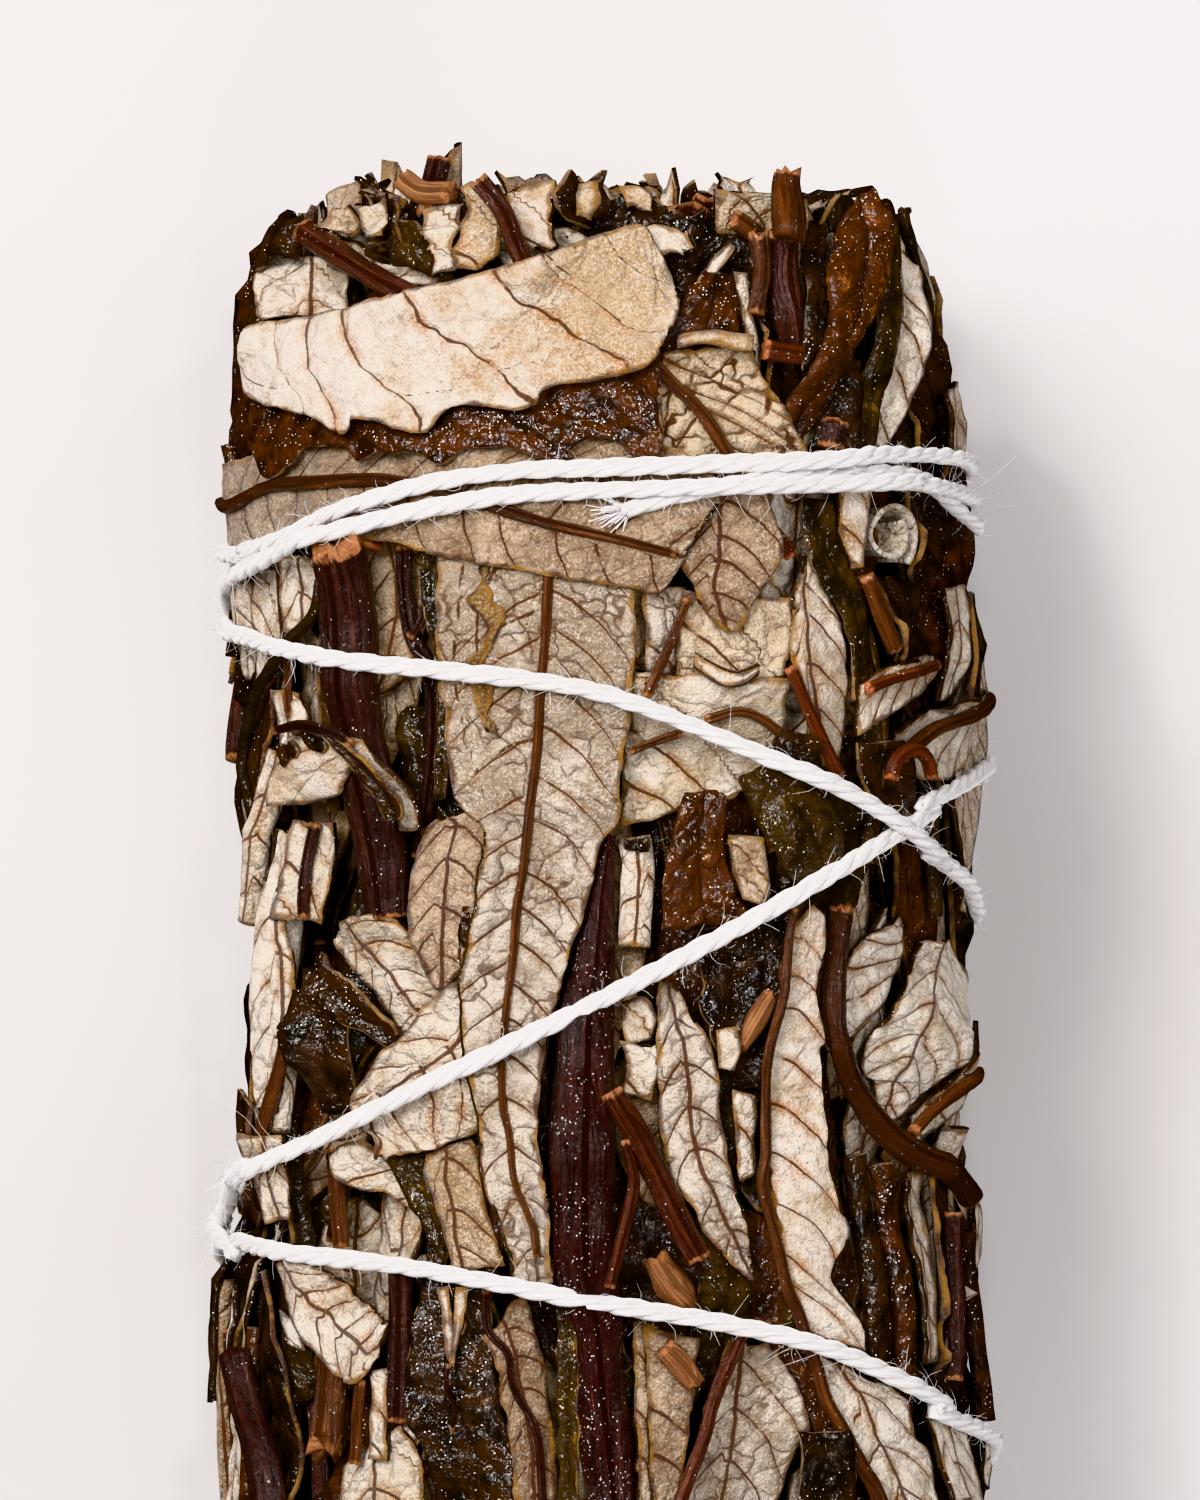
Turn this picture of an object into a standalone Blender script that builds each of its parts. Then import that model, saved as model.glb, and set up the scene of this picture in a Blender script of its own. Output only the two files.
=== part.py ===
"""A smudge stick: a hand-tied bunch of dried leaves and cut stems, lying on its side.

The bunch lies along Y with its rest plane at z = 0. Every piece is placed on the unrolled
surface of the bunch: u runs round it in millimetres from the middle of the top, growing
towards +X, and v runs along it in millimetres from the tied end. A third number, the height,
is measured outwards from the middle layer of the packing. Pieces are laid from the inside
out, and each one is lifted until it clears all that lies under it.
"""

import math

import bmesh
import bpy
import numpy as np

# Driving dimensions, in millimetres.
LENGTH = 100.0  # tip of the longest cut stub at one end to that at the other
HALF_WIDTH = 17.2  # middle layer, from the centre line to the side
RISE_ABOVE = 15.8  # middle layer, from the widest level up to the crown
DROP_BELOW = 13.7  # middle layer, from the widest level down to the flattened underside
WIDEST_LEVEL = 17.3  # height of the widest level over the surface it rests on
CROWN_POWER = 2.3  # superellipse power of the upper half
UNDERSIDE_POWER = 3.0  # superellipse power of the lower half, flattened by lying down
PACKED_DEPTH = -2.6  # height of the pressed inner sprigs
TWINE_RADIUS = 0.5
GAP = 0.22  # clearance that neighbouring pieces keep
LEAF_THICKNESS = 0.6
ROW_STEP = 5.0  # length of one quad along a leaf
TWINE_STEP = 3.2  # distance between the points of the twine's route
TWINE_DENSE = 0.5  # distance between the points that its bed is read at
SHELF = 97.5  # where the leaves end and only stubs go on

MM = 0.001
CELL = 0.25  # grid step of the relief, over the unrolled surface
SAMPLE_STEP = 0.3  # distance between the points that test a piece's clearance
ROUNDS = 40  # most rounds of lifting for one piece

# Colour and roughness of each kind of piece.
FINISHES = {
    "cream": ((0.68, 0.60, 0.46), 0.85),
    "tan": ((0.46, 0.35, 0.24), 0.88),
    "grey": ((0.55, 0.51, 0.44), 0.88),
    "amber": ((0.16, 0.07, 0.02), 0.3),
    "olive": ((0.14, 0.10, 0.03), 0.4),
    "dark": ((0.03, 0.02, 0.015), 0.35),
    "stem": ((0.10, 0.025, 0.012), 0.35),
    "pith": ((0.45, 0.22, 0.10), 0.8),
    "twine": ((0.85, 0.84, 0.82), 0.9),
}

# Pressed sprigs that fill the bunch, the middle one first: finish, and where the cut stem and
# the leaves end, as lower and upper v.
SPRIGS = [
    ("olive", (0.9, 98.9), (3.5, 95.0)),
    ("olive", (1.5, 98.6), (4.0, 95.0)),
    ("dark", (2.2, 98.2), (3.0, 94.5)),
    ("tan", (0.4, 96.5), (4.5, 93.5)),
    ("olive", (2.0, 97.6), (3.5, 95.0)),
    ("dark", (0.0, 97.0), (4.5, 94.0)),
    ("tan", (1.2, 100.0), (3.0, 95.0)),
]
SPRIG_CENTRE = 18.1  # height of the middle sprig
MIDDLE_SPRIG = 5.6  # radius of the middle sprig
SPRIG_PARTING = 0.03  # half the angle between two outer sprigs, in radians
CUT_STEM = 1.05  # radius of a sprig's cut stem

# Rest pads: leaves of the underside that bulge between two turns of twine and lie flat on the
# surface. Each is the place of its centre, x and v.
REST_PADS = [(-5.2, 19.5), (5.2, 19.0), (-5.0, 65.0), (5.0, 64.0)]
PAD_HALF_WIDTH = 3.4
PAD_HALF_LENGTH = 4.6

# Sheets that wrap the sides and the underside: name, finish, middle u, lower and upper end,
# width, lean from one end to the other, lowest height.
WRAPS = [
    ("left_side_leaf", "tan", -26.5, 4.0, 96.0, 13.0, 2.0, -0.9),
    ("right_side_leaf", "olive", 26.5, 3.0, 95.0, 13.0, -2.0, -0.9),
    ("left_under_leaf", "amber", -38.5, 5.0, 94.0, 12.0, 1.5, -1.6),
    ("right_under_leaf", "cream", 38.5, 3.5, 96.0, 12.0, -1.5, -1.6),
    ("under_leaf", "tan", 52.7, 4.0, 95.0, 14.0, 1.0, -1.9),
    ("left_flank_leaf", "cream", -22.5, 8.0, 92.5, 8.0, -2.5, 0.4),
    ("right_flank_leaf", "cream", 23.0, 10.0, 91.0, 8.5, 1.5, 0.4),
]

# Rolled leaves, as tapered rolls: finish, lowest height, then u, v and radius along each.
ROLLS = {
    "rolled_leaf_top": ("amber", -2.0, [
        (12.7, 96.4, 0.4), (12.0, 94.5, 1.1), (11.6, 92.0, 1.3), (10.9, 89.4, 1.1),
        (9.4, 86.6, 0.7), (8.5, 85.5, 0.4)]),
    "scroll_leaf": ("cream", -2.2, [
        (13.0, 83.4, 1.2), (13.4, 81.4, 1.5), (13.6, 79.2, 1.4), (14.2, 76.5, 1.0)]),
    "rolled_leaf_right": ("dark", -2.0, [
        (13.0, 51.5, 0.6), (13.1, 47.0, 1.0), (13.3, 42.0, 0.9), (14.4, 32.0, 1.0),
        (15.2, 20.0, 0.9), (15.4, 9.0, 0.6)]),
    "rolled_leaf_edge": ("amber", -1.8, [
        (15.3, 51.8, 0.6), (15.6, 47.0, 1.0), (15.9, 41.0, 0.8), (17.4, 31.0, 1.0),
        (18.6, 20.0, 0.8)]),
    "rolled_leaf_left": ("cream", -1.0, [
        (-16.6, 67.0, 0.8), (-16.9, 62.0, 1.3), (-16.4, 57.0, 1.4), (-16.6, 52.5, 0.8)]),
    "rolled_leaf_small": ("cream", -2.0, [
        (2.0, 66.0, 0.8), (1.9, 63.0, 1.0), (1.7, 59.0, 0.9), (1.8, 54.5, 0.7)]),
}

# Stems: finish, lowest height, then u, v and radius along each.
STEMS = {
    "main_stem": ("stem", -2.2, [
        (0.5, 66.2, 0.35), (0.0, 63.5, 0.75), (-0.3, 60.0, 1.15), (-0.6, 56.0, 1.45),
        (-0.75, 50.0, 1.4), (-0.6, 45.0, 1.2), (0.0, 39.0, 1.1), (0.7, 30.0, 1.15),
        (1.0, 18.0, 1.1), (0.7, 2.0, 1.05)]),
    "dark_stem": ("stem", -2.2, [
        (-11.0, 79.4, 1.3), (-10.9, 73.0, 1.3), (-10.2, 66.0, 1.35), (-9.7, 59.0, 1.2),
        (-9.4, 52.0, 1.0), (-9.2, 42.0, 0.9), (-9.3, 30.0, 0.9)]),
    "crossing_stem": ("stem", -0.8, [
        (6.5, 42.6, 0.33), (5.2, 40.0, 0.36), (4.5, 37.6, 0.36), (3.4, 34.8, 0.4),
        (2.7, 28.0, 0.45), (2.6, 20.0, 0.5)]),
    "corner_stem": ("dark", -1.2, [
        (-20.4, 41.5, 0.8), (-18.8, 38.5, 0.9), (-17.2, 35.8, 0.9), (-15.4, 31.0, 0.95),
        (-13.6, 22.0, 0.9), (-12.8, 12.0, 0.85)]),
    "broken_stem": ("pith", -1.2, [
        (-14.2, 42.0, 0.6), (-13.9, 39.6, 0.85), (-13.6, 36.8, 0.9)]),
    "red_stem_top": ("stem", -0.9, [
        (-15.0, 95.0, 0.62), (-12.0, 93.4, 0.62), (-9.0, 92.0, 0.6), (-6.0, 90.9, 0.5)]),
    "thin_stem_top": ("stem", -1.2, [
        (-5.6, 97.2, 0.5), (-4.5, 95.2, 0.5), (-3.5, 92.8, 0.5)]),
    "cut_stem_top": ("pith", -2.0, [
        (8.5, 97.6, 0.62), (8.2, 94.6, 0.66), (8.0, 90.8, 0.66), (7.6, 87.0, 0.6)]),
}

# Stems and forks that lie on top of the leaves, laid after them.
OUTER_STEMS = {
    "side_stem": ("stem", -0.6, [
        (1.4, 53.3, 0.5), (2.2, 51.0, 0.6), (3.3, 48.6, 0.62), (4.5, 46.3, 0.55)]),
    "forked_stem": ("stem", -0.9, [
        (12.1, 62.4, 0.6), (11.7, 59.5, 0.6), (11.6, 57.0, 0.6), (12.3, 54.9, 0.6),
        (13.9, 52.7, 0.58), (15.8, 51.0, 0.55), (18.8, 49.7, 0.6), (22.4, 48.5, 0.6)]),
    "rib_stem": ("stem", 0.0, [
        (8.6, 43.4, 0.33), (9.8, 41.2, 0.35), (10.6, 39.2, 0.35), (12.3, 36.3, 0.36),
        (13.6, 33.5, 0.36), (15.8, 27.0, 0.36), (17.0, 20.0, 0.36)]),
}

# Leaves that show, inner first: finish, lowest height, quads across, one edge and the other
# edge, both from the same end, as u and v.
LEAVES = {
    "top_right_leaf": ("dark", 0.0, 3,
        [(16.0, 92.3), (15.7, 89.5), (15.6, 85.0), (15.3, 79.0), (14.6, 74.5)],
        [(18.6, 91.0), (20.4, 88.5), (21.4, 85.0), (20.6, 79.5), (18.0, 73.5)]),
    "edge_leaf": ("cream", -0.9, 2,
        [(13.6, 95.6), (13.9, 92.0), (13.3, 88.5), (12.0, 84.5), (10.6, 80.5)],
        [(14.4, 95.6), (15.5, 92.4), (15.0, 88.5), (13.8, 84.8), (12.2, 80.8)]),
    "net_leaf": ("cream", -1.1, 3,
        [(3.2, 89.6), (2.5, 87.6), (2.8, 85.2), (2.7, 82.6), (3.4, 80.0)],
        [(6.0, 92.4), (6.9, 89.6), (8.0, 86.4), (9.6, 83.8), (9.4, 80.4)]),
    "pale_leaf": ("cream", -0.9, 3,
        [(8.9, 80.4), (8.4, 77.0), (8.3, 73.6), (8.9, 71.0), (10.2, 67.6)],
        [(10.8, 80.0), (11.8, 76.5), (12.1, 73.6), (11.4, 71.0), (10.9, 67.8)]),
    "blob_leaf": ("dark", -0.9, 3,
        [(6.1, 69.6), (6.4, 68.0), (7.4, 65.4), (9.0, 63.6)],
        [(7.8, 69.6), (10.0, 68.2), (11.4, 66.4), (10.9, 63.8)]),
    "amber_leaf": ("amber", -0.9, 2,
        [(3.7, 69.6), (3.7, 66.0), (3.2, 63.0), (2.8, 60.0)],
        [(5.6, 69.0), (5.6, 66.0), (5.8, 63.2), (4.6, 60.2)]),
    "right_leaf": ("cream", 0.0, 3,
        [(16.5, 63.6), (15.9, 60.5), (14.4, 57.2), (13.9, 54.6), (15.0, 52.8)],
        [(22.5, 62.5), (24.2, 59.5), (23.4, 56.4), (20.5, 54.4), (17.2, 52.6)]),
    "olive_leaf": ("olive", -0.9, 2,
        [(-10.4, 51.6), (-9.7, 49.6), (-8.4, 47.6), (-7.5, 44.6)],
        [(-7.0, 52.0), (-6.2, 50.0), (-5.7, 47.6), (-5.2, 44.8)]),
    "broken_leaf": ("cream", -0.2, 3,
        [(-16.6, 45.8), (-15.4, 43.3), (-13.8, 41.6), (-11.2, 40.4)],
        [(-14.2, 46.0), (-12.6, 45.0), (-10.8, 44.0), (-9.5, 43.0)]),
    "dark_leaf": ("dark", -0.9, 3,
        [(-8.0, 46.0), (-8.6, 42.0), (-8.5, 37.0), (-7.9, 30.0), (-7.6, 22.0), (-7.0, 13.0)],
        [(-5.3, 46.0), (-5.0, 42.0), (-4.4, 37.0), (-4.0, 30.0), (-4.0, 22.0), (-4.6, 13.0)]),
    "corner_leaf": ("cream", 0.0, 3,
        [(-10.4, 37.4), (-12.4, 35.0), (-12.8, 28.0), (-12.2, 20.0), (-10.4, 11.0)],
        [(-8.7, 38.4), (-7.9, 35.0), (-7.5, 28.0), (-7.7, 20.0), (-8.6, 11.0)]),
    "fuzzy_leaf": ("tan", 0.0, 2,
        [(-4.9, 44.8), (-4.6, 40.0), (-3.9, 35.0), (-3.7, 28.0), (-4.2, 20.0), (-3.6, 11.0)],
        [(-3.2, 44.6), (-2.4, 40.0), (-1.9, 35.0), (-1.5, 28.0), (-1.3, 20.0), (-2.0, 11.0)]),
    "lower_cream_leaf": ("cream", -0.2, 3,
        [(9.4, 43.6), (11.0, 38.6), (13.0, 34.6), (15.0, 28.0), (16.4, 18.0)],
        [(12.9, 42.0), (15.6, 38.8), (17.4, 34.4), (19.0, 28.0), (19.2, 18.0)]),
    "veined_leaf": ("grey", -0.6, 3,
        [(5.6, 43.0), (4.9, 39.0), (4.2, 35.0), (4.0, 28.0), (4.6, 20.0), (6.0, 9.0)],
        [(8.0, 42.6), (9.9, 38.6), (9.0, 35.0), (9.0, 28.0), (9.6, 20.0), (8.6, 9.0)]),
    "wide_leaf": ("cream", -0.2, 3,
        [(-6.5, 59.0), (-8.3, 57.8), (-11.0, 55.2), (-11.9, 53.2), (-10.6, 51.0)],
        [(-5.9, 59.2), (-6.0, 57.0), (-6.0, 55.0), (-5.8, 53.0), (-6.8, 51.8)]),
    "ribbed_leaf": ("cream", -0.1, 2,
        [(-13.3, 61.2), (-12.0, 59.8), (-10.6, 58.2), (-9.3, 56.9)],
        [(-9.7, 62.5), (-8.4, 61.3), (-7.7, 59.8), (-7.5, 58.4)]),
    "curled_leaf": ("cream", 0.4, 2,
        [(-13.6, 71.6), (-14.2, 70.0), (-14.7, 67.8)],
        [(-10.9, 71.0), (-9.6, 69.0), (-8.4, 66.8)]),
    "grey_leaf": ("grey", -0.3, 3,
        [(2.8, 59.6), (2.5, 56.6), (2.8, 52.6), (4.0, 49.0), (5.6, 46.4), (7.0, 43.4)],
        [(3.4, 59.6), (4.9, 56.8), (5.6, 53.0), (6.3, 49.6), (7.1, 46.4), (7.6, 43.6)]),
    "long_leaf": ("grey", -0.2, 4,
        [(-7.4, 79.4), (-7.2, 74.0), (-6.8, 69.0), (-5.3, 65.5), (-6.1, 60.0), (-5.9, 55.0),
         (-5.3, 50.0), (-4.0, 45.0)],
        [(1.5, 77.8), (1.6, 74.0), (1.1, 69.0), (0.0, 65.0), (-1.6, 60.0), (-2.7, 55.0),
         (-2.5, 50.0), (-2.0, 45.0)]),
    "triangle_leaf": ("tan", 0.0, 2,
        [(4.0, 82.6), (3.9, 79.4), (4.4, 77.4), (5.3, 75.8)],
        [(7.4, 82.4), (8.0, 79.4), (7.0, 77.4), (5.9, 75.8)]),
    "cream_leaf": ("cream", 0.0, 3,
        [(8.7, 63.4), (8.0, 58.5), (7.5, 54.0), (7.6, 49.5), (8.3, 45.6), (9.4, 42.6)],
        [(10.8, 62.6), (10.3, 58.5), (10.5, 54.0), (10.8, 49.6), (11.2, 46.6), (12.7, 41.8)]),
    "tan_leaf": ("tan", 0.4, 3,
        [(-23.0, 85.6), (-17.0, 84.6), (-12.0, 84.9), (-7.0, 84.9), (-2.0, 84.9), (3.0, 84.0)],
        [(-22.5, 80.6), (-17.0, 79.0), (-12.0, 79.6), (-7.0, 79.4), (-2.0, 78.4), (2.9, 77.8)]),
}

# The folded leaf, whose upper flap folds back over the lower one along the top edge: finish,
# lowest height, quads across, the folded edge and the lower edge.
FOLDED_LEAF = ("cream", 1.2, 3,
    [(-20.6, 90.3), (-16.0, 90.9), (-12.0, 91.4), (-8.0, 92.1), (-4.0, 93.2), (0.0, 94.6),
     (3.2, 92.4)],
    [(-20.0, 85.9), (-16.0, 84.3), (-12.0, 84.5), (-8.0, 84.4), (-4.0, 84.4), (0.0, 84.8),
     (2.8, 84.6)])
FLAP_THICKNESS = 1.3  # two layers, where the upper flap lies on the lower one
FLAP_SHARE = 0.8  # how far down the lower flap the upper one reaches

# Route of the twine: one front pass after another, each as u and v from left to right. The
# last pass is laid last, so it lies on top where two cross.
PASSES = [
    [(-22.0, 79.8), (-20.0, 79.95), (-16.0, 80.4), (-12.0, 81.7), (-8.0, 82.8), (-4.0, 83.4),
     (0.0, 83.6), (4.0, 83.75), (10.0, 84.1), (14.0, 84.4), (22.0, 84.4), (34.0, 83.4)],
    [(-22.0, 78.6), (-20.0, 78.75), (-16.0, 79.2), (-12.0, 80.5), (-8.0, 81.6), (-4.0, 82.2),
     (0.0, 82.4), (6.0, 82.6), (12.0, 82.9), (16.0, 83.0), (22.0, 82.8)],
    [(-22.0, 48.3), (-18.0, 49.6), (-14.0, 51.3), (-10.0, 53.4), (-6.0, 55.4), (-2.0, 57.5),
     (2.0, 59.6), (6.0, 61.9), (10.0, 64.1), (14.0, 65.9), (18.0, 67.4), (22.0, 68.6)],
    [(-22.0, 11.0), (-8.0, 15.0), (8.0, 20.0), (22.0, 24.0)],
    [(-22.0, 8.6), (0.0, 8.2), (22.0, 8.4)],
    [(-22.0, 21.4), (-8.0, 18.6), (8.0, 15.6), (22.0, 13.4)],
    [(-22.0, 46.2), (-16.0, 46.3), (-10.0, 46.0), (-4.0, 45.1), (2.0, 44.0), (8.0, 42.6),
     (14.0, 40.4), (18.0, 38.7), (22.0, 37.2)],
    [(-22.0, 76.0), (-16.0, 75.3), (-10.0, 74.4), (-4.0, 73.7), (0.0, 73.0), (4.0, 71.5),
     (8.0, 69.8), (12.0, 68.0), (16.0, 66.2), (20.0, 64.7), (22.0, 64.1)],
]
# The first end of the twine, tucked under the pair of turns at the top.
TWINE_TAIL = [(1.2, 81.6), (3.6, 82.3), (7.0, 83.0), (12.0, 83.5), (18.0, 83.2), (24.0, 81.6),
              (34.0, 79.8), (60.0, 77.5)]


def power_curve(angle):
    """The middle layer's outline at an angle from its top, as x and z."""
    up = np.cos(angle) >= 0
    power = 2 / np.where(up, CROWN_POWER, UNDERSIDE_POWER)
    tall = np.where(up, RISE_ABOVE, DROP_BELOW)
    x = HALF_WIDTH * np.sign(np.sin(angle)) * np.abs(np.sin(angle)) ** power
    z = tall * np.sign(np.cos(angle)) * np.abs(np.cos(angle)) ** power
    return np.stack([x, z + WIDEST_LEVEL], axis=1)


def even_outline(step=0.1):
    """The outline again, as points a fixed arc length apart, with its normals and its girth."""
    rough = power_curve(np.linspace(0, 2 * math.pi, 20001))
    along = np.concatenate([[0], np.cumsum(np.linalg.norm(np.diff(rough, axis=0), axis=1))])
    count = round(along[-1] / step)
    at = np.linspace(0, along[-1], count, endpoint=False)
    points = np.stack([np.interp(at, along, rough[:, k]) for k in (0, 1)], axis=1)
    tangents = np.roll(points, -3, axis=0) - np.roll(points, 3, axis=0)
    tangents /= np.linalg.norm(tangents, axis=1)[:, None]
    normals = np.stack([-tangents[:, 1], tangents[:, 0]], axis=1)
    return points, normals, along[-1]


OUTLINE, NORMALS, GIRTH = even_outline()


def around(values, u):
    """Values of the outline at arc length u, read between its points."""
    place = np.mod(u, GIRTH) / GIRTH * len(values)
    low = np.floor(place).astype(int) % len(values)
    share = (place - np.floor(place))[:, None]
    return values[low] * (1 - share) + values[(low + 1) % len(values)] * share


def wrap(u, v, height):
    """Points in space, in millimetres, for places on the unrolled surface."""
    u, v, height = (np.asarray(a, float) for a in (u, v, height))
    flat = around(OUTLINE, u) + around(NORMALS, u) * height[:, None]
    return np.stack([flat[:, 0], v - LENGTH / 2, flat[:, 1]], axis=1)


def nearest_table(step=0.2):
    """For each cell of the X-Z plane, which outline point is nearest."""
    low = OUTLINE.min(axis=0) - 6
    size = np.ceil((OUTLINE.max(axis=0) + 6 - low) / step).astype(int)
    x, z = np.meshgrid(*(np.arange(n) * step for n in size), indexing="ij")
    cells = np.stack([x.ravel() + low[0], z.ravel() + low[1]], axis=1)
    nearest = np.empty(len(cells), int)
    for start in range(0, len(cells), 4000):
        part = cells[start:start + 4000]
        distance = ((part[:, None, :] - OUTLINE[None, :, :]) ** 2).sum(axis=2)
        nearest[start:start + 4000] = distance.argmin(axis=1)
    return nearest.reshape(size), low, step


NEAREST, TABLE_LOW, TABLE_STEP = nearest_table()


def unroll(points):
    """u, v and height of points in space: the reverse of wrap."""
    flat = points[:, [0, 2]]
    cell = np.round((flat - TABLE_LOW) / TABLE_STEP).astype(int)
    cell = np.clip(cell, 0, np.array(NEAREST.shape) - 1)
    index = NEAREST[cell[:, 0], cell[:, 1]]
    off = flat - OUTLINE[index]
    normal = NORMALS[index]
    along = off[:, 0] * normal[:, 1] - off[:, 1] * normal[:, 0]
    height = (off * normal).sum(axis=1)
    return index * GIRTH / len(OUTLINE) + along, points[:, 1] + LENGTH / 2, height


class Relief:
    """How high the laid pieces reach, over a grid on the unrolled surface."""

    def __init__(self):
        self.shape = (round(GIRTH / CELL), round((LENGTH + 10) / CELL))
        self.top = np.full(self.shape, -9.0)
        inside = slice(self.column(4.0), self.column(SHELF - 2.5))
        self.top[:, inside] = PACKED_DEPTH

    def column(self, v):
        return int(round((v + 5) / CELL))

    def cells(self, u, v):
        i = np.round(np.mod(u, GIRTH) / GIRTH * self.shape[0]).astype(int) % self.shape[0]
        j = np.clip(np.round((v + 5) / CELL).astype(int), 0, self.shape[1] - 1)
        return i, j

    def stamp(self, u, v, height):
        i, j = self.cells(u, v)
        np.maximum.at(self.top, (i, j), height)

    def spread(self):
        """The relief with each cell as high as its highest neighbour."""
        wide = self.top.copy()
        for di in (-1, 0, 1):
            shifted = np.roll(self.top, di, axis=0)
            for dj in (-1, 0, 1):
                wide = np.maximum(wide, np.roll(shifted, dj, axis=1))
        return wide


RELIEF = Relief()


def triangle_samples(corners):
    """Points spread over triangles, no further apart than the sample step."""
    found = []
    longest = np.linalg.norm(corners - np.roll(corners, 1, axis=1), axis=2).max(axis=1)
    parts = np.clip(np.ceil(longest / SAMPLE_STEP).astype(int), 1, 40)
    for count in np.unique(parts):
        group = corners[parts == count]
        a, b = np.meshgrid(np.arange(count + 1), np.arange(count + 1), indexing="ij")
        inside = a + b <= count
        share = np.stack([a[inside], b[inside], count - a[inside] - b[inside]], axis=1) / count
        found.append(np.einsum("sk,tkd->tsd", share, group).reshape(-1, 3))
    return np.concatenate(found)


def samples_of(obj):
    """Points over an object's evaluated surface, in millimetres."""
    graph = bpy.context.evaluated_depsgraph_get()
    shown = obj.evaluated_get(graph)
    mesh = shown.to_mesh()
    mesh.calc_loop_triangles()
    points = np.empty(len(mesh.vertices) * 3, np.float32)
    mesh.vertices.foreach_get("co", points)
    corners = np.empty(len(mesh.loop_triangles) * 3, np.int32)
    mesh.loop_triangles.foreach_get("vertices", corners)
    shown.to_mesh_clear()
    points = points.reshape(-1, 3).astype(float) / MM
    return triangle_samples(points[corners.reshape(-1, 3)])


def lift_needed(samples, places, ground, gap):
    """How far each control place must rise for the samples to clear the ground."""
    u, v, height = unroll(samples)
    i, j = RELIEF.cells(u, v)
    short = ground[i, j] + gap - height
    low = short > 0.005
    lift = np.zeros(len(places))
    if not low.any():
        return lift, 0.0
    across = (places[None, :, 0] - u[low, None] + GIRTH / 2) % GIRTH - GIRTH / 2
    distance = np.hypot(across, places[None, :, 1] - v[low, None])
    reach = np.partition(distance, 2, axis=1)[:, 2:3] * 1.05 + 0.1
    weight = np.clip(1 - distance / reach, 0, None)
    share = weight / (weight**2).sum(axis=1)[:, None].clip(0.4)
    return (short[low, None] * share).max(axis=0), short.max()


def settle(obj, shape, places, heights, gap=GAP):
    """Lifts an object's control heights until it clears the relief, then adds it to that."""
    ground = RELIEF.spread()
    for _ in range(ROUNDS):
        shape(heights)
        lift, worst = lift_needed(samples_of(obj), places, ground, gap)
        if worst < 0.03:
            break
        heights = heights + lift.clip(0, 0.6)
    u, v, height = unroll(samples_of(obj))
    RELIEF.stamp(u, v, height)
    return heights


def finish_of(name):
    """The material of one kind of piece, made once."""
    if name in bpy.data.materials:
        return bpy.data.materials[name]
    material = bpy.data.materials.new(name)
    material.use_nodes = True
    shader = material.node_tree.nodes["Principled BSDF"]
    colour, roughness = FINISHES[name]
    shader.inputs["Base Color"].default_value = (*colour, 1)
    shader.inputs["Roughness"].default_value = roughness
    return material


def add_object(name, data, finish):
    obj = bpy.data.objects.new(name, data)
    data.materials.append(finish_of(finish))
    bpy.data.collections["smudge_stick"].objects.link(obj)
    return obj


def along_line(points, count):
    """A hand-drawn line read at evenly spaced places along its length."""
    points = np.array(points, float)
    walked = np.concatenate([[0], np.cumsum(np.linalg.norm(np.diff(points, axis=0), axis=1))])
    at = np.linspace(0, walked[-1], count)
    return np.stack([np.interp(at, walked, points[:, k]) for k in range(points.shape[1])], axis=1)


def line_length(points):
    return np.linalg.norm(np.diff(np.array(points, float), axis=0), axis=1).sum()


def leaf_sheet(name, finish, edge_a, edge_b, across, thickness):
    """A leaf: a grid drawn between two edges, thickened outwards, and its grid places."""
    rows = max(3, round(max(line_length(edge_a), line_length(edge_b)) / ROW_STEP) + 1)
    side_a, side_b = along_line(edge_a, rows), along_line(edge_b, rows)
    share = np.linspace(0, 1, across + 1)[:, None, None]
    places = (side_a[None] * (1 - share) + side_b[None] * share).reshape(-1, 2)
    grid = bmesh.new()
    bmesh.ops.create_grid(grid, x_segments=rows - 1, y_segments=across, size=1)
    mesh = bpy.data.meshes.new(name)
    grid.to_mesh(mesh)
    grid.free()
    obj = add_object(name, mesh, finish)
    thicken = obj.modifiers.new("thickness", "SOLIDIFY")
    thicken.thickness = thickness * MM
    thicken.offset = 1
    return obj, places


def write_sheet(obj, places, heights):
    """Puts a sheet's grid points at their places, with its faces turned outwards."""
    mesh = obj.data
    points = wrap(places[:, 0], places[:, 1], heights) * MM
    mesh.vertices.foreach_set("co", points.ravel())
    mesh.update()
    centre = np.array(mesh.polygons[0].center)
    outwards = centre[[0, 2]] - np.array([0, WIDEST_LEVEL * MM])
    facing = np.array(mesh.polygons[0].normal)[[0, 2]]
    if facing @ outwards < 0:
        mesh.flip_normals()
    mesh.update()


def lay_leaf(name, finish, lowest, across, edge_a, edge_b, thickness=LEAF_THICKNESS):
    obj, places = leaf_sheet(name, finish, edge_a, edge_b, across, thickness)
    start = np.full(len(places), float(lowest))
    settle(obj, lambda heights: write_sheet(obj, places, heights), places, start)
    return obj


def tube(name, finish, count):
    """A round piece as a curve with one point for each place, and flat cut ends."""
    curve = bpy.data.curves.new(name, "CURVE")
    curve.dimensions = "3D"
    curve.bevel_depth = MM
    curve.bevel_resolution = 1
    curve.use_fill_caps = True
    spline = curve.splines.new("POLY")
    spline.points.add(count - 1)
    return add_object(name, curve, finish)


def write_tube(obj, places, heights):
    """Puts a tube's points at their places; a place's third number is its radius."""
    points = wrap(places[:, 0], places[:, 1], heights) * MM
    homogeneous = np.concatenate([points, np.ones((len(points), 1))], axis=1)
    spline = obj.data.splines[0]
    spline.points.foreach_set("co", homogeneous.ravel())
    spline.points.foreach_set("radius", places[:, 2])
    obj.data.update_tag()


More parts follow.
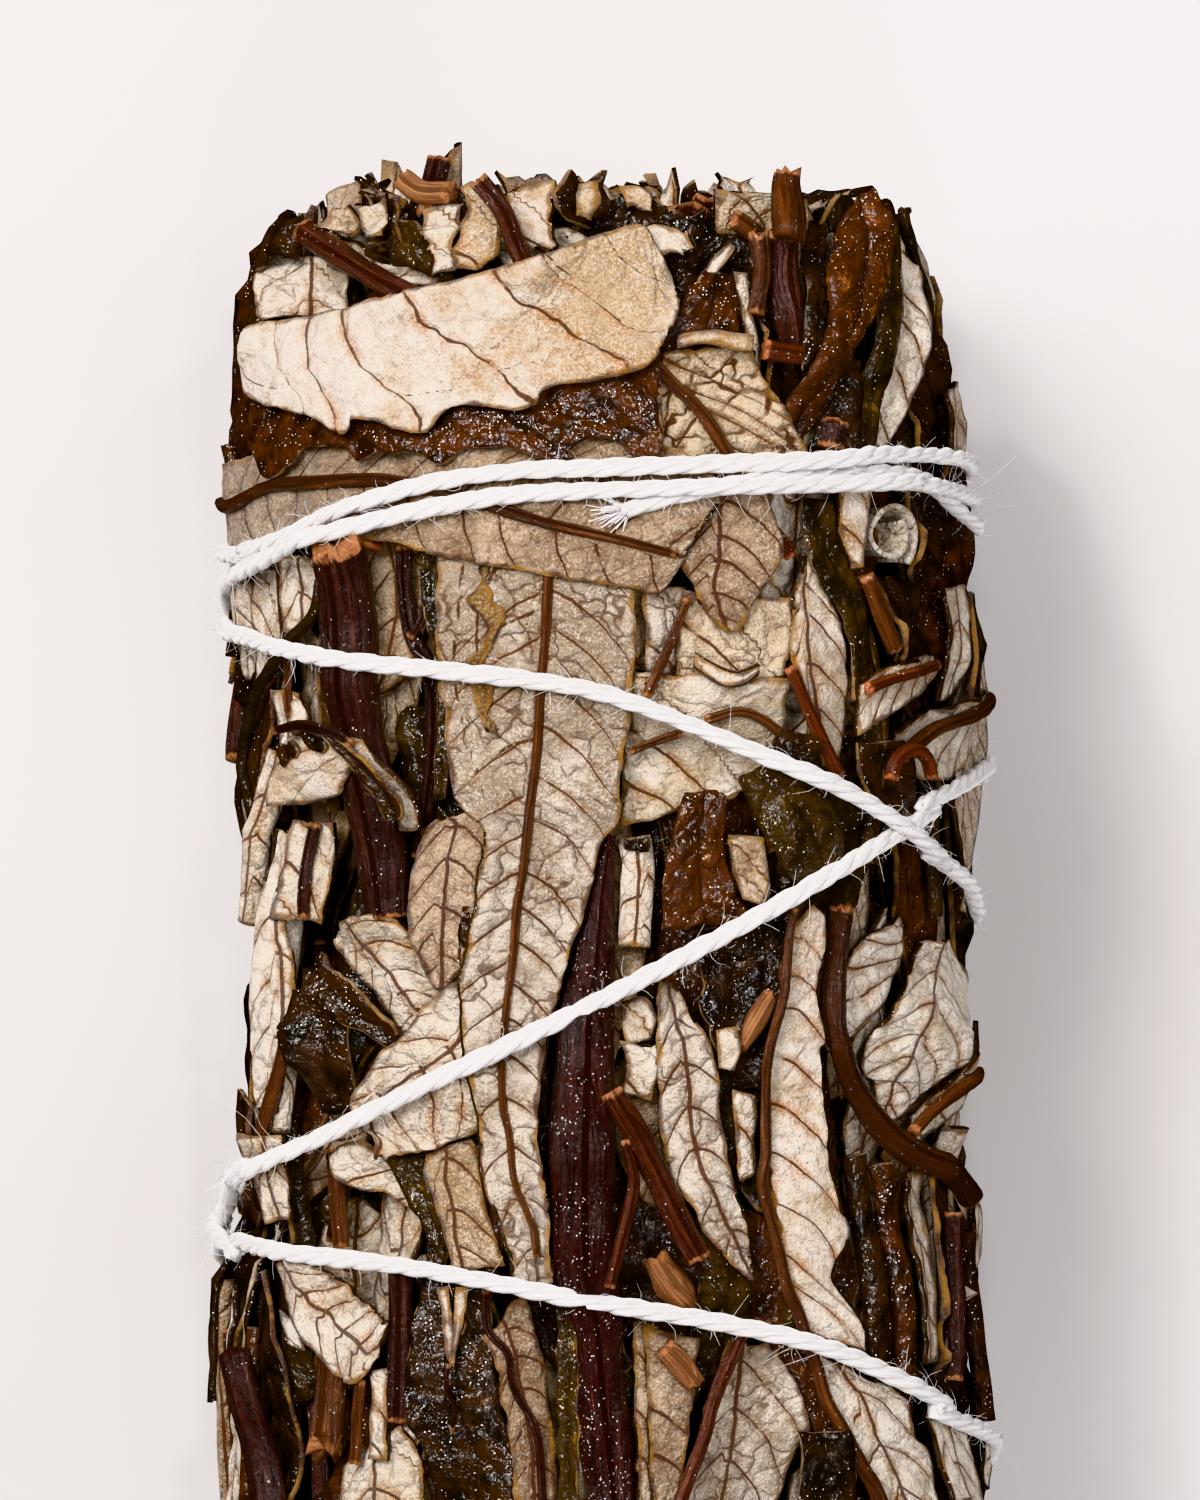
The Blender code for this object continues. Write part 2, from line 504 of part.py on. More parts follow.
def lay_tube(name, finish, lowest, places, step=ROW_STEP):
    """A stem or a rolled leaf, laid on what is under it."""
    count = max(len(places), round(line_length(np.array(places)[:, :2]) / step) + 1)
    places = along_line(places, count)
    obj = tube(name, finish, count)
    start = lowest + places[:, 2]
    settle(obj, lambda heights: write_tube(obj, places, heights), places, start)
    return obj


def wrap_leaf(name, finish, middle, low_end, high_end, width, lean, lowest):
    """A long leaf that covers part of a side or of the underside."""
    along = np.linspace(0, 1, 7)
    half = width / 2 * np.sin(math.pi * (0.1 + 0.82 * along)) ** 0.35
    centre = middle + lean * (along - 0.5)
    v = low_end + (high_end - low_end) * along
    edge_a = list(zip(centre - half, v))
    edge_b = list(zip(centre + half, v))
    lay_leaf(name, finish, lowest, 3, edge_a, edge_b)


def packed_outline(centre, first, last):
    """Outline of one outer sprig in the X-Z plane, between two angles about the centre."""
    reach = []
    for angle in np.linspace(first, last, 7):
        ray = np.array([math.sin(angle), math.cos(angle)])
        packed = OUTLINE + NORMALS * (PACKED_DEPTH - GAP)
        facing = (packed - centre) @ ray
        aside = np.abs((packed - centre) @ np.array([ray[1], -ray[0]]))
        reach.append(centre + ray * facing[(facing > 0) & (aside < 0.2)].mean())
    inner = MIDDLE_SPRIG + 2 * GAP
    back = [centre + inner * np.array([math.sin(a), math.cos(a)])
            for a in np.linspace(last, first, 3)]
    return np.array(reach + back)


def sprig(name, finish, outline, stub_ends, shoulder_ends):
    """A pressed sprig: a long packed block that narrows at each end to its cut stem."""
    middle = outline.mean(axis=0)
    radial = outline - middle
    thin = radial / np.linalg.norm(radial, axis=1)[:, None] * CUT_STEM
    low, high = shoulder_ends
    stations = [(stub_ends[0], 0.0), (low, 0.0), (low + 0.6, 0.6), (low + 3.0, 1.0),
                ((low + high) / 2, 1.0), (high - 3.0, 1.0), (high - 0.6, 0.6), (high, 0.0),
                (stub_ends[1], 0.0)]
    grid = bmesh.new()
    bmesh.ops.create_cone(grid, cap_ends=True, segments=len(outline), radius1=1, radius2=1,
                          depth=1)
    walls = [e for e in grid.edges if abs(e.verts[0].co.z - e.verts[1].co.z) > 0.5]
    bmesh.ops.subdivide_edges(grid, edges=walls, cuts=len(stations) - 2)
    for vertex in grid.verts:
        level = round((vertex.co.z + 0.5) * (len(stations) - 1))
        v, share = stations[level]
        turn = math.atan2(vertex.co.x, vertex.co.y) / (2 * math.pi) * len(outline)
        k = round(turn) % len(outline)
        x, z = middle + thin[k] * (1 - share) + radial[k] * share
        vertex.co = (x * MM, (v - LENGTH / 2) * MM, z * MM)
    bmesh.ops.recalc_face_normals(grid, faces=grid.faces)
    mesh = bpy.data.meshes.new(name)
    grid.to_mesh(mesh)
    grid.free()
    return add_object(name, mesh, finish)


def lay_sprigs():
    centre = np.array([0.0, SPRIG_CENTRE])
    angles = np.linspace(0, 2 * math.pi, 9)[:-1]
    round_outline = centre + MIDDLE_SPRIG * np.stack([np.sin(angles), np.cos(angles)], axis=1)
    finish, stub_ends, shoulder_ends = SPRIGS[0]
    sprig("sprig_1", finish, round_outline, stub_ends, shoulder_ends)
    outer = SPRIGS[1:]
    sector = 2 * math.pi / len(outer)
    for k, (finish, stub_ends, shoulder_ends) in enumerate(outer):
        first = sector * (k - 0.5) + SPRIG_PARTING
        last = sector * (k + 0.5) - SPRIG_PARTING
        outline = packed_outline(centre, first, last)
        sprig(f"sprig_{k + 2}", finish, outline, stub_ends, shoulder_ends)


def lay_rest_pad(name, x, v):
    """An underside leaf that bulges out until a flat patch of it lies on the surface."""
    u, v_range = GIRTH / 2 - x, np.arange(v - PAD_HALF_LENGTH, v + PAD_HALF_LENGTH, CELL)
    u_range = np.arange(u - PAD_HALF_WIDTH, u + PAD_HALF_WIDTH, CELL)
    near_u, near_v = (a.ravel() for a in np.meshgrid(u_range, v_range))
    seat = wrap(near_u, near_v, RELIEF.top[RELIEF.cells(near_u, near_v)] + GAP)[:, 2].min()
    block = bmesh.new()
    bmesh.ops.create_cube(block, size=1)
    size = (2 * PAD_HALF_WIDTH, 2 * PAD_HALF_LENGTH, seat)
    bmesh.ops.scale(block, vec=[side * MM for side in size], verts=block.verts)
    mesh = bpy.data.meshes.new(name)
    block.to_mesh(mesh)
    block.free()
    obj = add_object(name, mesh, "cream")
    obj.location = (x * MM, (v - LENGTH / 2) * MM, seat / 2 * MM)
    soften = obj.modifiers.new("soft edges", "BEVEL")
    soften.width = min(1.2, seat * 0.4) * MM
    soften.segments = 2
    bpy.context.view_layer.update()
    points = samples_of(obj) + np.array(obj.location) / MM
    RELIEF.stamp(*unroll(points))


def lay_folded_leaf(name):
    """The folded leaf, twice as thick where its upper flap lies over the lower one."""
    finish, lowest, across, edge_a, edge_b = FOLDED_LEAF
    obj, places = leaf_sheet(name, finish, edge_a, edge_b, across, FLAP_THICKNESS)
    rows = len(places) // (across + 1)
    flap = obj.vertex_groups.new(name="flap")
    for index in range(len(places)):
        share = (index // rows) / across
        one_layer = LEAF_THICKNESS / FLAP_THICKNESS
        flap.add([index], 1.0 if share < FLAP_SHARE else one_layer, "REPLACE")
    obj.modifiers["thickness"].vertex_group = "flap"
    start = np.full(len(places), float(lowest))
    settle(obj, lambda heights: write_sheet(obj, places, heights), places, start)


def twine_route(step):
    """The twine's route from its cut tail, as u, v and laying order, on evenly spaced points."""
    points, ranks = list(TWINE_TAIL), [-1.0] * len(TWINE_TAIL)
    for turn, front in enumerate(reversed(PASSES), start=1):
        points += [(u + turn * GIRTH, v) for u, v in front]
        ranks += [float(len(PASSES) - turn)] * len(front)
    route = np.column_stack([points, ranks])
    count = round(line_length(route[:, :2]) / step) + 1
    even = along_line(np.array(points), count)
    after = np.searchsorted(route[:, 0], even[:, 0]).clip(0, len(route) - 1)
    rank = route[after, 2]
    return even, rank


def bed_height(u, v, radius):
    """Height at which a cord's centre clears what lies under it."""
    bed = np.full(len(u), -9.0)
    for du, dv in ((0, 0), (0.7, 0), (-0.7, 0), (0, 0.7), (0, -0.7), (0, 1), (0, -1)):
        rise = radius * math.sqrt(max(0.0, 1 - du * du - dv * dv))
        cells = RELIEF.cells(u + du * radius, v + dv * radius)
        bed = np.maximum(bed, RELIEF.top[cells] + rise)
    return bed


def pull_tight(route, heights):
    """Straightens a cord where it spans a hollow, as tension does."""
    for span in (16, 12, 8, 6, 4, 3, 2, 1) * 3:
        points = wrap(route[:, 0], route[:, 1], heights)
        normals = around(NORMALS, route[:, 0])
        chord = (points[:-2 * span] + points[2 * span:]) / 2 - points[span:-span]
        sag = chord[:, 0] * normals[span:-span, 0] + chord[:, 2] * normals[span:-span, 1]
        heights[span:-span] += sag.clip(0, None)
    return heights


def cross_over(route, rank, heights, radius, clear):
    """Lifts each turn over the turns that were laid before it."""
    reach = 2 * radius + clear
    u, v = route[:, 0], route[:, 1]
    order = np.arange(len(u))
    for level in np.unique(rank):
        mine = np.nonzero(rank == level)[0]
        across = (u[None, :] - u[mine, None] + GIRTH / 2) % GIRTH - GIRTH / 2
        apart = np.hypot(across, v[None, :] - v[mine, None])
        before = (rank[None, :] < level) & (apart < reach)
        before &= np.abs(order[None, :] - mine[:, None]) * TWINE_DENSE > 4 * reach
        rise = np.sqrt((reach**2 - apart**2).clip(0, None)) + heights[None, :]
        need = np.where(before, rise, -9.0).max(axis=1)
        heights[mine] = np.maximum(heights[mine], need)
    return heights


def lay_twine():
    """The binding twine: one cord, wound over everything and drawn tight."""
    route, rank = twine_route(TWINE_DENSE)
    heights = bed_height(route[:, 0], route[:, 1], TWINE_RADIUS) + GAP
    for _ in range(4):
        heights = pull_tight(route, heights)
        heights = cross_over(route, rank, heights, TWINE_RADIUS, 0.15)
    walked = np.arange(len(route)) * TWINE_DENSE
    count = round(walked[-1] / TWINE_STEP) + 1
    at = np.linspace(0, walked[-1], count)
    coarse = np.stack([np.interp(at, walked, route[:, k]) for k in (0, 1)], axis=1)
    places = np.column_stack([coarse, np.full(count, TWINE_RADIUS)])
    target = heights.copy()
    raised = np.interp(at, walked, heights)
    for _ in range(30):
        corners = wrap(coarse[:, 0], coarse[:, 1], raised)
        dense = np.stack([np.interp(walked, at, corners[:, k]) for k in range(3)], axis=1)
        short = target - unroll(dense)[2]
        if short.max() < 0.02:
            break
        place = walked / (walked[-1] / (count - 1))
        low = np.clip(np.floor(place).astype(int), 0, count - 2)
        share = place - low
        even = (1 - share) ** 2 + share**2
        for corner, weight in ((low, 1 - share), (low + 1, share)):
            lift = np.zeros(count)
            np.maximum.at(lift, corner, (short * weight / even).clip(0, 0.5))
            raised = raised + lift
    obj = tube("twine", "twine", count)
    write_tube(obj, places, raised)
    print("twine length", round(line_length(wrap(coarse[:, 0], coarse[:, 1], raised))), "mm")


def clear_scene():
    for obj in list(bpy.data.objects):
        bpy.data.objects.remove(obj, do_unlink=True)
    collection = bpy.data.collections.new("smudge_stick")
    bpy.context.scene.collection.children.link(collection)


def main():
    clear_scene()
    lay_sprigs()
    for name, *leaf in WRAPS[:5]:
        wrap_leaf(name, *leaf)
    for name, (finish, lowest, places) in STEMS.items():
        lay_tube(name, finish, lowest, places)
    for name, (finish, lowest, places) in ROLLS.items():
        lay_tube(name, finish, lowest, places)
    for name, *leaf in WRAPS[5:]:
        wrap_leaf(name, *leaf)
    for name, (finish, lowest, across, edge_a, edge_b) in LEAVES.items():
        lay_leaf(name, finish, lowest, across, edge_a, edge_b)
    lay_folded_leaf("folded_leaf")
    for name, (finish, lowest, places) in OUTER_STEMS.items():
        lay_tube(name, finish, lowest, places)
    for k, (x, v) in enumerate(REST_PADS):
        lay_rest_pad(f"rest_leaf_{k + 1}", x, v)
    lay_twine()


main()
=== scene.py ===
"""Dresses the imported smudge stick: pressed leaves with their veins, stems, rolls and twine.

Pieces are laid on the unrolled surface of the bunch: u runs round it in millimetres from the
middle of the top, growing towards +X, v runs along it from one end, and the height is
measured outwards from the middle layer of the packing.
"""

import math

import bpy
import numpy as np
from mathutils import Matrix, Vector


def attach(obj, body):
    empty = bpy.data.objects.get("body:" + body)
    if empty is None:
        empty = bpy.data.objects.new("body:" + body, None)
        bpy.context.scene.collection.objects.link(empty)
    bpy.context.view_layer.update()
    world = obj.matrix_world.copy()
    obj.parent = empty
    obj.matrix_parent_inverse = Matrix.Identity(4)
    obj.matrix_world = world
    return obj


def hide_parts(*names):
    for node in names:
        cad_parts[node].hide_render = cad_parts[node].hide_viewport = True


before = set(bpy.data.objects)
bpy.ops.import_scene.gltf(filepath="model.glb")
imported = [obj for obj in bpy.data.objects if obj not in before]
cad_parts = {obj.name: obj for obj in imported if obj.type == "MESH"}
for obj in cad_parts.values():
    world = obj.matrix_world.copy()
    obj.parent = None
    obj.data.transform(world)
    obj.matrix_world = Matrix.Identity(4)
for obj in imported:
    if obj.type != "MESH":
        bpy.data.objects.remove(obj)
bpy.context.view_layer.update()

MM = 0.001
LENGTH = 100.0
HALF_WIDTH = 17.2
RISE_ABOVE = 15.8
DROP_BELOW = 13.7
WIDEST_LEVEL = 17.3
CROWN_POWER = 2.3
UNDERSIDE_POWER = 3.0

# Each of these three lists gives places, either u or v, with a value at each.
PACKED_DEPTH = ((0, -3.1), (24, -3.2), (30, -3.7), (40, -4.2), (46, -4.5), (52.7, -4.5))
SLIMMING = ((36, -0.2), (50, 0), (74, 0), (84, 0.9), (91, 1.0), (97, 2.2))
SLIMMED_SHARE = ((-42, 0), (-32, 0.5), (-23, 0.5), (-15, 0), (16, 0), (23, 1), (32, 1), (42, 0))

LOOSE, PRESSED = 0.8, 0.6  # above this height, the packing is pressed to this share
CELL = 0.2  # grid step of the bed that pieces are laid on
LEAF_THICKNESS = 0.26
GAP = 0.04  # air between two pressed layers
LEAF_STEP = 0.32  # grid step of a leaf that shows
TWINE_RADIUS = 0.45
FAR = 9.0  # a distance that no vein or cut end reaches
NO_VEINS = 99.0  # the space between side veins where there are none
GOLDEN = 0.618034  # spreads loose pieces evenly round the bunch


# ---------------------------------------------------------------- the unrolled surface


def unit(vectors):
    """The vectors again, each one long."""
    return vectors / np.linalg.norm(vectors, axis=-1, keepdims=True).clip(1e-9)


def power_curve(angle):
    """The middle layer's outline at an angle from its top, as x and z."""
    up = np.cos(angle) >= 0
    power = 2 / np.where(up, CROWN_POWER, UNDERSIDE_POWER)
    tall = np.where(up, RISE_ABOVE, DROP_BELOW)
    x = HALF_WIDTH * np.sign(np.sin(angle)) * np.abs(np.sin(angle)) ** power
    z = tall * np.sign(np.cos(angle)) * np.abs(np.cos(angle)) ** power
    return np.stack([x, z + WIDEST_LEVEL], axis=1)


OUTLINE_STEP = 0.1


def even_outline():
    """The outline again, as points a fixed arc length apart, with its normals and its girth."""
    rough = power_curve(np.linspace(0, 2 * math.pi, 20001))
    along = np.concatenate([[0], np.cumsum(np.linalg.norm(np.diff(rough, axis=0), axis=1))])
    count = round(along[-1] / OUTLINE_STEP)
    at = np.linspace(0, along[-1], count, endpoint=False)
    points = np.stack([np.interp(at, along, rough[:, k]) for k in (0, 1)], axis=1)
    tangents = unit(np.roll(points, -12, axis=0) - np.roll(points, 12, axis=0))
    normals = np.stack([-tangents[:, 1], tangents[:, 0]], axis=1)
    return points, normals, along[-1]


OUTLINE, NORMALS, GIRTH = even_outline()
MIDDLE = np.array([0.0, WIDEST_LEVEL])


def around(values, u):
    """Values of the outline at arc length u, read between its points."""
    place = np.mod(u, GIRTH) / GIRTH * len(values)
    low = np.floor(place).astype(int) % len(values)
    share = (place - np.floor(place))[..., None]
    return values[low] * (1 - share) + values[(low + 1) % len(values)] * share


def wrap(u, v, height, inward=1.0):
    """Points in space, in millimetres, for places on the unrolled surface."""
    u, v, height = np.broadcast_arrays(*(np.asarray(a, float) for a in (u, v, height)))
    height = np.where(height > LOOSE, LOOSE + (height - LOOSE) * PRESSED, height)
    slimmer = np.interp(v, *zip(*SLIMMING)) * np.interp(beside_top(u), *zip(*SLIMMED_SHARE))
    height = height - slimmer
    flat = around(OUTLINE, u) + around(NORMALS, u) * height[..., None]
    flat = MIDDLE + (flat - MIDDLE) * inward
    return np.stack([flat[..., 0], v - LENGTH / 2, flat[..., 1]], axis=-1)


def beside_top(u):
    """Place along the outline, counted both ways from the top line of the bunch."""
    return (np.asarray(u) + GIRTH / 2) % GIRTH - GIRTH / 2


def packed_depth(u):
    """Height of the innermost pressed layer: it lies higher towards the top of the bunch."""
    return np.interp(np.abs(beside_top(u)), *zip(*PACKED_DEPTH))


def halfway(grid):
    """The grid with a row put in half-way between each two of its rows."""
    fuller = np.repeat(grid, 2, axis=0)[:-1]
    fuller[1::2] = (grid[:-1] + grid[1:]) / 2
    return fuller


class Bed:
    """How high the laid pieces reach, over a grid on the unrolled surface."""

    def __init__(self):
        self.shape = (round(GIRTH / CELL), round((LENGTH + 10) / CELL))
        round_it = packed_depth(np.arange(self.shape[0]) / self.shape[0] * GIRTH)
        self.top = np.repeat(round_it[:, None], self.shape[1], axis=1)

    def cells(self, u, v):
        i = np.round(np.mod(u, GIRTH) / GIRTH * self.shape[0]).astype(int) % self.shape[0]
        j = np.clip(np.round((v + 5) / CELL).astype(int), 0, self.shape[1] - 1)
        return i, j

    def under(self, u, v):
        """Height of the highest thing within one cell of each place."""
        i, j = self.cells(u, v)
        best = self.top[i, j]
        for di, dj in ((-1, 0), (1, 0), (0, -1), (0, 1), (-1, -1), (1, 1), (-1, 1), (1, -1)):
            beside = self.top[(i + di) % self.shape[0], np.clip(j + dj, 0, self.shape[1] - 1)]
            best = np.maximum(best, beside)
        return best

    def add(self, u, v, height, step):
        """Marks a sheet, given as grids of places a step apart, on every cell it covers."""
        grids = [np.asarray(g, float) for g in np.broadcast_arrays(u, v, height)]
        while step > CELL:
            grids = [halfway(halfway(g).T).T for g in grids]
            step /= 2
        np.maximum.at(self.top, self.cells(grids[0], grids[1]), grids[2])


BED = Bed()


# ---------------------------------------------------------------- lines and noise


def line(drawn):
    """The places of a drawn line, written as pairs, or of one that is worked out."""
    if isinstance(drawn, str):
        drawn = [[float(n) for n in pair.split(",")] for pair in drawn.split()]
    return np.asarray(drawn, float)


def smooth_line(points, count):
    """A drawn line made smooth and read at evenly spaced places along it."""
    points = np.asarray(points, float)
    if len(points) > 2:
        ends = [2 * points[0] - points[1]], [2 * points[-1] - points[-2]]
        p = np.vstack([ends[0], points, ends[1]])
        t = np.linspace(0, 1, 8, endpoint=False)[None, :, None]
        a, b, c, d = (p[k:len(p) - 3 + k, None] for k in range(4))
        dense = 0.5 * (2 * b + (c - a) * t + (2 * a - 5 * b + 4 * c - d) * t**2
                       + (3 * b - a - 3 * c + d) * t**3)
        points = np.vstack([dense.reshape(-1, p.shape[1]), points[-1:]])
    walked = np.concatenate([[0], np.cumsum(np.linalg.norm(np.diff(points[:, :2], axis=0),
                                                           axis=1))])
    at = np.linspace(0, walked[-1], count)
    return np.stack([np.interp(at, walked, points[:, k]) for k in range(points.shape[1])],
                    axis=1)


def line_length(points):
    return np.linalg.norm(np.diff(np.asarray(points)[:, :2], axis=0), axis=1).sum()


def waves(x, size, rng):
    """Smooth random values along x, about -1 to 1, whose bumps are about size long."""
    knots = int(np.ptp(x) / size) + 4
    values = rng.uniform(-1, 1, knots)
    place = (x - x.min()) / size
    low = np.clip(np.floor(place).astype(int), 0, knots - 2)
    share = place - low
    share = share * share * (3 - 2 * share)
    return values[low] * (1 - share) + values[low + 1] * share


def rumple(a, b, size, rng):
    """Smooth random values over two coordinates, about -1 to 1."""
    a, b = (a - a.min()) / size, (b - b.min()) / size
    grid = rng.uniform(-1, 1, (int(a.max()) + 3, int(b.max()) + 3))
    i, j = np.floor(a).astype(int), np.floor(b).astype(int)
    s, t = a - i, b - j
    s, t = s * s * (3 - 2 * s), t * t * (3 - 2 * t)
    low = grid[i, j] * (1 - s) + grid[i + 1, j] * s
    high = grid[i, j + 1] * (1 - s) + grid[i + 1, j + 1] * s
    return low * (1 - t) + high * t


def blur(values, width, axis):
    """A box blur along one axis of a grid, with its edge values carried on."""
    pad = [(0, 0)] * values.ndim
    pad[axis] = (width + 1, width)
    total = np.cumsum(np.pad(values, pad, mode="edge"), axis=axis)
    span = 2 * width + 1
    count = values.shape[axis]
    high = np.take(total, range(span, span + count), axis=axis)
    low = np.take(total, range(0, count), axis=axis)
    return (high - low) / span


def taut(ground, widths):
    """A stiff sheet's heights over a bed: it touches the high places and spans the rest."""
    height = ground.copy()
    for width in widths:
        softer = height
        for axis in range(ground.ndim):
            reach = min(width, ground.shape[axis] - 1)
            if reach > 0:
                softer = blur(softer, reach, axis)
        height = np.maximum(ground, softer)
    return height


def dented(down, across, size, rng):
    """Smooth random values on a grid whose rows and columns lie at these places."""
    a, b = np.meshgrid(down, across, indexing="ij")
    return rumple(a.ravel(), b.ravel(), size, rng).reshape(a.shape)


def pair_up(x, y):
    """Two coordinates put together as places."""
    return np.stack(np.broadcast_arrays(x, y), axis=-1)


def away_from(places, lines):
    """Distance from each place to the nearest of some lines, less their half-widths."""
    best = np.full(len(places), FAR)
    for points, half in lines:
        start, end = points[:-1], points[1:]
        along = end - start
        size = (along**2).sum(axis=1).clip(1e-9)
        for k in range(len(start)):
            share = np.clip(((places - start[k]) @ along[k]) / size[k], 0, 1)
            gap = np.hypot(*(places - start[k] - share[:, None] * along[k]).T)
            width = half[k] + (half[k + 1] - half[k]) * share
            best = np.minimum(best, gap - width)
    return best


# ---------------------------------------------------------------- meshes


class Piece:
    """Collects sheets and rods, then makes them one mesh with its materials."""

    def __init__(self, name):
        self.name = name
        self.points, self.faces, self.finish = [], [], []
        self.values = {key: [] for key in ("across", "course", "spread", "twig", "margin",
                                           "tone", "cut")}
        self.map = []
        self.finishes = []
        self.count = 0

    def slot(self, finish):
        if finish not in self.finishes:
            self.finishes.append(finish)
        return self.finishes.index(finish)

    def add(self, points, faces, finish, along, **values):
        """Points in millimetres, quads, a finish for each face, and values at the points."""
        self.points.append(points)
        self.faces.append(faces + self.count)
        self.finish.append(finish)
        self.map.append(along)
        for key, found in self.values.items():
            value = values.get(key, 0.0)
            found.append(np.broadcast_to(np.asarray(value, float), (len(points),)))
        self.count += len(points)

    def build(self, *nodes, slot=None):
        """Makes the object, which rides on the bunch and stands for its solids."""
        points = np.concatenate(self.points) * MM
        points[:, 2] = points[:, 2].clip(0.0, None)
        faces = np.concatenate(self.faces)
        mesh = bpy.data.meshes.new(self.name)
        mesh.vertices.add(len(points))
        mesh.vertices.foreach_set("co", points.ravel())
        mesh.loops.add(faces.size)
        mesh.loops.foreach_set("vertex_index", faces.ravel())
        mesh.polygons.add(len(faces))
        mesh.polygons.foreach_set("loop_start", np.arange(0, faces.size, 4))
        mesh.polygons.foreach_set("material_index", np.concatenate(self.finish))
        mesh.update(calc_edges=True)
        mesh.validate()
        mesh.polygons.foreach_set("use_smooth", np.ones(len(mesh.polygons), bool))
        for key, found in self.values.items():
            attribute = mesh.attributes.new(key, "FLOAT", "POINT")
            attribute.data.foreach_set("value", np.concatenate(found).astype(np.float32))
        along = np.concatenate(self.map)
        layer = mesh.uv_layers.new(name="along")
        corner = np.empty(len(mesh.loops), int)
        mesh.loops.foreach_get("vertex_index", corner)
        layer.data.foreach_set("uv", along[corner].astype(np.float32).ravel())
        for finish in self.finishes:
            mesh.materials.append(bpy.data.materials[finish])
        obj = bpy.data.objects.new(self.name, mesh)
        bpy.context.scene.collection.objects.link(obj)
        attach(obj, "root")
        if nodes:
            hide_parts(*nodes)
        return obj


def grid_faces(rows, columns, ring=False):
    """Quads of a grid of points, closed round its columns if it is a ring."""
    r = np.arange(rows - 1)[:, None]
    c = np.arange(columns if ring else columns - 1)[None, :]
    after = (c + 1) % columns
    a, b = r * columns + c, r * columns + after
    quads = np.stack([a, b, b + columns, a + columns], axis=-1)
    return quads.reshape(-1, 4)


def add_sheet(piece, middle, thickness, outer, inner, along, band=None, band_finish=None,
              **values):
    """A thin leaf: its middle surface as a grid of points, thickened to both sides."""
    rows, columns = middle.shape[:2]
    normal = unit(np.cross(np.gradient(middle, axis=0), np.gradient(middle, axis=1)))
    top = (middle + normal * (thickness / 2)).reshape(-1, 3)
    under = (middle - normal * (thickness / 2)).reshape(-1, 3)
    count = rows * columns
    quads = grid_faces(rows, columns)
    rim = np.concatenate([
        np.arange(columns), np.arange(1, rows) * columns + columns - 1,
        (rows - 1) * columns + np.arange(columns - 2, -1, -1),
        np.arange(rows - 2, -1, -1) * columns])
    sides = np.stack([rim[1:], rim[1:] + count, rim[:-1] + count, rim[:-1]], axis=1)
    faces = np.concatenate([quads[:, ::-1], quads + count, sides])
    outer, inner = piece.slot(outer), piece.slot(inner)
    finish = np.concatenate([np.full(len(quads), outer), np.full(len(quads), inner),
                             np.full(len(sides), inner)])
    if band is not None and band.any():
        hemmed = band[:-1, :-1] & band[1:, 1:] & band[:-1, 1:] & band[1:, :-1]
        finish[:len(quads)][hemmed.ravel()] = piece.slot(band_finish)
    twice = {key: np.concatenate([np.ravel(v), np.ravel(v)]) if np.ndim(v) else v
             for key, v in values.items()}
    along = along.reshape(-1, 2)
    piece.add(np.concatenate([top, under]), faces, finish, np.concatenate([along, along]),
              **twice)


def directions(centres, upward):
    """Unit directions along a line of points, beside it and upward from it."""
    tangent = unit(np.gradient(centres, axis=0))
    side = unit(np.cross(tangent, upward))
    return tangent, side, np.cross(side, tangent)


def add_rod(piece, centres, across, upward, finish, along, jags=None, closed=True, **values):
    """A stem or a ply: rings of points round a line, with both ends closed or left open."""
    sides = across.shape[1]
    tangent, side, upward = directions(centres, upward)
    angle = np.linspace(0, 2 * math.pi, sides, endpoint=False)[None, :, None]
    ring = np.sin(angle) * side[:, None] + np.cos(angle) * upward[:, None]
    points = centres[:, None] + ring * across[..., None]
    if jags is not None:
        points[0] -= tangent[0] * jags[0][:, None]
        points[-1] += tangent[-1] * jags[1][:, None]
    if closed:
        caps = [centres[k] + (points[k] - centres[k]) * 0.03 for k in (0, -1)]
        points = np.concatenate([caps[:1], points, caps[1:]])
        along = np.concatenate([along[:1], along, along[-1:]])
        values = {key: np.concatenate([v[:1], v, v[-1:]]) if np.ndim(v) == 2 else v
                  for key, v in values.items()}
    values = {key: np.ravel(v) if np.ndim(v) == 2 else v for key, v in values.items()}
    faces = grid_faces(len(points), sides, ring=True)
    piece.add(points.reshape(-1, 3), faces, np.full(len(faces), piece.slot(finish)),
              along.reshape(-1, 2), **values)


# ---------------------------------------------------------------- leaves

SOFT_SIDE = {"cream": "cream_felt", "white": "white_felt", "grey": "grey_felt",
             "tan": "tan_felt", "beige": "beige_felt", "net": "net_felt", "crust": "ochre_crust"}
SHINY_SIDE = {"amber": "amber_resin", "olive": "olive_resin", "dark": "dark_resin"}


def sides_of(look, under_shiny="tan_felt"):
    """The finishes of a leaf's outer and inner sides: one is felted and one is varnished."""
    if look in SOFT_SIDE:
        return SOFT_SIDE[look], "dark_resin"
    return SHINY_SIDE[look], under_shiny


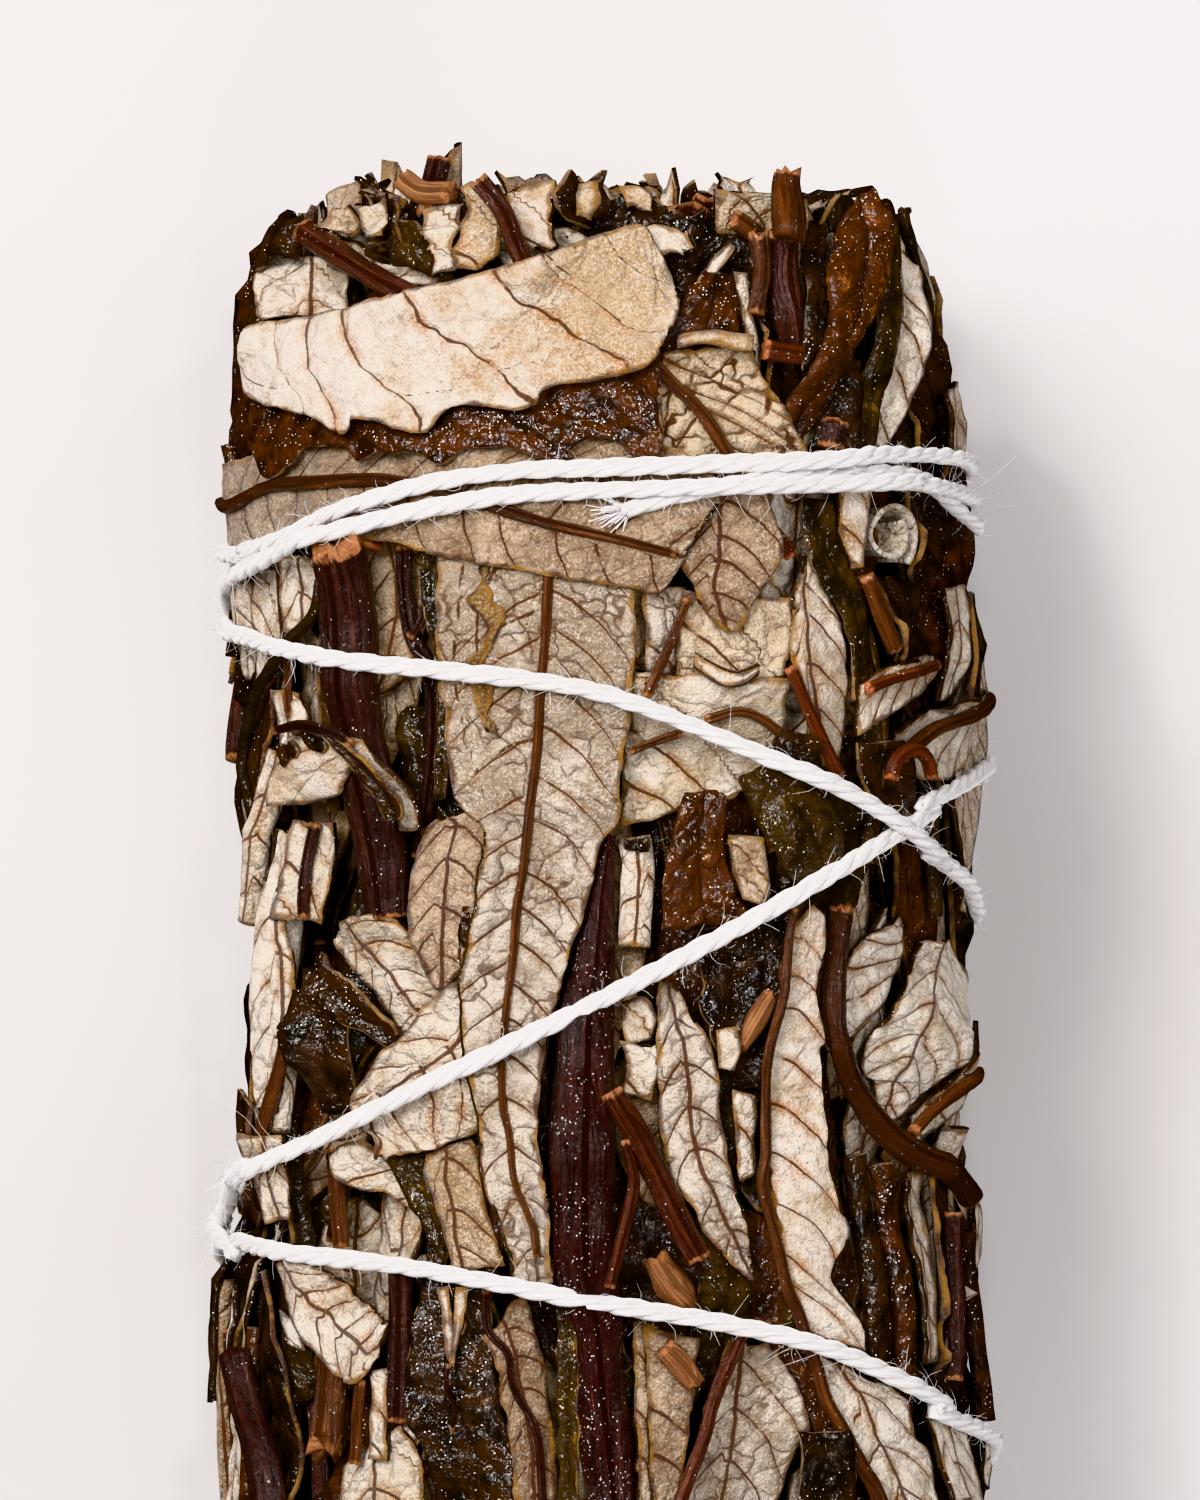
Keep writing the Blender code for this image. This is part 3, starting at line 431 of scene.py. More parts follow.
def vein_course(shape, length, wide, rib_share, drawn, spacing, lean, rng):
    """A field over a leaf whose whole numbers are its side veins, and millimetres per step.

    The veins of each side are read as rows that depend on the share of the way from the rib
    to the margin, and the field counts how many of them lie below a place.
    """
    rows, columns = shape

    def rib_at(row):
        return np.interp(row, np.arange(rows), rib_share)

    course, spread = np.full(shape, 0.5), np.full(shape, NO_VEINS)
    row_size = length / (rows - 1)
    shares = np.linspace(0, 1, columns)
    for way in (-1, 1):
        strands = [d for d in drawn if (d[:, 1] - rib_at(d[:, 0])).mean() * way > 0]
        if not drawn and spacing > 0:
            at = rng.uniform(-0.6, 0.2) * spacing
            while at < length + 0.5 * spacing:
                strands.append(at / row_size)
                at += spacing * rng.uniform(0.72, 1.28)
        if len(strands) < (1 if drawn else 2):
            continue
        for column in range(columns):
            share = shares[column]
            inside = (share - rib_share) * way
            reach = np.where(way < 0, rib_share, 1 - rib_share).clip(0.02)
            part = (inside / reach).clip(0, 1)
            mine = inside > -1.5 / columns
            if drawn:
                found = []
                for strand in strands:
                    depth = np.abs(strand[:, 1] - rib_at(strand[:, 0]))
                    order = np.argsort(depth)
                    here = abs(share - rib_at(strand[:, 0].mean()))
                    found.append(np.interp(here, depth[order], strand[order, 0]))
                knots = np.sort(np.array(found))
                knots = np.maximum.accumulate(knots + np.arange(len(knots)) * 0.4)
                knots = np.concatenate([[knots[0] - spacing / row_size], knots,
                                        [knots[-1] + spacing / row_size]])
                place = np.arange(rows, dtype=float)
            else:
                knots = np.array(strands)
                bow = (0.4 * part + 0.6 * part**2) * reach * wide * lean / row_size
                place = np.arange(rows) - bow
            step = np.interp(place, knots, np.arange(len(knots)), left=-0.5,
                             right=len(knots) - 0.5)
            gaps = np.interp(place, (knots[1:] + knots[:-1]) / 2, np.diff(knots)) * row_size
            course[mine, column] = step[mine]
            spread[mine, column] = gaps[mine]
    return course, spread / math.hypot(1, lean * 0.8)


def leaf_places(edge_a, edge_b, step, rough, rng):
    """Places on a grid between a leaf's ragged edges, its width at each row, and its length."""
    length = max(line_length(edge_a), line_length(edge_b))
    width = np.linalg.norm(smooth_line(edge_a, 9) - smooth_line(edge_b, 9), axis=1).max()
    rows, columns = max(4, round(length / step) + 1), max(5, round(width / step) + 1)
    a, b = smooth_line(edge_a, rows), smooth_line(edge_b, rows)
    across = b - a
    wide = np.linalg.norm(across, axis=1).clip(0.3)
    walked = np.linspace(0, length, rows)
    for edge, sign in ((a, -1), (b, 1)):
        ragged = rough * (waves(walked, 1.1, rng) + 0.5 * waves(walked, 0.45, rng))
        edge += sign * across / wide[:, None] * ragged[:, None]
    share = np.linspace(0, 1, columns)
    places = a[:, None] * (1 - share[None, :, None]) + b[:, None] * share[None, :, None]
    for end, beside in ((0, 1), (-1, -2)):
        ragged = rough * 1.5 * waves(share * width, 1.0, rng)
        places[end] += (a[end] - a[beside]) / (length / rows) * ragged[:, None]
    return places, wide, length


def on_leaf(points, flat, columns):
    """Row, and share of the way across, of the leaf's places nearest to some points."""
    nearest = ((flat[None] - points[:, None]) ** 2).sum(axis=2).argmin(axis=1)
    return np.column_stack([nearest // columns, nearest % columns / (columns - 1)])


def rib_course(rib, flat, shape, length, rng):
    """Share of the way across a leaf at which its rib runs, row by row."""
    rows, columns = shape
    share = 0.5 + 0.05 * waves(np.linspace(0, length, rows), 6.0, rng)
    if isinstance(rib, str):
        found = on_leaf(smooth_line(line(rib), 24), flat, columns)
        order = np.argsort(found[:, 0], kind="stable")
        share = np.interp(np.arange(rows), found[order, 0], found[order, 1])
        for _ in range(2):
            share = blur(share, max(1, rows // 40), 0)
    elif rib is not None:
        share = np.full(rows, -0.02 if rib is False else float(rib))
    return share


def lay_leaf(piece, look, edge_a, edge_b, rib=None, veins=(), twigs=(), twig_half=0.05,
             spacing=2.4, lean=1.1, lift=0.0, curl=(0.0, 0.0), tips=(0.0, 0.0),
             hem=(0.0, 0.0), hem_look="olive", rough=0.09, wrinkle=0.17, dome=0.0, puff=0.13,
             ridge=0.16, step=LEAF_STEP, thick=LEAF_THICKNESS, tone=None, seed=0,
             stiff=(10, 8, 6, 5, 4, 3, 3, 2, 2, 1)):
    """One leaf between two edges, laid on the bed, with its rib and side veins."""
    rng = np.random.default_rng(1000 + seed)
    places, wide, length = leaf_places(line(edge_a), line(edge_b), step, rough, rng)
    shape = rows, columns = places.shape[:2]
    flat = places.reshape(-1, 2)
    s, t = np.linspace(0, 1, rows)[:, None], np.linspace(0, 1, columns)[None, :]
    from_a, from_b = t * wide[:, None], (1 - t) * wide[:, None]
    rib_share = rib_course(rib, flat, shape, length, rng)
    rib_gap = (t - rib_share[:, None]) * wide[:, None]
    if rib is False:
        rib_gap = np.full(shape, FAR)
    drawn = [on_leaf(smooth_line(line(vein), 10), flat, columns) for vein in veins]
    course, spread = vein_course(shape, length, wide, rib_share, drawn, spacing, lean, rng)
    taper = np.linspace(twig_half, twig_half * 0.3, 12)
    twig_gap = away_from(flat, [(smooth_line(line(twig), 12), taper) for twig in twigs])

    ground = BED.under(*flat.T).reshape(shape) + GAP
    height = taut(ground, [max(1, round(w * 0.3 / step)) for w in stiff])
    swell = np.sin(math.pi * (0.1 + 0.8 * s)) ** 0.5
    rise = np.full(shape, float(lift))
    rise += (curl[0] * (1 - t) ** 3 + curl[1] * t**3) * swell
    rise += tips[0] * (1 - s * 3.5).clip(0, 1) ** 2 + tips[1] * (1 - (1 - s) * 3.5).clip(0, 1) ** 2
    rise += dome * (np.sin(math.pi * s) * np.sin(math.pi * t)) ** 0.6
    bend = rumple(*flat.T, 2.6, rng) + 0.5 * rumple(*flat.T, 1.1, rng)
    rise += wrinkle * bend.reshape(shape)
    rise += (ridge if look in SOFT_SIDE else -ridge * 0.6) * np.exp(-((rib_gap / 0.3) ** 2))
    from_vein = np.minimum(np.abs(course - np.round(course)) * spread, np.abs(rib_gap))
    rise += puff * (1 - np.exp(-from_vein / 0.4))
    for gap, band in ((from_a, hem[0]), (from_b, hem[1])):
        if band:
            rise += 0.45 * band * np.sqrt((1 - ((gap - band / 2) / (band / 2)) ** 2).clip(0))
    height = np.maximum(height + rise, ground - 0.5)
    points = wrap(places[..., 0], places[..., 1], height + thick / 2)
    BED.add(places[..., 0], places[..., 1], height + thick, step)

    margin = np.minimum(np.minimum(from_a, from_b), np.minimum(s, 1 - s) * length)
    if tone is None:
        tone = rng.uniform(-0.5, 0.5)
    tone = np.interp(s, np.linspace(0, 1, np.size(tone)), np.atleast_1d(tone))
    along = pair_up(from_a + 30 * seed, s * length + 17.3 * seed)
    edge_band = (from_a < hem[0]) | (from_b < hem[1])
    a, b = places[:, 0], places[:, -1]
    turned = np.cross(a[-1] - a[0], b[0] - a[0] + b[-1] - a[-1]) < 0
    way = slice(None, None, -1 if turned else 1)
    values = {"across": rib_gap, "course": course, "spread": spread, "margin": margin,
              "twig": twig_gap.reshape(shape), "tone": np.broadcast_to(tone, shape)}
    add_sheet(piece, points[:, way], thick, *sides_of(look), along[:, way],
              band=edge_band[:, way], band_finish=SHINY_SIDE[hem_look],
              **{key: value[:, way] for key, value in values.items()})


def rod_line(drawn, radius, step, fewest):
    """Even places along a line, with the radius at each, and the length of the drawn line."""
    places, radii = line(drawn), np.atleast_1d(radius)
    radii = np.interp(np.linspace(0, 1, len(places)), np.linspace(0, 1, len(radii)), radii)
    places = np.column_stack([places[:, :2], radii])
    length = line_length(places)
    return smooth_line(places, max(fewest, round(length / step) + 1)), length


def rod_ground(u, v, r, apart, beside_rise, rise):
    """The lowest height for a round piece's middle over what lies under it and beside it."""
    beside = np.maximum(BED.under(u + apart * r, v), BED.under(u - apart * r, v))
    return np.maximum(BED.under(u, v) + r * rise, beside + beside_rise * r)


def mark_rod(u, v, height, half, rise, step):
    """Marks a round piece on the bed."""
    turn = np.linspace(-0.95, 0.95, max(5, math.ceil(2 * half.max() / step)))[None, :]
    BED.add(u[:, None] + half[:, None] * turn, v[:, None] + 0 * turn,
            height[:, None] + rise[:, None] * np.sqrt(1 - turn * turn), step)


def outward(u):
    """The directions that point out of the bunch."""
    normal = around(NORMALS, u)
    return np.stack([normal[:, 0], np.zeros(len(normal)), normal[:, 1]], axis=1)


def lay_stem(piece, drawn, radius, finish="red_bark", lift=0.0, sides=14, step=0.35, knobby=0.1,
             ragged=(0.5, 0.5), cut=(True, True), tone=0.0, seed=0, sunk=0.0,
             stiff=(14, 10, 8, 6, 5, 4, 3, 2)):
    """One stem along a line on the bed, with broken or cut ends."""
    rng = np.random.default_rng(5000 + seed)
    places, _ = rod_line(drawn, radius, step, 5)
    rows = len(places)
    u, v, r = places.T
    walked = np.linspace(0, line_length(places), rows)
    height = taut(rod_ground(u, v, r, 0.7, 0.7, 1), stiff) + lift - sunk * r + GAP
    angle = np.linspace(0, 2 * math.pi, sides, endpoint=False)
    grooves = waves(np.arange(sides, dtype=float), 1.6, rng)
    grooves[-1] = grooves[0]
    across = r[:, None] * (1 + knobby * 0.6 * grooves[None, :])
    across *= 1 + knobby * waves(walked, 2.2, rng)[:, None]
    across *= 1 + knobby * 0.5 * dented(walked, angle * r.mean() * 2, 0.7, rng)
    mark_rod(u, v, height, r, r, step)
    along = pair_up(angle[None] * r[:, None] + seed * 7.1, walked[:, None] + seed * 11.3)
    far = np.full((rows, sides), FAR)
    for is_cut, from_end in zip(cut, (walked, walked[-1] - walked)):
        if is_cut:
            far = np.minimum(far, from_end[:, None])
    jags = [0.45 * ragged[k] ** 2 * r[-k] * rng.uniform(-1, 1, sides) for k in (0, 1)]
    add_rod(piece, wrap(u, v, height), across, outward(u), finish, along, jags, cut=far,
            tone=tone)


ROLL_SQUEEZE = 0.75  # a roll's height as a share of its width
ROLL_STIFF = (12, 9, 7, 5, 4, 3, 2)


def lay_roll(piece, drawn, radius, look, turns=1.35, step=0.3, tone=0.0, seed=0, start=0.0,
             twist=0.0):
    """A leaf rolled up along its length: a spiral section carried along a line."""
    rng = np.random.default_rng(9000 + seed)
    places, length = rod_line(drawn, radius, step, 6)
    rows = len(places)
    u, v, r = places.T
    walked = np.linspace(0, length, rows)
    columns = max(14, round(2 * math.pi * turns * r.max() / step))
    height = taut(rod_ground(u, v, r, 0.8, 0.45, ROLL_SQUEEZE), ROLL_STIFF) + GAP
    centres = wrap(u, v, height)
    upward = outward(u)
    side = np.cross(unit(np.gradient(centres, axis=0)), upward)
    t = np.linspace(0, 1, columns)[None, :]
    spin = start + 2 * math.pi * turns * t + twist * np.linspace(0, 1, rows)[:, None]
    reach = (1 - 0.55 * (1 - t) * min(1.0, turns - 0.4)) * r[:, None]
    reach = reach * (1 + 0.10 * waves(walked, 1.8, rng)[:, None])
    reach = reach * (1 + 0.07 * dented(walked, t[0] * turns * 6 * r.mean(), 1.1, rng))
    points = (centres[:, None] + side[:, None] * (np.sin(spin) * reach)[..., None]
              + upward[:, None] * (np.cos(spin) * reach * ROLL_SQUEEZE)[..., None])
    mark_rod(u, v, height, r, r * ROLL_SQUEEZE, step)
    wide = np.full(rows, 2 * math.pi * turns * r.mean())
    shape = (rows, columns)
    course, spread = vein_course(shape, length, wide, np.full(rows, 0.5), [], 2.2, 1.0, rng)
    from_start = np.broadcast_to(t * wide[0], shape)
    margin = np.minimum(from_start, wide[0] - from_start)
    margin = np.minimum(margin, np.minimum(walked, length - walked)[:, None])
    along = pair_up(from_start + 30 * seed, walked[:, None] + 13 * seed)
    add_sheet(piece, points[:, ::-1], 0.24, *sides_of(look), along[:, ::-1], tone=tone,
              twig=FAR, margin=margin[:, ::-1], across=(from_start - wide[0] / 2)[:, ::-1],
              course=course[:, ::-1], spread=spread[:, ::-1])


SCROLL_TURNS, SCROLL_DEPTH, SCROLL_STEP = 1.3, 1.9, 0.13


def lay_scroll(piece, look, centre, radius):
    """A rolled leaf seen from its end: a spiral wall with a lip that flares outward."""
    rng = np.random.default_rng(700)
    rows, columns = round(5 * SCROLL_TURNS * radius / SCROLL_STEP), 11
    t = np.linspace(0, 1, rows)[:, None]
    deep = np.linspace(0, 1, columns)[None, :]
    spin = 0.6 + 2 * math.pi * SCROLL_TURNS * t
    reach = radius * (0.4 + 0.52 * t) * (1 + 0.07 * waves(t[:, 0] * 14, 1.6, rng)[:, None])
    reach = reach + 0.22 * deep**4
    u = centre[0] + reach * np.sin(spin)
    v = centre[1] + reach * np.cos(spin) * 0.9
    ground = BED.under(u.ravel(), v.ravel()).max() - 0.9
    lip = 0.25 * waves(t[:, 0] * 14, 1.2, rng)[:, None]
    height = ground + SCROLL_DEPTH * deep + lip * deep + 0.25 * (1 - t)
    BED.add(u[:, -1], v[:, -1], height[:, -1], CELL)
    margin = np.broadcast_to((1 - deep) * SCROLL_DEPTH, u.shape)
    add_sheet(piece, wrap(u, v, height), 0.22, SOFT_SIDE[look], SOFT_SIDE[look],
              pair_up(t * rows * SCROLL_STEP, deep * SCROLL_DEPTH), across=FAR, spread=NO_VEINS,
              twig=FAR, margin=margin + 0.3, tone=0.0)


# ---------------------------------------------------------------- finishes


def tint(red, green, blue):
    """A colour named by its 0 to 255 values, as the shaders take it."""
    levels = [c / 255 for c in (red, green, blue)]
    return (*[c / 12.92 if c <= 0.04045 else ((c + 0.055) / 1.055) ** 2.4 for c in levels], 1.0)


class Wiring:
    """Short calls that add nodes to one tree and join them."""

    def __init__(self, tree):
        self.tree = tree

    def node(self, kind, inputs=(), **settings):
        made = self.tree.nodes.new(kind)
        for key, value in settings.items():
            setattr(made, key, value)
        for key, value in dict(inputs).items():
            self.feed(made.inputs[key], value)
        return made

    def feed(self, socket, value):
        if isinstance(value, bpy.types.NodeSocket):
            self.tree.links.new(value, socket)
        else:
            socket.default_value = value

    def math(self, operation, a, b=0.0, clamp=False):
        return self.node("ShaderNodeMath", {0: a, 1: b}, operation=operation,
                         use_clamp=clamp).outputs[0]

    def times(self, a, b, clamp=False):
        return self.math("MULTIPLY", a, b, clamp)

    def plus(self, a, b):
        return self.math("ADD", a, b)

    def minus(self, a, b):
        return self.math("SUBTRACT", a, b)

    def larger(self, a, b):
        return self.math("MAXIMUM", a, b)

    def smaller(self, a, b):
        return self.math("MINIMUM", a, b)

    def mix(self, share, a, b):
        return self.node("ShaderNodeMix", {0: share, 6: a, 7: b}, data_type="RGBA").outputs[2]

    def step(self, value, low, high, start=0.0, end=1.0):
        """Goes softly from start to end while the value goes from low to high."""
        return self.node("ShaderNodeMapRange", {"Value": value, "From Min": low, "From Max": high,
                                                "To Min": start, "To Max": end},
                         interpolation_type="SMOOTHSTEP").outputs[0]

    def noise(self, place, scale, detail=2.0, roughness=0.5):
        return self.node("ShaderNodeTexNoise", {"Vector": place, "Scale": scale, "Detail": detail,
                                                "Roughness": roughness}).outputs[0]

    def cells(self, place, scale, feature="DISTANCE_TO_EDGE"):
        return self.node("ShaderNodeTexVoronoi", {"Vector": place, "Scale": scale},
                         feature=feature)

    def stretch(self, place, *sizes):
        return self.node("ShaderNodeVectorMath", {0: place, 1: sizes},
                         operation="MULTIPLY").outputs[0]

    def attribute(self, name):
        return self.node("ShaderNodeAttribute", attribute_name=name).outputs["Fac"]

    def flat_place(self):
        """The place on a piece's own surface, in millimetres."""
        return self.node("ShaderNodeUVMap", uv_map="along").outputs[0]

    def place(self):
        """The place in space, in millimetres."""
        return self.stretch(self.node("ShaderNodeTexCoord").outputs["Object"],
                            1000.0, 1000.0, 1000.0)

    def chance(self, cells, channel, share):
        """One for a share of the cells, picked by one channel of their colours."""
        colour = self.node("ShaderNodeSeparateColor", {0: cells.outputs["Color"]})
        return self.math("LESS_THAN", colour.outputs[channel], share)

    def bump(self, height, distance=MM):
        return self.node("ShaderNodeBump", {"Height": height, "Distance": distance,
                                            "Strength": 1.0}).outputs[0]


def new_group(name, inputs, outputs):
    """An empty shader group with named sockets, and what wires it."""
    tree = bpy.data.node_groups.new(name, "ShaderNodeTree")
    for key, value in inputs.items():
        kind = "NodeSocketColor" if isinstance(value, tuple) else "NodeSocketFloat"
        tree.interface.new_socket(key, in_out="INPUT", socket_type=kind).default_value = value
    for key, kind in outputs.items():
        tree.interface.new_socket(key, in_out="OUTPUT", socket_type=kind)
    wiring = Wiring(tree)
    start = wiring.node("NodeGroupInput").outputs
    end = wiring.node("NodeGroupOutput").inputs
    return wiring, start, end


FLOAT, COLOUR = "NodeSocketFloat", "NodeSocketColor"


def leaf_veins_group():
    """Where a leaf's rib, side veins and fine net run."""
    w, start, end = new_group(
        "leaf veins",
        {"Rib Half": 0.12, "Vein Half": 0.07, "Net Size": 1.3, "Net Half": 0.035,
         "Net Amount": 0.8},
        {"Main": FLOAT, "Net": FLOAT, "Cushion": FLOAT, "Halo": FLOAT, "Margin": FLOAT})
    flat = w.flat_place()
    sway = w.minus(w.noise(flat, 0.8, 1.5, 0.5), 0.5)
    across = w.attribute("across")
    from_rib = w.math("ABSOLUTE", w.plus(across, w.times(sway, 0.22)))
    rib = w.step(from_rib, w.times(start["Rib Half"], 0.75), w.times(start["Rib Half"], 1.3),
                 1.0, 0.0)
    course = w.plus(w.attribute("course"), w.times(sway, 0.2))
    beside = w.math("ABSOLUTE", w.minus(w.math("FRACT", w.plus(course, 0.5)), 0.5))
    from_side = w.times(beside, w.attribute("spread"))
    far = w.math("ABSOLUTE", across)
    thin = w.larger(w.step(far, 0.5, 5.0, 1.15, 0.5), w.step(far, 8.0, 8.9, 0.0, 1.3))
    half = w.times(start["Vein Half"], thin)
    patchy = w.step(w.noise(flat, 0.6, 2.0), 0.30, 0.42, 0.35, 1.0)
    side = w.times(w.step(from_side, w.times(half, 0.75), w.times(half, 1.3), 1.0, 0.0), patchy)
    twig = w.step(w.attribute("twig"), -0.01, 0.03, 1.0, 0.0)
    sideways = w.node("ShaderNodeTexNoise", {"Vector": flat, "Scale": 1.1, "Detail": 1.0})
    bent = w.node("ShaderNodeVectorMath", {0: flat, 1: sideways.outputs[1]},
                  operation="ADD").outputs[0]
    size = w.math("DIVIDE", 1.0, start["Net Size"])
    wide_net = w.cells(bent, size).outputs["Distance"]
    fine_net = w.cells(bent, w.times(size, 2.4)).outputs["Distance"]
    wide_gap = w.times(wide_net, start["Net Size"])
    fine_gap = w.times(fine_net, w.times(start["Net Size"], 0.42))
    wide_line = w.step(wide_gap, w.times(start["Net Half"], 0.5), w.times(start["Net Half"], 1.7),
                       1.0, 0.0)
    fine_line = w.step(fine_gap, w.times(start["Net Half"], 0.1), start["Net Half"], 0.28, 0.0)
    kept = w.times(start["Net Amount"], w.step(w.noise(flat, 0.45, 2.0), 0.38, 0.58, 0.15, 1.0))
    nearest = w.smaller(w.smaller(wide_gap, from_side), from_rib)
    frayed = w.plus(w.attribute("margin"), w.times(sway, 0.7))
    w.feed(end["Main"], w.larger(w.larger(rib, side), twig))
    w.feed(end["Net"], w.times(w.larger(wide_line, fine_line), kept))
    w.feed(end["Cushion"], w.step(nearest, 0.0, 0.35))
    w.feed(end["Halo"], w.step(w.smaller(from_side, from_rib), 0.05, 0.55, 1.0, 0.0))
    w.feed(end["Margin"], w.step(frayed, 0.06, 0.27, 1.0, 0.0))
    return w.tree


def dust_and_painted_glint_group():
    """Pale dust on the dark pieces, and white dots that are painted glints (painted highlights), both
    mostly in patches.
    """
    w, start, end = new_group("crumbs", {"Dust Amount": 0.3, "Glint Amount": 0.3},
                              {"Dust": FLOAT, "Glint": FLOAT})
    place = w.place()
    patch = w.step(w.noise(place, 0.5, 3.0, 0.6), 0.48, 0.60, 0.06, 1.0)
    # The Glint cells are painted highlights: white dots that stand for sparkles of light.
    for name, scale, radius in (("Dust", 1.7, 0.14), ("Glint", 5.2, 0.2)):
        found = w.cells(place, scale, "F1")
        chosen = w.chance(found, 0, w.times(start[name + " Amount"], patch))
        spot = w.step(found.outputs["Distance"], radius * 0.6, radius, 1.0, 0.0)
        w.feed(end[name], w.times(spot, chosen))
    return w.tree


def felt_skin_group():
    """The felted underside of a leaf, with its stains, grain, brown veins and painted shade along them."""
    w, start, end = new_group(
        "felt skin",
        {"Pale": tint(238, 222, 204), "Deep": tint(205, 182, 158), "Stain": tint(170, 120, 66),
         "Vein": tint(78, 40, 22), "Stain Amount": 0.5, "Vein Strength": 1.0, "Main": 0.0,
         "Net": 0.0, "Cushion": 0.0, "Halo": 0.0, "Margin": 0.0},
        {"Color": COLOUR, "Height": FLOAT})
    place, tone = w.place(), w.attribute("tone")
    pale, stain, vein = start["Pale"], start["Stain"], start["Vein"]
    stains, strength = start["Stain Amount"], start["Vein Strength"]
    cloud = w.plus(w.noise(place, 0.45, 3.0), w.times(tone, 0.25))
    cloud = w.plus(cloud, w.times(w.noise(place, 1.9, 2.0), 0.45))
    colour = w.mix(w.step(cloud, 0.52, 0.98), pale, start["Deep"])
    blotch = w.step(w.noise(place, 0.28, 4.0, 0.6), w.minus(0.78, w.times(stains, 0.22)), 0.85,
                    0.0, 0.75)
    colour = w.mix(w.times(blotch, stains, True), colour, stain)
    halo = w.times(start["Halo"], w.step(w.noise(place, 0.7, 2.0), 0.38, 0.62, 0.0, 0.9))
    colour = w.mix(w.times(halo, stains, True), colour, stain)
    grain = w.noise(place, 7.0, 2.0, 0.8)
    sandy = w.step(w.noise(place, 0.35, 2.0), 0.35, 0.65, 0.5, 1.1)
    dark_grains = w.times(w.step(grain, 0.50, 0.68, 0.0, 0.5), sandy)
    colour = w.mix(dark_grains, colour, w.mix(0.45, stain, vein))
    pale_grains = w.times(w.step(grain, 0.50, 0.32, 0.0, 0.5), sandy)
    colour = w.mix(pale_grains, colour, w.mix(0.4, pale, tint(255, 252, 248)))
    # Painted shade: the felt darkens towards the vein colour in the sunken lines next to the veins.
    shade = w.step(start["Cushion"], 0.0, 1.0, 0.12, 0.0)
    colour = w.mix(shade, colour, w.mix(0.3, stain, vein))
    colour = w.mix(w.times(start["Net"], w.times(strength, 0.75)), colour, vein)
    colour = w.mix(w.times(start["Main"], w.times(strength, 0.93)), colour, vein)
    rim = w.mix(w.step(w.noise(place, 0.8, 2.0), 0.4, 0.6), vein, tint(122, 84, 30))
    colour = w.mix(w.times(start["Margin"], 0.88), colour, rim)
    specks = w.cells(place, 1.3, "F1")
    speck = w.times(w.step(specks.outputs["Distance"], 0.05, 0.09, 0.8, 0.0),
                    w.chance(specks, 1, 0.16))
    w.feed(end["Color"], w.mix(speck, colour, tint(40, 24, 14)))
    relief = w.plus(w.times(grain, -0.20), w.times(w.noise(place, 1.7, 3.0, 0.55), 0.34))
    relief = w.plus(relief, w.times(start["Cushion"], 0.14))
    w.feed(end["Height"], w.minus(relief, w.times(start["Net"], 0.04)))
    return w.tree


def resin_skin_group():
    """The varnished upper side of a leaf: dark, mottled, glossy and finely blistered, with lighter patches
    that are partly painted highlight.
    """
    w, start, end = new_group(
        "resin skin",
        {"Deep": tint(30, 14, 4), "Middle": tint(70, 38, 10), "Bright": tint(120, 74, 24),
         "Brightness": 0.5, "Main": 0.0, "Cushion": 0.0},
        {"Color": COLOUR, "Height": FLOAT, "Roughness": FLOAT})
    place, tone = w.place(), w.attribute("tone")
    mottle = w.plus(w.noise(place, 0.7, 4.0, 0.6), w.times(tone, 0.15))
    colour = w.mix(w.step(mottle, 0.36, 0.62), start["Deep"], start["Middle"])
    # Painted highlight, in part: noise patches lightened towards the Bright colour stand for glossy
    # highlights as well as the resin's own lighter amber.
    lit = w.step(w.plus(mottle, w.times(w.noise(place, 3.0, 2.0), 0.3)),
                 w.minus(1.05, w.times(start["Brightness"], 0.45)), 1.0)
    colour = w.mix(lit, colour, start["Bright"])
    w.feed(end["Color"], w.mix(w.times(start["Main"], 0.6), colour, start["Deep"]))
    blisters = w.cells(place, 3.4, "SMOOTH_F1").outputs["Distance"]
    relief = w.plus(w.times(w.noise(place, 0.9, 3.0, 0.55), 0.42),
                    w.times(w.noise(place, 4.6, 2.0, 0.6), 0.075))
    relief = w.minus(relief, w.times(blisters, 0.05))
    w.feed(end["Height"], w.plus(relief, w.times(start["Cushion"], 0.06)))
    w.feed(end["Roughness"], w.step(w.noise(place, 0.9, 3.0), 0.38, 0.62, 0.07, 0.26))
    return w.tree


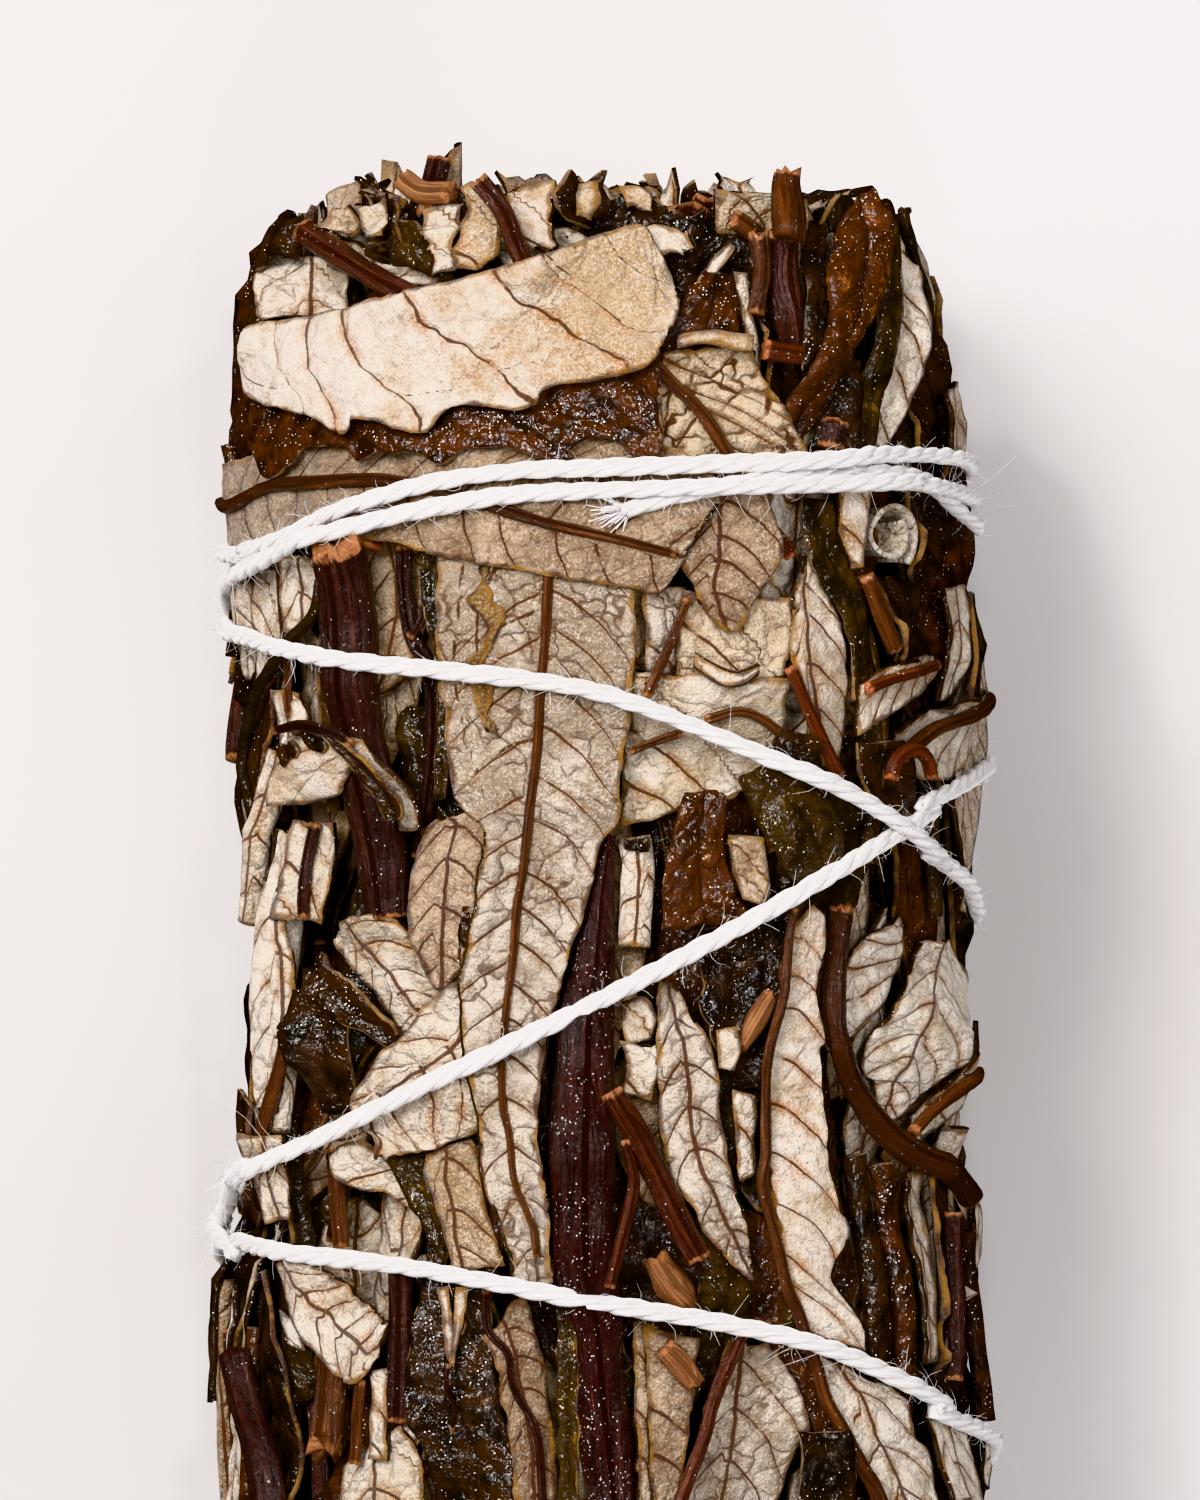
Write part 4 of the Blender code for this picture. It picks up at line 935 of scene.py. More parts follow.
def bark_skin_group():
    """The streaked skin of a dry stem, with a pale fibrous end where it is cut."""
    w, start, end = new_group(
        "bark skin",
        {"Deep": tint(34, 12, 9), "Middle": tint(74, 34, 26), "Bright": tint(140, 84, 62),
         "Wood": tint(196, 136, 98), "Gloss": 0.3},
        {"Color": COLOUR, "Height": FLOAT, "Roughness": FLOAT})
    flat, place, tone = w.flat_place(), w.place(), w.attribute("tone")
    streak = w.noise(w.stretch(flat, 3.2, 0.22, 1.0), 1.0, 4.0, 0.65)
    fine = w.noise(w.stretch(flat, 11.0, 0.55, 1.0), 1.0, 3.0, 0.7)
    level = w.plus(w.times(streak, 0.62), w.times(fine, 0.38))
    level = w.plus(level, w.times(tone, 0.12))
    colour = w.mix(w.step(level, 0.38, 0.62), start["Deep"], start["Middle"])
    worn = w.times(w.step(level, 0.56, 0.74), w.step(w.noise(place, 0.8, 3.0), 0.35, 0.65))
    colour = w.mix(worn, colour, start["Bright"])
    tear = w.noise(w.stretch(flat, 4.0, 1.2, 1.0), 1.0, 2.0)
    cut = w.step(w.minus(w.attribute("cut"), w.times(tear, 0.5)), -0.16, 0.0, 1.0, 0.0)
    fibres = w.times(w.step(w.noise(place, 7.0, 3.0, 0.7), 0.35, 0.65), 0.8)
    wood = w.mix(fibres, start["Wood"], w.mix(0.5, start["Wood"], start["Deep"]))
    w.feed(end["Color"], w.mix(cut, colour, wood))
    relief = w.plus(w.times(streak, 0.26), w.times(fine, 0.10))
    w.feed(end["Height"], w.plus(relief, w.times(w.noise(place, 5.0, 3.0, 0.7), 0.05)))
    rough = w.step(w.noise(place, 2.4, 3.0), 0.3, 0.7, w.minus(start["Gloss"], 0.1),
                   w.plus(start["Gloss"], 0.16))
    w.feed(end["Roughness"], w.larger(rough, w.times(cut, 0.8)))
    return w.tree


def group(w, name, inputs=()):
    """One of the shared groups, placed in a material and fed."""
    return w.node("ShaderNodeGroup", inputs, node_tree=bpy.data.node_groups[name]).outputs


def new_material(name, **constants):
    """A material with one principled shader and its plain settings, and what wires it."""
    material = bpy.data.materials.new(name)
    material.use_nodes = True
    skin = material.node_tree.nodes["Principled BSDF"].inputs
    for key, value in constants.items():
        skin[key.replace("_", " ")].default_value = value
    return Wiring(material.node_tree), skin


def felt_finish(name, pale, deep, stain, vein, stain_amount, strength=1.0, side=0.06, net=1.3,
                net_half=0.035, net_amount=0.8):
    w, skin = new_material(name, Roughness=0.9, Specular_IOR_Level=0.2, Sheen_Weight=0.15,
                           Sheen_Roughness=0.5)
    veins = group(w, "leaf veins", {"Rib Half": 0.09, "Vein Half": side, "Net Size": net,
                                    "Net Half": net_half, "Net Amount": net_amount})
    felt = group(w, "felt skin", {
        "Pale": tint(*pale), "Deep": tint(*deep), "Stain": tint(*stain), "Vein": tint(*vein),
        "Stain Amount": stain_amount, "Vein Strength": strength,
        **{key: veins[key] for key in ("Main", "Net", "Cushion", "Halo", "Margin")}})
    w.feed(skin["Base Color"], felt["Color"])
    w.feed(skin["Normal"], w.bump(felt["Height"]))


def with_dust_and_painted_glint(w, colour, dust_share, dust, painted_glint_share, crumbs, painted_glint_amount):
    """A dark skin's colour with crumbs and painted glints on it, and where the crumbs are. The glints are
    white dots painted as highlights.
    """
    bits = group(w, "crumbs", {"Dust Amount": crumbs, "Glint Amount": painted_glint_amount})
    dusty = w.mix(w.times(bits["Dust"], dust_share), colour, dust)
    # Painted highlights: the Glint dots are mixed towards white in the base colour.
    return w.mix(w.times(bits["Glint"], painted_glint_share), dusty, tint(240, 238, 238)), bits["Dust"]


def resin_finish(name, deep, middle, bright, brightness, crumbs, painted_glint_amount):
    w, skin = new_material(name, Specular_IOR_Level=0.6)
    veins = group(w, "leaf veins", {"Rib Half": 0.12, "Vein Half": 0.05, "Net Size": 1.2,
                                    "Net Half": 0.04})
    resin = group(w, "resin skin", {
        "Deep": tint(*deep), "Middle": tint(*middle), "Bright": tint(*bright),
        "Brightness": brightness, "Main": veins["Main"], "Cushion": veins["Cushion"]})
    colour, dust = with_dust_and_painted_glint(w, resin["Color"], 0.8, tint(196, 168, 138), 0.9, crumbs, painted_glint_amount)
    w.feed(skin["Base Color"], colour)
    w.feed(skin["Roughness"], w.larger(resin["Roughness"], w.times(dust, 0.7)))
    w.feed(skin["Normal"], w.bump(resin["Height"]))


def bark_finish(name, deep, middle, bright, wood=(150, 98, 64), gloss=0.26, crumbs=0.2,
                painted_glint_amount=0.25):
    w, skin = new_material(name, Specular_IOR_Level=0.5)
    bark = group(w, "bark skin", {"Deep": tint(*deep), "Middle": tint(*middle),
                                  "Bright": tint(*bright), "Wood": tint(*wood), "Gloss": gloss})
    colour, _ = with_dust_and_painted_glint(w, bark["Color"], 0.7, tint(186, 166, 150), 0.8, crumbs, painted_glint_amount)
    w.feed(skin["Base Color"], colour)
    w.feed(skin["Roughness"], bark["Roughness"])
    w.feed(skin["Normal"], w.bump(bark["Height"]))


def cotton_finish(name):
    """White cotton: bright fibres along each ply, with painted grey shade in the low grooves between them.
    """
    w, skin = new_material(name, Roughness=0.85, Specular_IOR_Level=0.3, Sheen_Weight=0.4,
                           Sheen_Roughness=0.4, Subsurface_Weight=0.25,
                           Subsurface_Radius=(0.6, 0.6, 0.6), Subsurface_Scale=MM)
    fibres = w.noise(w.stretch(w.flat_place(), 9.0, 1.3, 1.0), 1.0, 3.0, 0.65)
    # Painted shade: the fibre noise that makes the bump also greys the colour where the bump is low.
    colour = w.mix(w.step(fibres, 0.3, 0.7), tint(200, 194, 192), tint(230, 226, 225))
    w.feed(skin["Base Color"], colour)
    w.feed(skin["Normal"], w.bump(fibres, 0.14 * MM))


def surface_finish(name):
    """The plain pale surface that the bunch lies on."""
    w, skin = new_material(name, Roughness=0.9, Specular_IOR_Level=0.1)
    cloud = w.noise(w.place(), 0.018, 2.0, 0.4)
    w.feed(skin["Base Color"], w.mix(w.step(cloud, 0.35, 0.65), tint(179, 174, 173),
                                     tint(190, 186, 185)))


def make_finishes():
    """The shared groups, then every finish: its colours, then how stained, netted or dusty."""
    for make_group in (leaf_veins_group, dust_and_painted_glint_group, felt_skin_group, resin_skin_group,
                       bark_skin_group):
        make_group()
    brown = (64, 34, 16)
    felt_finish("white_felt", (198, 186, 173), (152, 128, 98), (152, 98, 42), brown, 0.8,
                net=2.2, net_half=0.03, side=0.062, net_amount=0.3)
    felt_finish("cream_felt", (204, 192, 177), (156, 138, 114), (138, 92, 38), brown, 0.85,
                net=1.6, side=0.058, net_half=0.042, net_amount=0.6)
    felt_finish("beige_felt", (182, 163, 138), (138, 114, 86), (116, 75, 32), brown, 0.85,
                net=1.4, net_half=0.04, net_amount=0.75)
    felt_finish("net_felt", (184, 165, 138), (140, 116, 86), (120, 78, 32), (66, 36, 14), 0.9,
                net=1.8, side=0.07, net_half=0.075, net_amount=1.4)
    felt_finish("grey_felt", (184, 171, 156), (132, 115, 97), (116, 84, 48), brown, 0.65,
                net=1.5, net_half=0.05, net_amount=1.0)
    felt_finish("tan_felt", (152, 129, 104), (108, 86, 65), (92, 60, 32), (58, 28, 16), 0.55,
                net=1.2, net_half=0.034, net_amount=0.55)
    felt_finish("ochre_crust", (120, 88, 46), (66, 42, 18), (44, 26, 10), (36, 18, 8), 1.0, 0.4,
                net=0.9, side=0.04, net_half=0.08, net_amount=1.0)
    resin_finish("amber_resin", (24, 10, 3), (60, 29, 9), (128, 72, 24), 0.5, 0.05, 1.1)
    resin_finish("olive_resin", (20, 13, 5), (48, 32, 12), (104, 76, 36), 0.55, 0.06, 0.3)
    resin_finish("dark_resin", (14, 8, 4), (42, 25, 13), (98, 64, 32), 0.52, 0.12, 0.5)
    bark_finish("maroon_bark", (17, 7, 6), (46, 21, 18), (112, 74, 64), gloss=0.18, crumbs=0.15,
                painted_glint_amount=1.0)
    bark_finish("red_bark", (28, 11, 7), (68, 31, 19), (132, 80, 54), gloss=0.2)
    bark_finish("dark_bark", (22, 11, 9), (50, 27, 22), (108, 74, 60))
    bark_finish("brown_bark", (46, 23, 12), (90, 50, 26), (148, 98, 62))
    bark_finish("orange_bark", (50, 20, 10), (90, 41, 21), (144, 82, 50), (160, 94, 60), 0.2)
    bark_finish("pale_wood", (84, 48, 28), (144, 98, 64), (196, 158, 120), gloss=0.7,
                crumbs=0.0, painted_glint_amount=0.0)
    cotton_finish("cotton")
    surface_finish("pale_surface")


# ---------------------------------------------------------------- single pieces

LEAF_SLOT = {"white": "cream_leaf", "beige": "cream_leaf", "net": "cream_leaf",
             "crust": "tan_leaf"}
STEM_SLOT = {"olive_resin": "olive_leaf", "pale_wood": "cut_wood"}


def make_piece(name, slot, lay, *drawn, **options):
    """One piece of its own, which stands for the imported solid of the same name, if any."""
    piece = Piece(name)
    lay(piece, *drawn, **options)
    piece.build(*([name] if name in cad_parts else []), slot=slot)


def name_seed(name):
    """A seed that stays the same for a name."""
    return sum(ord(letter) for letter in name) % 97


def leaf(name, look, edge_a, edge_b, **options):
    make_piece(name, LEAF_SLOT.get(look, look + "_leaf"), lay_leaf, look, edge_a, edge_b,
               seed=name_seed(name), **options)


def scrap(name, look, edge_a, edge_b, **options):
    """A bit of leaf that shows no rib."""
    leaf(name, look, edge_a, edge_b, rib=False, **options)


def stem(name, drawn, radius, finish="red_bark", **options):
    make_piece(name, STEM_SLOT.get(finish, "red_stem"), lay_stem, drawn, radius, finish,
               seed=name_seed(name), **options)


def roll(name, look, drawn, radius, **options):
    make_piece(name, look + "_leaf", lay_roll, drawn, radius, look, seed=name_seed(name),
               **options)


# ---------------------------------------------------------------- the packing


def lay_core():
    """The dark pressed middle of the bunch, which fills the hollows between the leaves."""
    rng = np.random.default_rng(7)
    piece = Piece("pressed_core")
    v = np.arange(7.0, 92.01, 1.1)
    u = np.linspace(0, GIRTH, 100, endpoint=False)
    vv, uu = np.meshgrid(v, u, indexing="ij")
    bumps = rumple(uu, vv, 2.3, rng) + 0.6 * rumple(uu, vv, 1.1, rng)
    bumps *= np.minimum(1, np.minimum(uu, GIRTH - uu) / 4)
    body = wrap(uu, vv, packed_depth(uu) - 0.5 + 0.35 * bumps)
    ends = []
    for row in (0, -1):
        centre = np.array([0, body[row, 0, 1], WIDEST_LEVEL])
        for share in (0.75, 0.5, 0.25, 0.02):
            ring = centre + (body[row] - centre) * share
            ring[:, 1] += 0.8 * bumps[row]
            ends.append(ring)
    rings = np.concatenate([np.stack(ends[3::-1]), body, np.stack(ends[4:])])
    rows, columns = rings.shape[:2]
    along = pair_up(u[None, :], np.arange(rows)[:, None] * 0.8)
    faces = grid_faces(rows, columns, ring=True)
    piece.add(rings.reshape(-1, 3), faces, np.full(len(faces), piece.slot("dark_resin")),
              along.reshape(-1, 2), across=FAR, spread=NO_VEINS, twig=FAR, margin=FAR)
    piece.build(*[f"sprig_{k}" for k in range(1, 8)], slot="dark_leaf")


def leaf_outline(u, v, length, width, lean, bend, rng):
    """The two edges of a loose leaf: a lance shape that leans and bends."""
    s = np.linspace(0, 1, 9)
    blunt = rng.uniform(0.1, 0.55, 2)
    half = width / 2 * (np.sin(math.pi * s) ** 0.75
                        + (1 - s) ** 3 * blunt[0] + s**3 * blunt[1]).clip(0.08, 1.05)
    heading = lean + bend * (s - 0.5)
    step = length / 8
    middle_u = u + np.concatenate([[0], np.cumsum(np.sin(heading[1:]) * step)])
    middle_v = v + np.concatenate([[0], np.cumsum(np.cos(heading[1:]) * step)])
    middle_u -= middle_u.mean() - u
    middle_v -= middle_v.mean() - v
    side = np.column_stack([np.cos(heading), -np.sin(heading)])
    middle = np.column_stack([middle_u, middle_v])
    return middle - side * half[:, None], middle + side * half[:, None], middle


def loose_line(rng, zone, share, lengths, tilt, bend, ends):
    """The middle line of a loose stem or roll, a share of the way round its zone."""
    (u_low, u_high), (v_low, v_high) = zone
    u = u_low + (u_high - u_low) * (share % 1)
    v = rng.uniform(v_low, v_high)
    _, _, middle = leaf_outline(u, v, rng.uniform(*lengths), 1.0, rng.normal(0, tilt),
                                rng.normal(0, bend), rng)
    middle[:, 1] = middle[:, 1].clip(*ends)
    return middle[np.concatenate([[True], np.diff(middle[:, 1]) != 0])]


def weighted(looks):
    """The looks to pick from, and the chance of each."""
    names, weights = zip(*looks.items())
    return names, np.array(weights) / sum(weights)


def scatter_leaves(name, count, zone, looks, lengths, widths, step, seed, slot="dark_leaf",
                   nodes=(), wrinkle=0.22, curls=0.9, ends=(2.5, 97.0)):
    """Loose leaves over a zone, in one piece: each looks a bit different and curls its edges."""
    rng = np.random.default_rng(seed)
    piece = Piece(name)
    (u_low, u_high), (v_low, v_high) = zone
    names, chances = weighted(looks)
    spots = (np.arange(count) * GOLDEN + rng.uniform(0, 1)) % 1
    for k in range(count):
        look = names[rng.choice(len(names), p=chances)]
        u = u_low + (u_high - u_low) * spots[k]
        v = v_low + (v_high - v_low) * ((k + rng.uniform(0, 1)) / count)
        a, b, _ = leaf_outline(u, v, rng.uniform(*lengths), rng.uniform(*widths),
                               rng.normal(0, 0.22) + (math.pi if rng.uniform() < 0.5 else 0),
                               rng.normal(0, 0.5), rng)
        for edge in (a, b):
            edge[:, 1] = edge[:, 1].clip(*ends) + 0.15 * np.sin(edge[:, 0] * 3)
        curl = rng.uniform(-0.1, curls, 2)
        hem = 0.0
        if look in SOFT_SIDE:
            hem = rng.uniform(0.4, 0.8) * (rng.uniform() < 0.45)
        lay_leaf(piece, look, a, b, curl=curl, step=step, seed=seed * 100 + k, wrinkle=wrinkle,
                 hem=(hem, 0.0), hem_look="dark" if k % 3 else "olive", rough=0.16,
                 tips=rng.uniform(-0.1, 0.5, 2), stiff=(6, 4, 3, 2, 1))
    piece.build(*nodes, slot=slot)


def scatter_stems(name, count, zone, seed, radii=(0.3, 0.95), lengths=(14, 46),
                  ends=(3.0, 97.0)):
    """Loose stems over a zone, in one piece."""
    rng = np.random.default_rng(seed)
    piece = Piece(name)
    barks = ("red_bark", "dark_bark", "brown_bark", "dark_bark")
    for k in range(count):
        middle = loose_line(rng, zone, k * GOLDEN, lengths, 0.2, 0.5, ends)
        if len(middle) < 3:
            continue
        radius = rng.uniform(*radii)
        lay_stem(piece, middle, (radius, radius * rng.uniform(0.6, 1.0)),
                 barks[rng.integers(len(barks))], sides=10, step=0.8, seed=seed * 50 + k,
                 tone=rng.uniform(-1, 1))
    piece.build(slot="red_stem")


def scatter_rolls(name, count, zone, seed, looks, lengths=(9, 24), radii=(0.55, 1.1),
                  ends=(3.0, 97.0)):
    """Loose rolled leaves over a zone, in one piece."""
    rng = np.random.default_rng(seed)
    piece = Piece(name)
    names, chances = weighted(looks)
    for k in range(count):
        middle = loose_line(rng, zone, k * GOLDEN + 0.37, lengths, 0.22, 0.6, ends)
        if len(middle) < 3:
            continue
        radius = rng.uniform(*radii)
        look = names[rng.choice(len(names), p=chances)]
        lay_roll(piece, middle, (radius * 0.75, radius, radius * 0.7), look,
                 turns=rng.uniform(0.8, 1.5), step=0.66, seed=seed * 50 + k,
                 start=rng.uniform(0, 6.28), twist=rng.uniform(-1, 1), tone=rng.uniform(-1, 1))
    piece.build(slot="amber_leaf")


# How far in each ring of leaf edges lies at an end, and how many leaves it has.
END_RINGS = ((0.97, 12), (0.88, 11), (0.79, 10), (0.70, 9), (0.60, 8), (0.50, 6), (0.40, 5),
             (0.30, 4), (0.19, 3), (0.08, 2))
END_LEAF_ROWS = 8
END_STEMS, END_STEM_ROWS, END_STEM_SIDES = 30, 12, 11


def lay_end(name, at, way, seed):
    """One end of the bunch: the ragged edges of the pressed leaves and the cut stems."""
    rng = np.random.default_rng(seed)
    piece = Piece(name)
    looks = ("tan", "grey", "tan", "dark", "amber", "beige", "dark", "olive", "cream")
    rows = END_LEAF_ROWS
    share = np.linspace(0, 1, rows)[:, None]
    for inward, count in END_RINGS:
        for k in range(count):
            arc = GIRTH / count * rng.uniform(0.75, 1.3)
            middle = (k + rng.uniform(-0.3, 0.3)) / count * GIRTH
            columns = max(6, round(arc * inward / 0.6))
            u = np.linspace(middle - arc / 2, middle + arc / 2, columns)[None, :]
            reach = at + way * (rng.uniform(-1.6, 1.2) + 1.0 * waves(u[0], 1.3 / inward, rng)
                                + 0.5 * waves(u[0], 0.5 / inward, rng) - 1.3 * (1 - inward))
            narrow = 1 - 0.35 * rng.uniform(0.2, 1) * share**2
            u = middle + (u - middle) * narrow + 0.25 * rng.uniform(-1, 1, (rows, 1))
            v = (at - way * 8) * (1 - share) + reach[None, :] * share
            level = u[0]
            fold = 1.2 * waves(level, 2.2 / inward, rng) + 0.6 * waves(level, 1.0 / inward, rng)
            height = -2.4 + fold[None, :] * (0.35 + 0.65 * share) + rng.uniform(-0.3, 0.3)
            height = height + 1.0 * share**2 * waves(level, 3.0, rng)[None, :]
            points = wrap(np.broadcast_to(u, v.shape), v, height, inward)
            sides = sides_of(looks[rng.integers(len(looks))], "beige_felt")
            wide = np.full(rows, arc * inward)
            course, spread = vein_course((rows, columns), 8.0, wide, np.full(rows, 0.5), [], 2.4,
                                         1.0, rng)
            along = pair_up(u * inward, v)
            if way > 0:
                points, v, along = points[:, ::-1], v[:, ::-1], along[:, ::-1]
            add_sheet(piece, points, 0.3, *sides, along, tone=rng.uniform(-1, 1),
                      across=along[..., 0] - middle * inward, course=course, spread=spread,
                      twig=FAR, margin=np.abs(v - reach[None, ::-1 if way > 0 else 1]) + 0.05)
    rows, sides = END_STEM_ROWS, END_STEM_SIDES
    drift = np.linspace(0, 1, rows)
    angle = np.linspace(0, 2 * math.pi, sides, endpoint=False)
    for k in range(END_STEMS):
        inward = rng.uniform(0.05, 1) ** 0.6 * 0.93
        u, radius = rng.uniform(0, GIRTH), rng.uniform(0.35, 1.25) ** 1.1
        tip = at + way * rng.uniform(-1.2, 2.6 if inward < 0.8 else 1.2)
        v = np.linspace(at - way * 7, tip, rows)
        centres = wrap(u + rng.normal(0, 1.5) * drift, v, -2.6 + rng.normal(0, 0.8) * drift,
                       inward)
        across = radius * (1 + 0.12 * rng.uniform(-1, 1, (1, sides))
                           + 0.06 * rng.uniform(-1, 1, (rows, sides)))
        walked = np.abs(v - tip)
        along = pair_up(angle[None] * radius, v[:, None])
        jags = [np.zeros(sides), 0.25 * radius * rng.uniform(-1, 1, sides)]
        add_rod(piece, centres, across, outward(np.full(rows, u)),
                ("red_bark", "dark_bark", "brown_bark")[k % 3], along, jags,
                cut=np.repeat(walked[:, None], sides, axis=1), tone=rng.uniform(-1, 1))
    piece.build(slot="dark_leaf")


def lay_chips(name, count, at, way, seed):
    """Broken bits of leaf caught between the ragged edges at one end."""
    rng = np.random.default_rng(seed)
    piece = Piece(name)
    looks = ("cream", "grey", "beige", "dark", "tan", "grey", "tan", "olive")
    s = np.linspace(-1, 1, 7)
    x, y = np.meshgrid(s, s, indexing="ij")
    for k in range(count):
        u, inward = rng.uniform(0, GIRTH), rng.uniform(0.05, 1) ** 0.5 * 0.98
        centre = wrap(u, at + way * rng.uniform(-1.5, 1.6), rng.uniform(-3.2, -1.6), inward)
        turn = np.linalg.qr(rng.normal(size=(3, 3)))[0]
        size = rng.uniform(0.6, 2.0)
        ragged_x = 1 + 0.3 * waves(y.ravel() + 9 * k, 0.4, rng).reshape(y.shape)
        ragged_y = 1 + 0.3 * waves(x.ravel() + 9 * k, 0.4, rng).reshape(x.shape)
        curl, way_of_fold = rng.uniform(-0.8, 0.8, 3), rng.uniform(0, math.pi)
        fold = np.abs(x * math.cos(way_of_fold) + y * math.sin(way_of_fold))
        sheet = np.stack([x * ragged_x, y * ragged_y * rng.uniform(0.4, 1.0),
                          curl[0] * x * x + curl[1] * x * y + curl[2] * fold
                          + 0.10 * rng.uniform(-1, 1, x.shape)], axis=-1) * size
        sides = sides_of(looks[rng.integers(len(looks))], "beige_felt")
        margin = (1 - np.maximum(np.abs(x), np.abs(y))) * size
        along = pair_up(x, y) * size + 5.3 * k
        add_sheet(piece, centre + sheet @ turn, 0.22, *sides, along, tone=rng.uniform(-1, 1),
                  across=x * size + 0.4, course=y * size * 0.4 + 0.5, spread=2.0, twig=FAR,
                  margin=margin)
    piece.build(slot="cream_leaf")


UNDER_MIDDLE = GIRTH / 2
UNDER_LEAVES = (("rest_leaf_1", -5.2, 19.5), ("rest_leaf_2", 5.2, 19.0),
                ("rest_leaf_3", -5.0, 65.0), ("rest_leaf_4", 5.0, 64.0))


def lay_rest_leaf(name, x, v, seed):
    """A springy leaf under the bunch: it bulges down to the surface that the bunch lies on."""
    rng = np.random.default_rng(seed)
    a, b, _ = leaf_outline(UNDER_MIDDLE - x, v, 19.0, 8.0, 0.06 * rng.uniform(-1, 1), 0.2, rng)
    bed_before, dome = BED.top.copy(), 3.0
    for _ in range(4):
        piece = Piece(name)
        BED.top[:] = bed_before
        lay_leaf(piece, "beige" if seed % 2 else "cream", a, b, step=0.35, seed=seed,
                 wrinkle=0.05, dome=dome, curl=(0.3, 0.2), hem=(0.6, 0.0), hem_look="dark",
                 stiff=(12, 10, 8, 6, 5, 4, 3, 2))
        dome += piece.points[0][:, 2].min() / PRESSED
    piece.build(name, slot="tan_leaf")


# ---------------------------------------------------------------- the twine

TWINE_STEP = 0.5
TWINE_PITCH, PLY_RADIUS, PLY_STEP, PLY_SIDES = 4.4, 0.295, 0.46, 8
FIBRES, TUFT_FIBRES = 3600, 70
TURNS = [
    "-22,79.8 -20,79.9 -16,80.3 -12,81.6 -8,82.8 -4,83.4 0,83.55 4,83.7 10,84 14,84.4 22,84.4 34,83.4",
    "-22,78.6 -20,78.7 -16,79.4 -12,80.5 -8,81.6 -4,82.3 0,82.5 6,82.7 12,83 16,83.1 22,82.8",
    "-22,48.3 -18,49.6 -14,51.3 -10,53.4 -6,55.4 -2,57.5 2,59.6 6,61.8 10,64.1 14,65.9 18,67.4 22,68.7",
    "-22,11 -8,15 8,20 22,24",
    "-22,8.6 0,8.2 22,8.4",
    "-22,21.4 -8,18.6 8,15.6 22,13.4",
    "-27,47.2 -22,46.5 -16,46.3 -10,46 -6,45.5 -2,44.75 2,44 6,43.2 10,42.1 14,40.4 18,38.7 22,37.1",
    "-22,76 -16,75.3 -10,74.4 -4,73.7 0,73 4,71.5 8,69.7 12,68.05 16,66.2 20,64.7 22,64.1",
]
KNOB = (-12.0, 74.6)  # where the twine rides over a knob of the thick stem
KNOB_RISE, KNOB_REACH = 0.75, 1.8
FIRST_END = "1.2,81.6 3.6,82.3 7,83 12,83.5 18,83.2 24,81.6 34,79.8 60,77.5"


def twine_route():
    """Where the twine goes, from its first end to its last, and the order it was laid in."""
    points, ranks = [line(FIRST_END)], [np.full(8, -1)]
    for turn, text in enumerate(reversed(TURNS), start=1):
        track = line(text)
        points.append(track + [turn * GIRTH, 0])
        ranks.append(np.full(len(track), len(TURNS) - turn))
    points, ranks = np.concatenate(points), np.concatenate(ranks)
    dense = smooth_line(points, round(line_length(points) / TWINE_STEP) + 1)
    at = np.searchsorted(points[:, 0], dense[:, 0]).clip(0, len(ranks) - 1)
    return dense, ranks[at]


def pull_tight(route, heights):
    """Straightens the twine where it spans a hollow, as tension does."""
    for span in (16, 12, 8, 6, 4, 3, 2, 1) * 2:
        points = wrap(route[:, 0], route[:, 1], heights)
        normals = around(NORMALS, route[:, 0])
        chord = (points[:-2 * span] + points[2 * span:]) / 2 - points[span:-span]
        sag = chord[:, 0] * normals[span:-span, 0] + chord[:, 2] * normals[span:-span, 1]
        heights[span:-span] += sag.clip(0, None)
    return heights


def cross_over(route, rank, heights):
    """Lifts each turn over the turns that were laid before it."""
    reach = 2 * TWINE_RADIUS - 0.06
    u, v = route[:, 0], route[:, 1]
    order = np.arange(len(u))
    for level in np.unique(rank):
        mine = np.nonzero(rank == level)[0]
        apart = np.hypot(beside_top(u[None, :] - u[mine, None]), v[None, :] - v[mine, None])
        before = (rank[None, :] < level) & (apart < reach)
        before &= np.abs(order[None, :] - mine[:, None]) * TWINE_STEP > 4 * reach
        rise = np.sqrt((reach**2 - apart**2).clip(0, None)) + heights[None, :]
        heights[mine] = np.maximum(heights[mine], np.where(before, rise, -9.0).max(axis=1))
    return heights


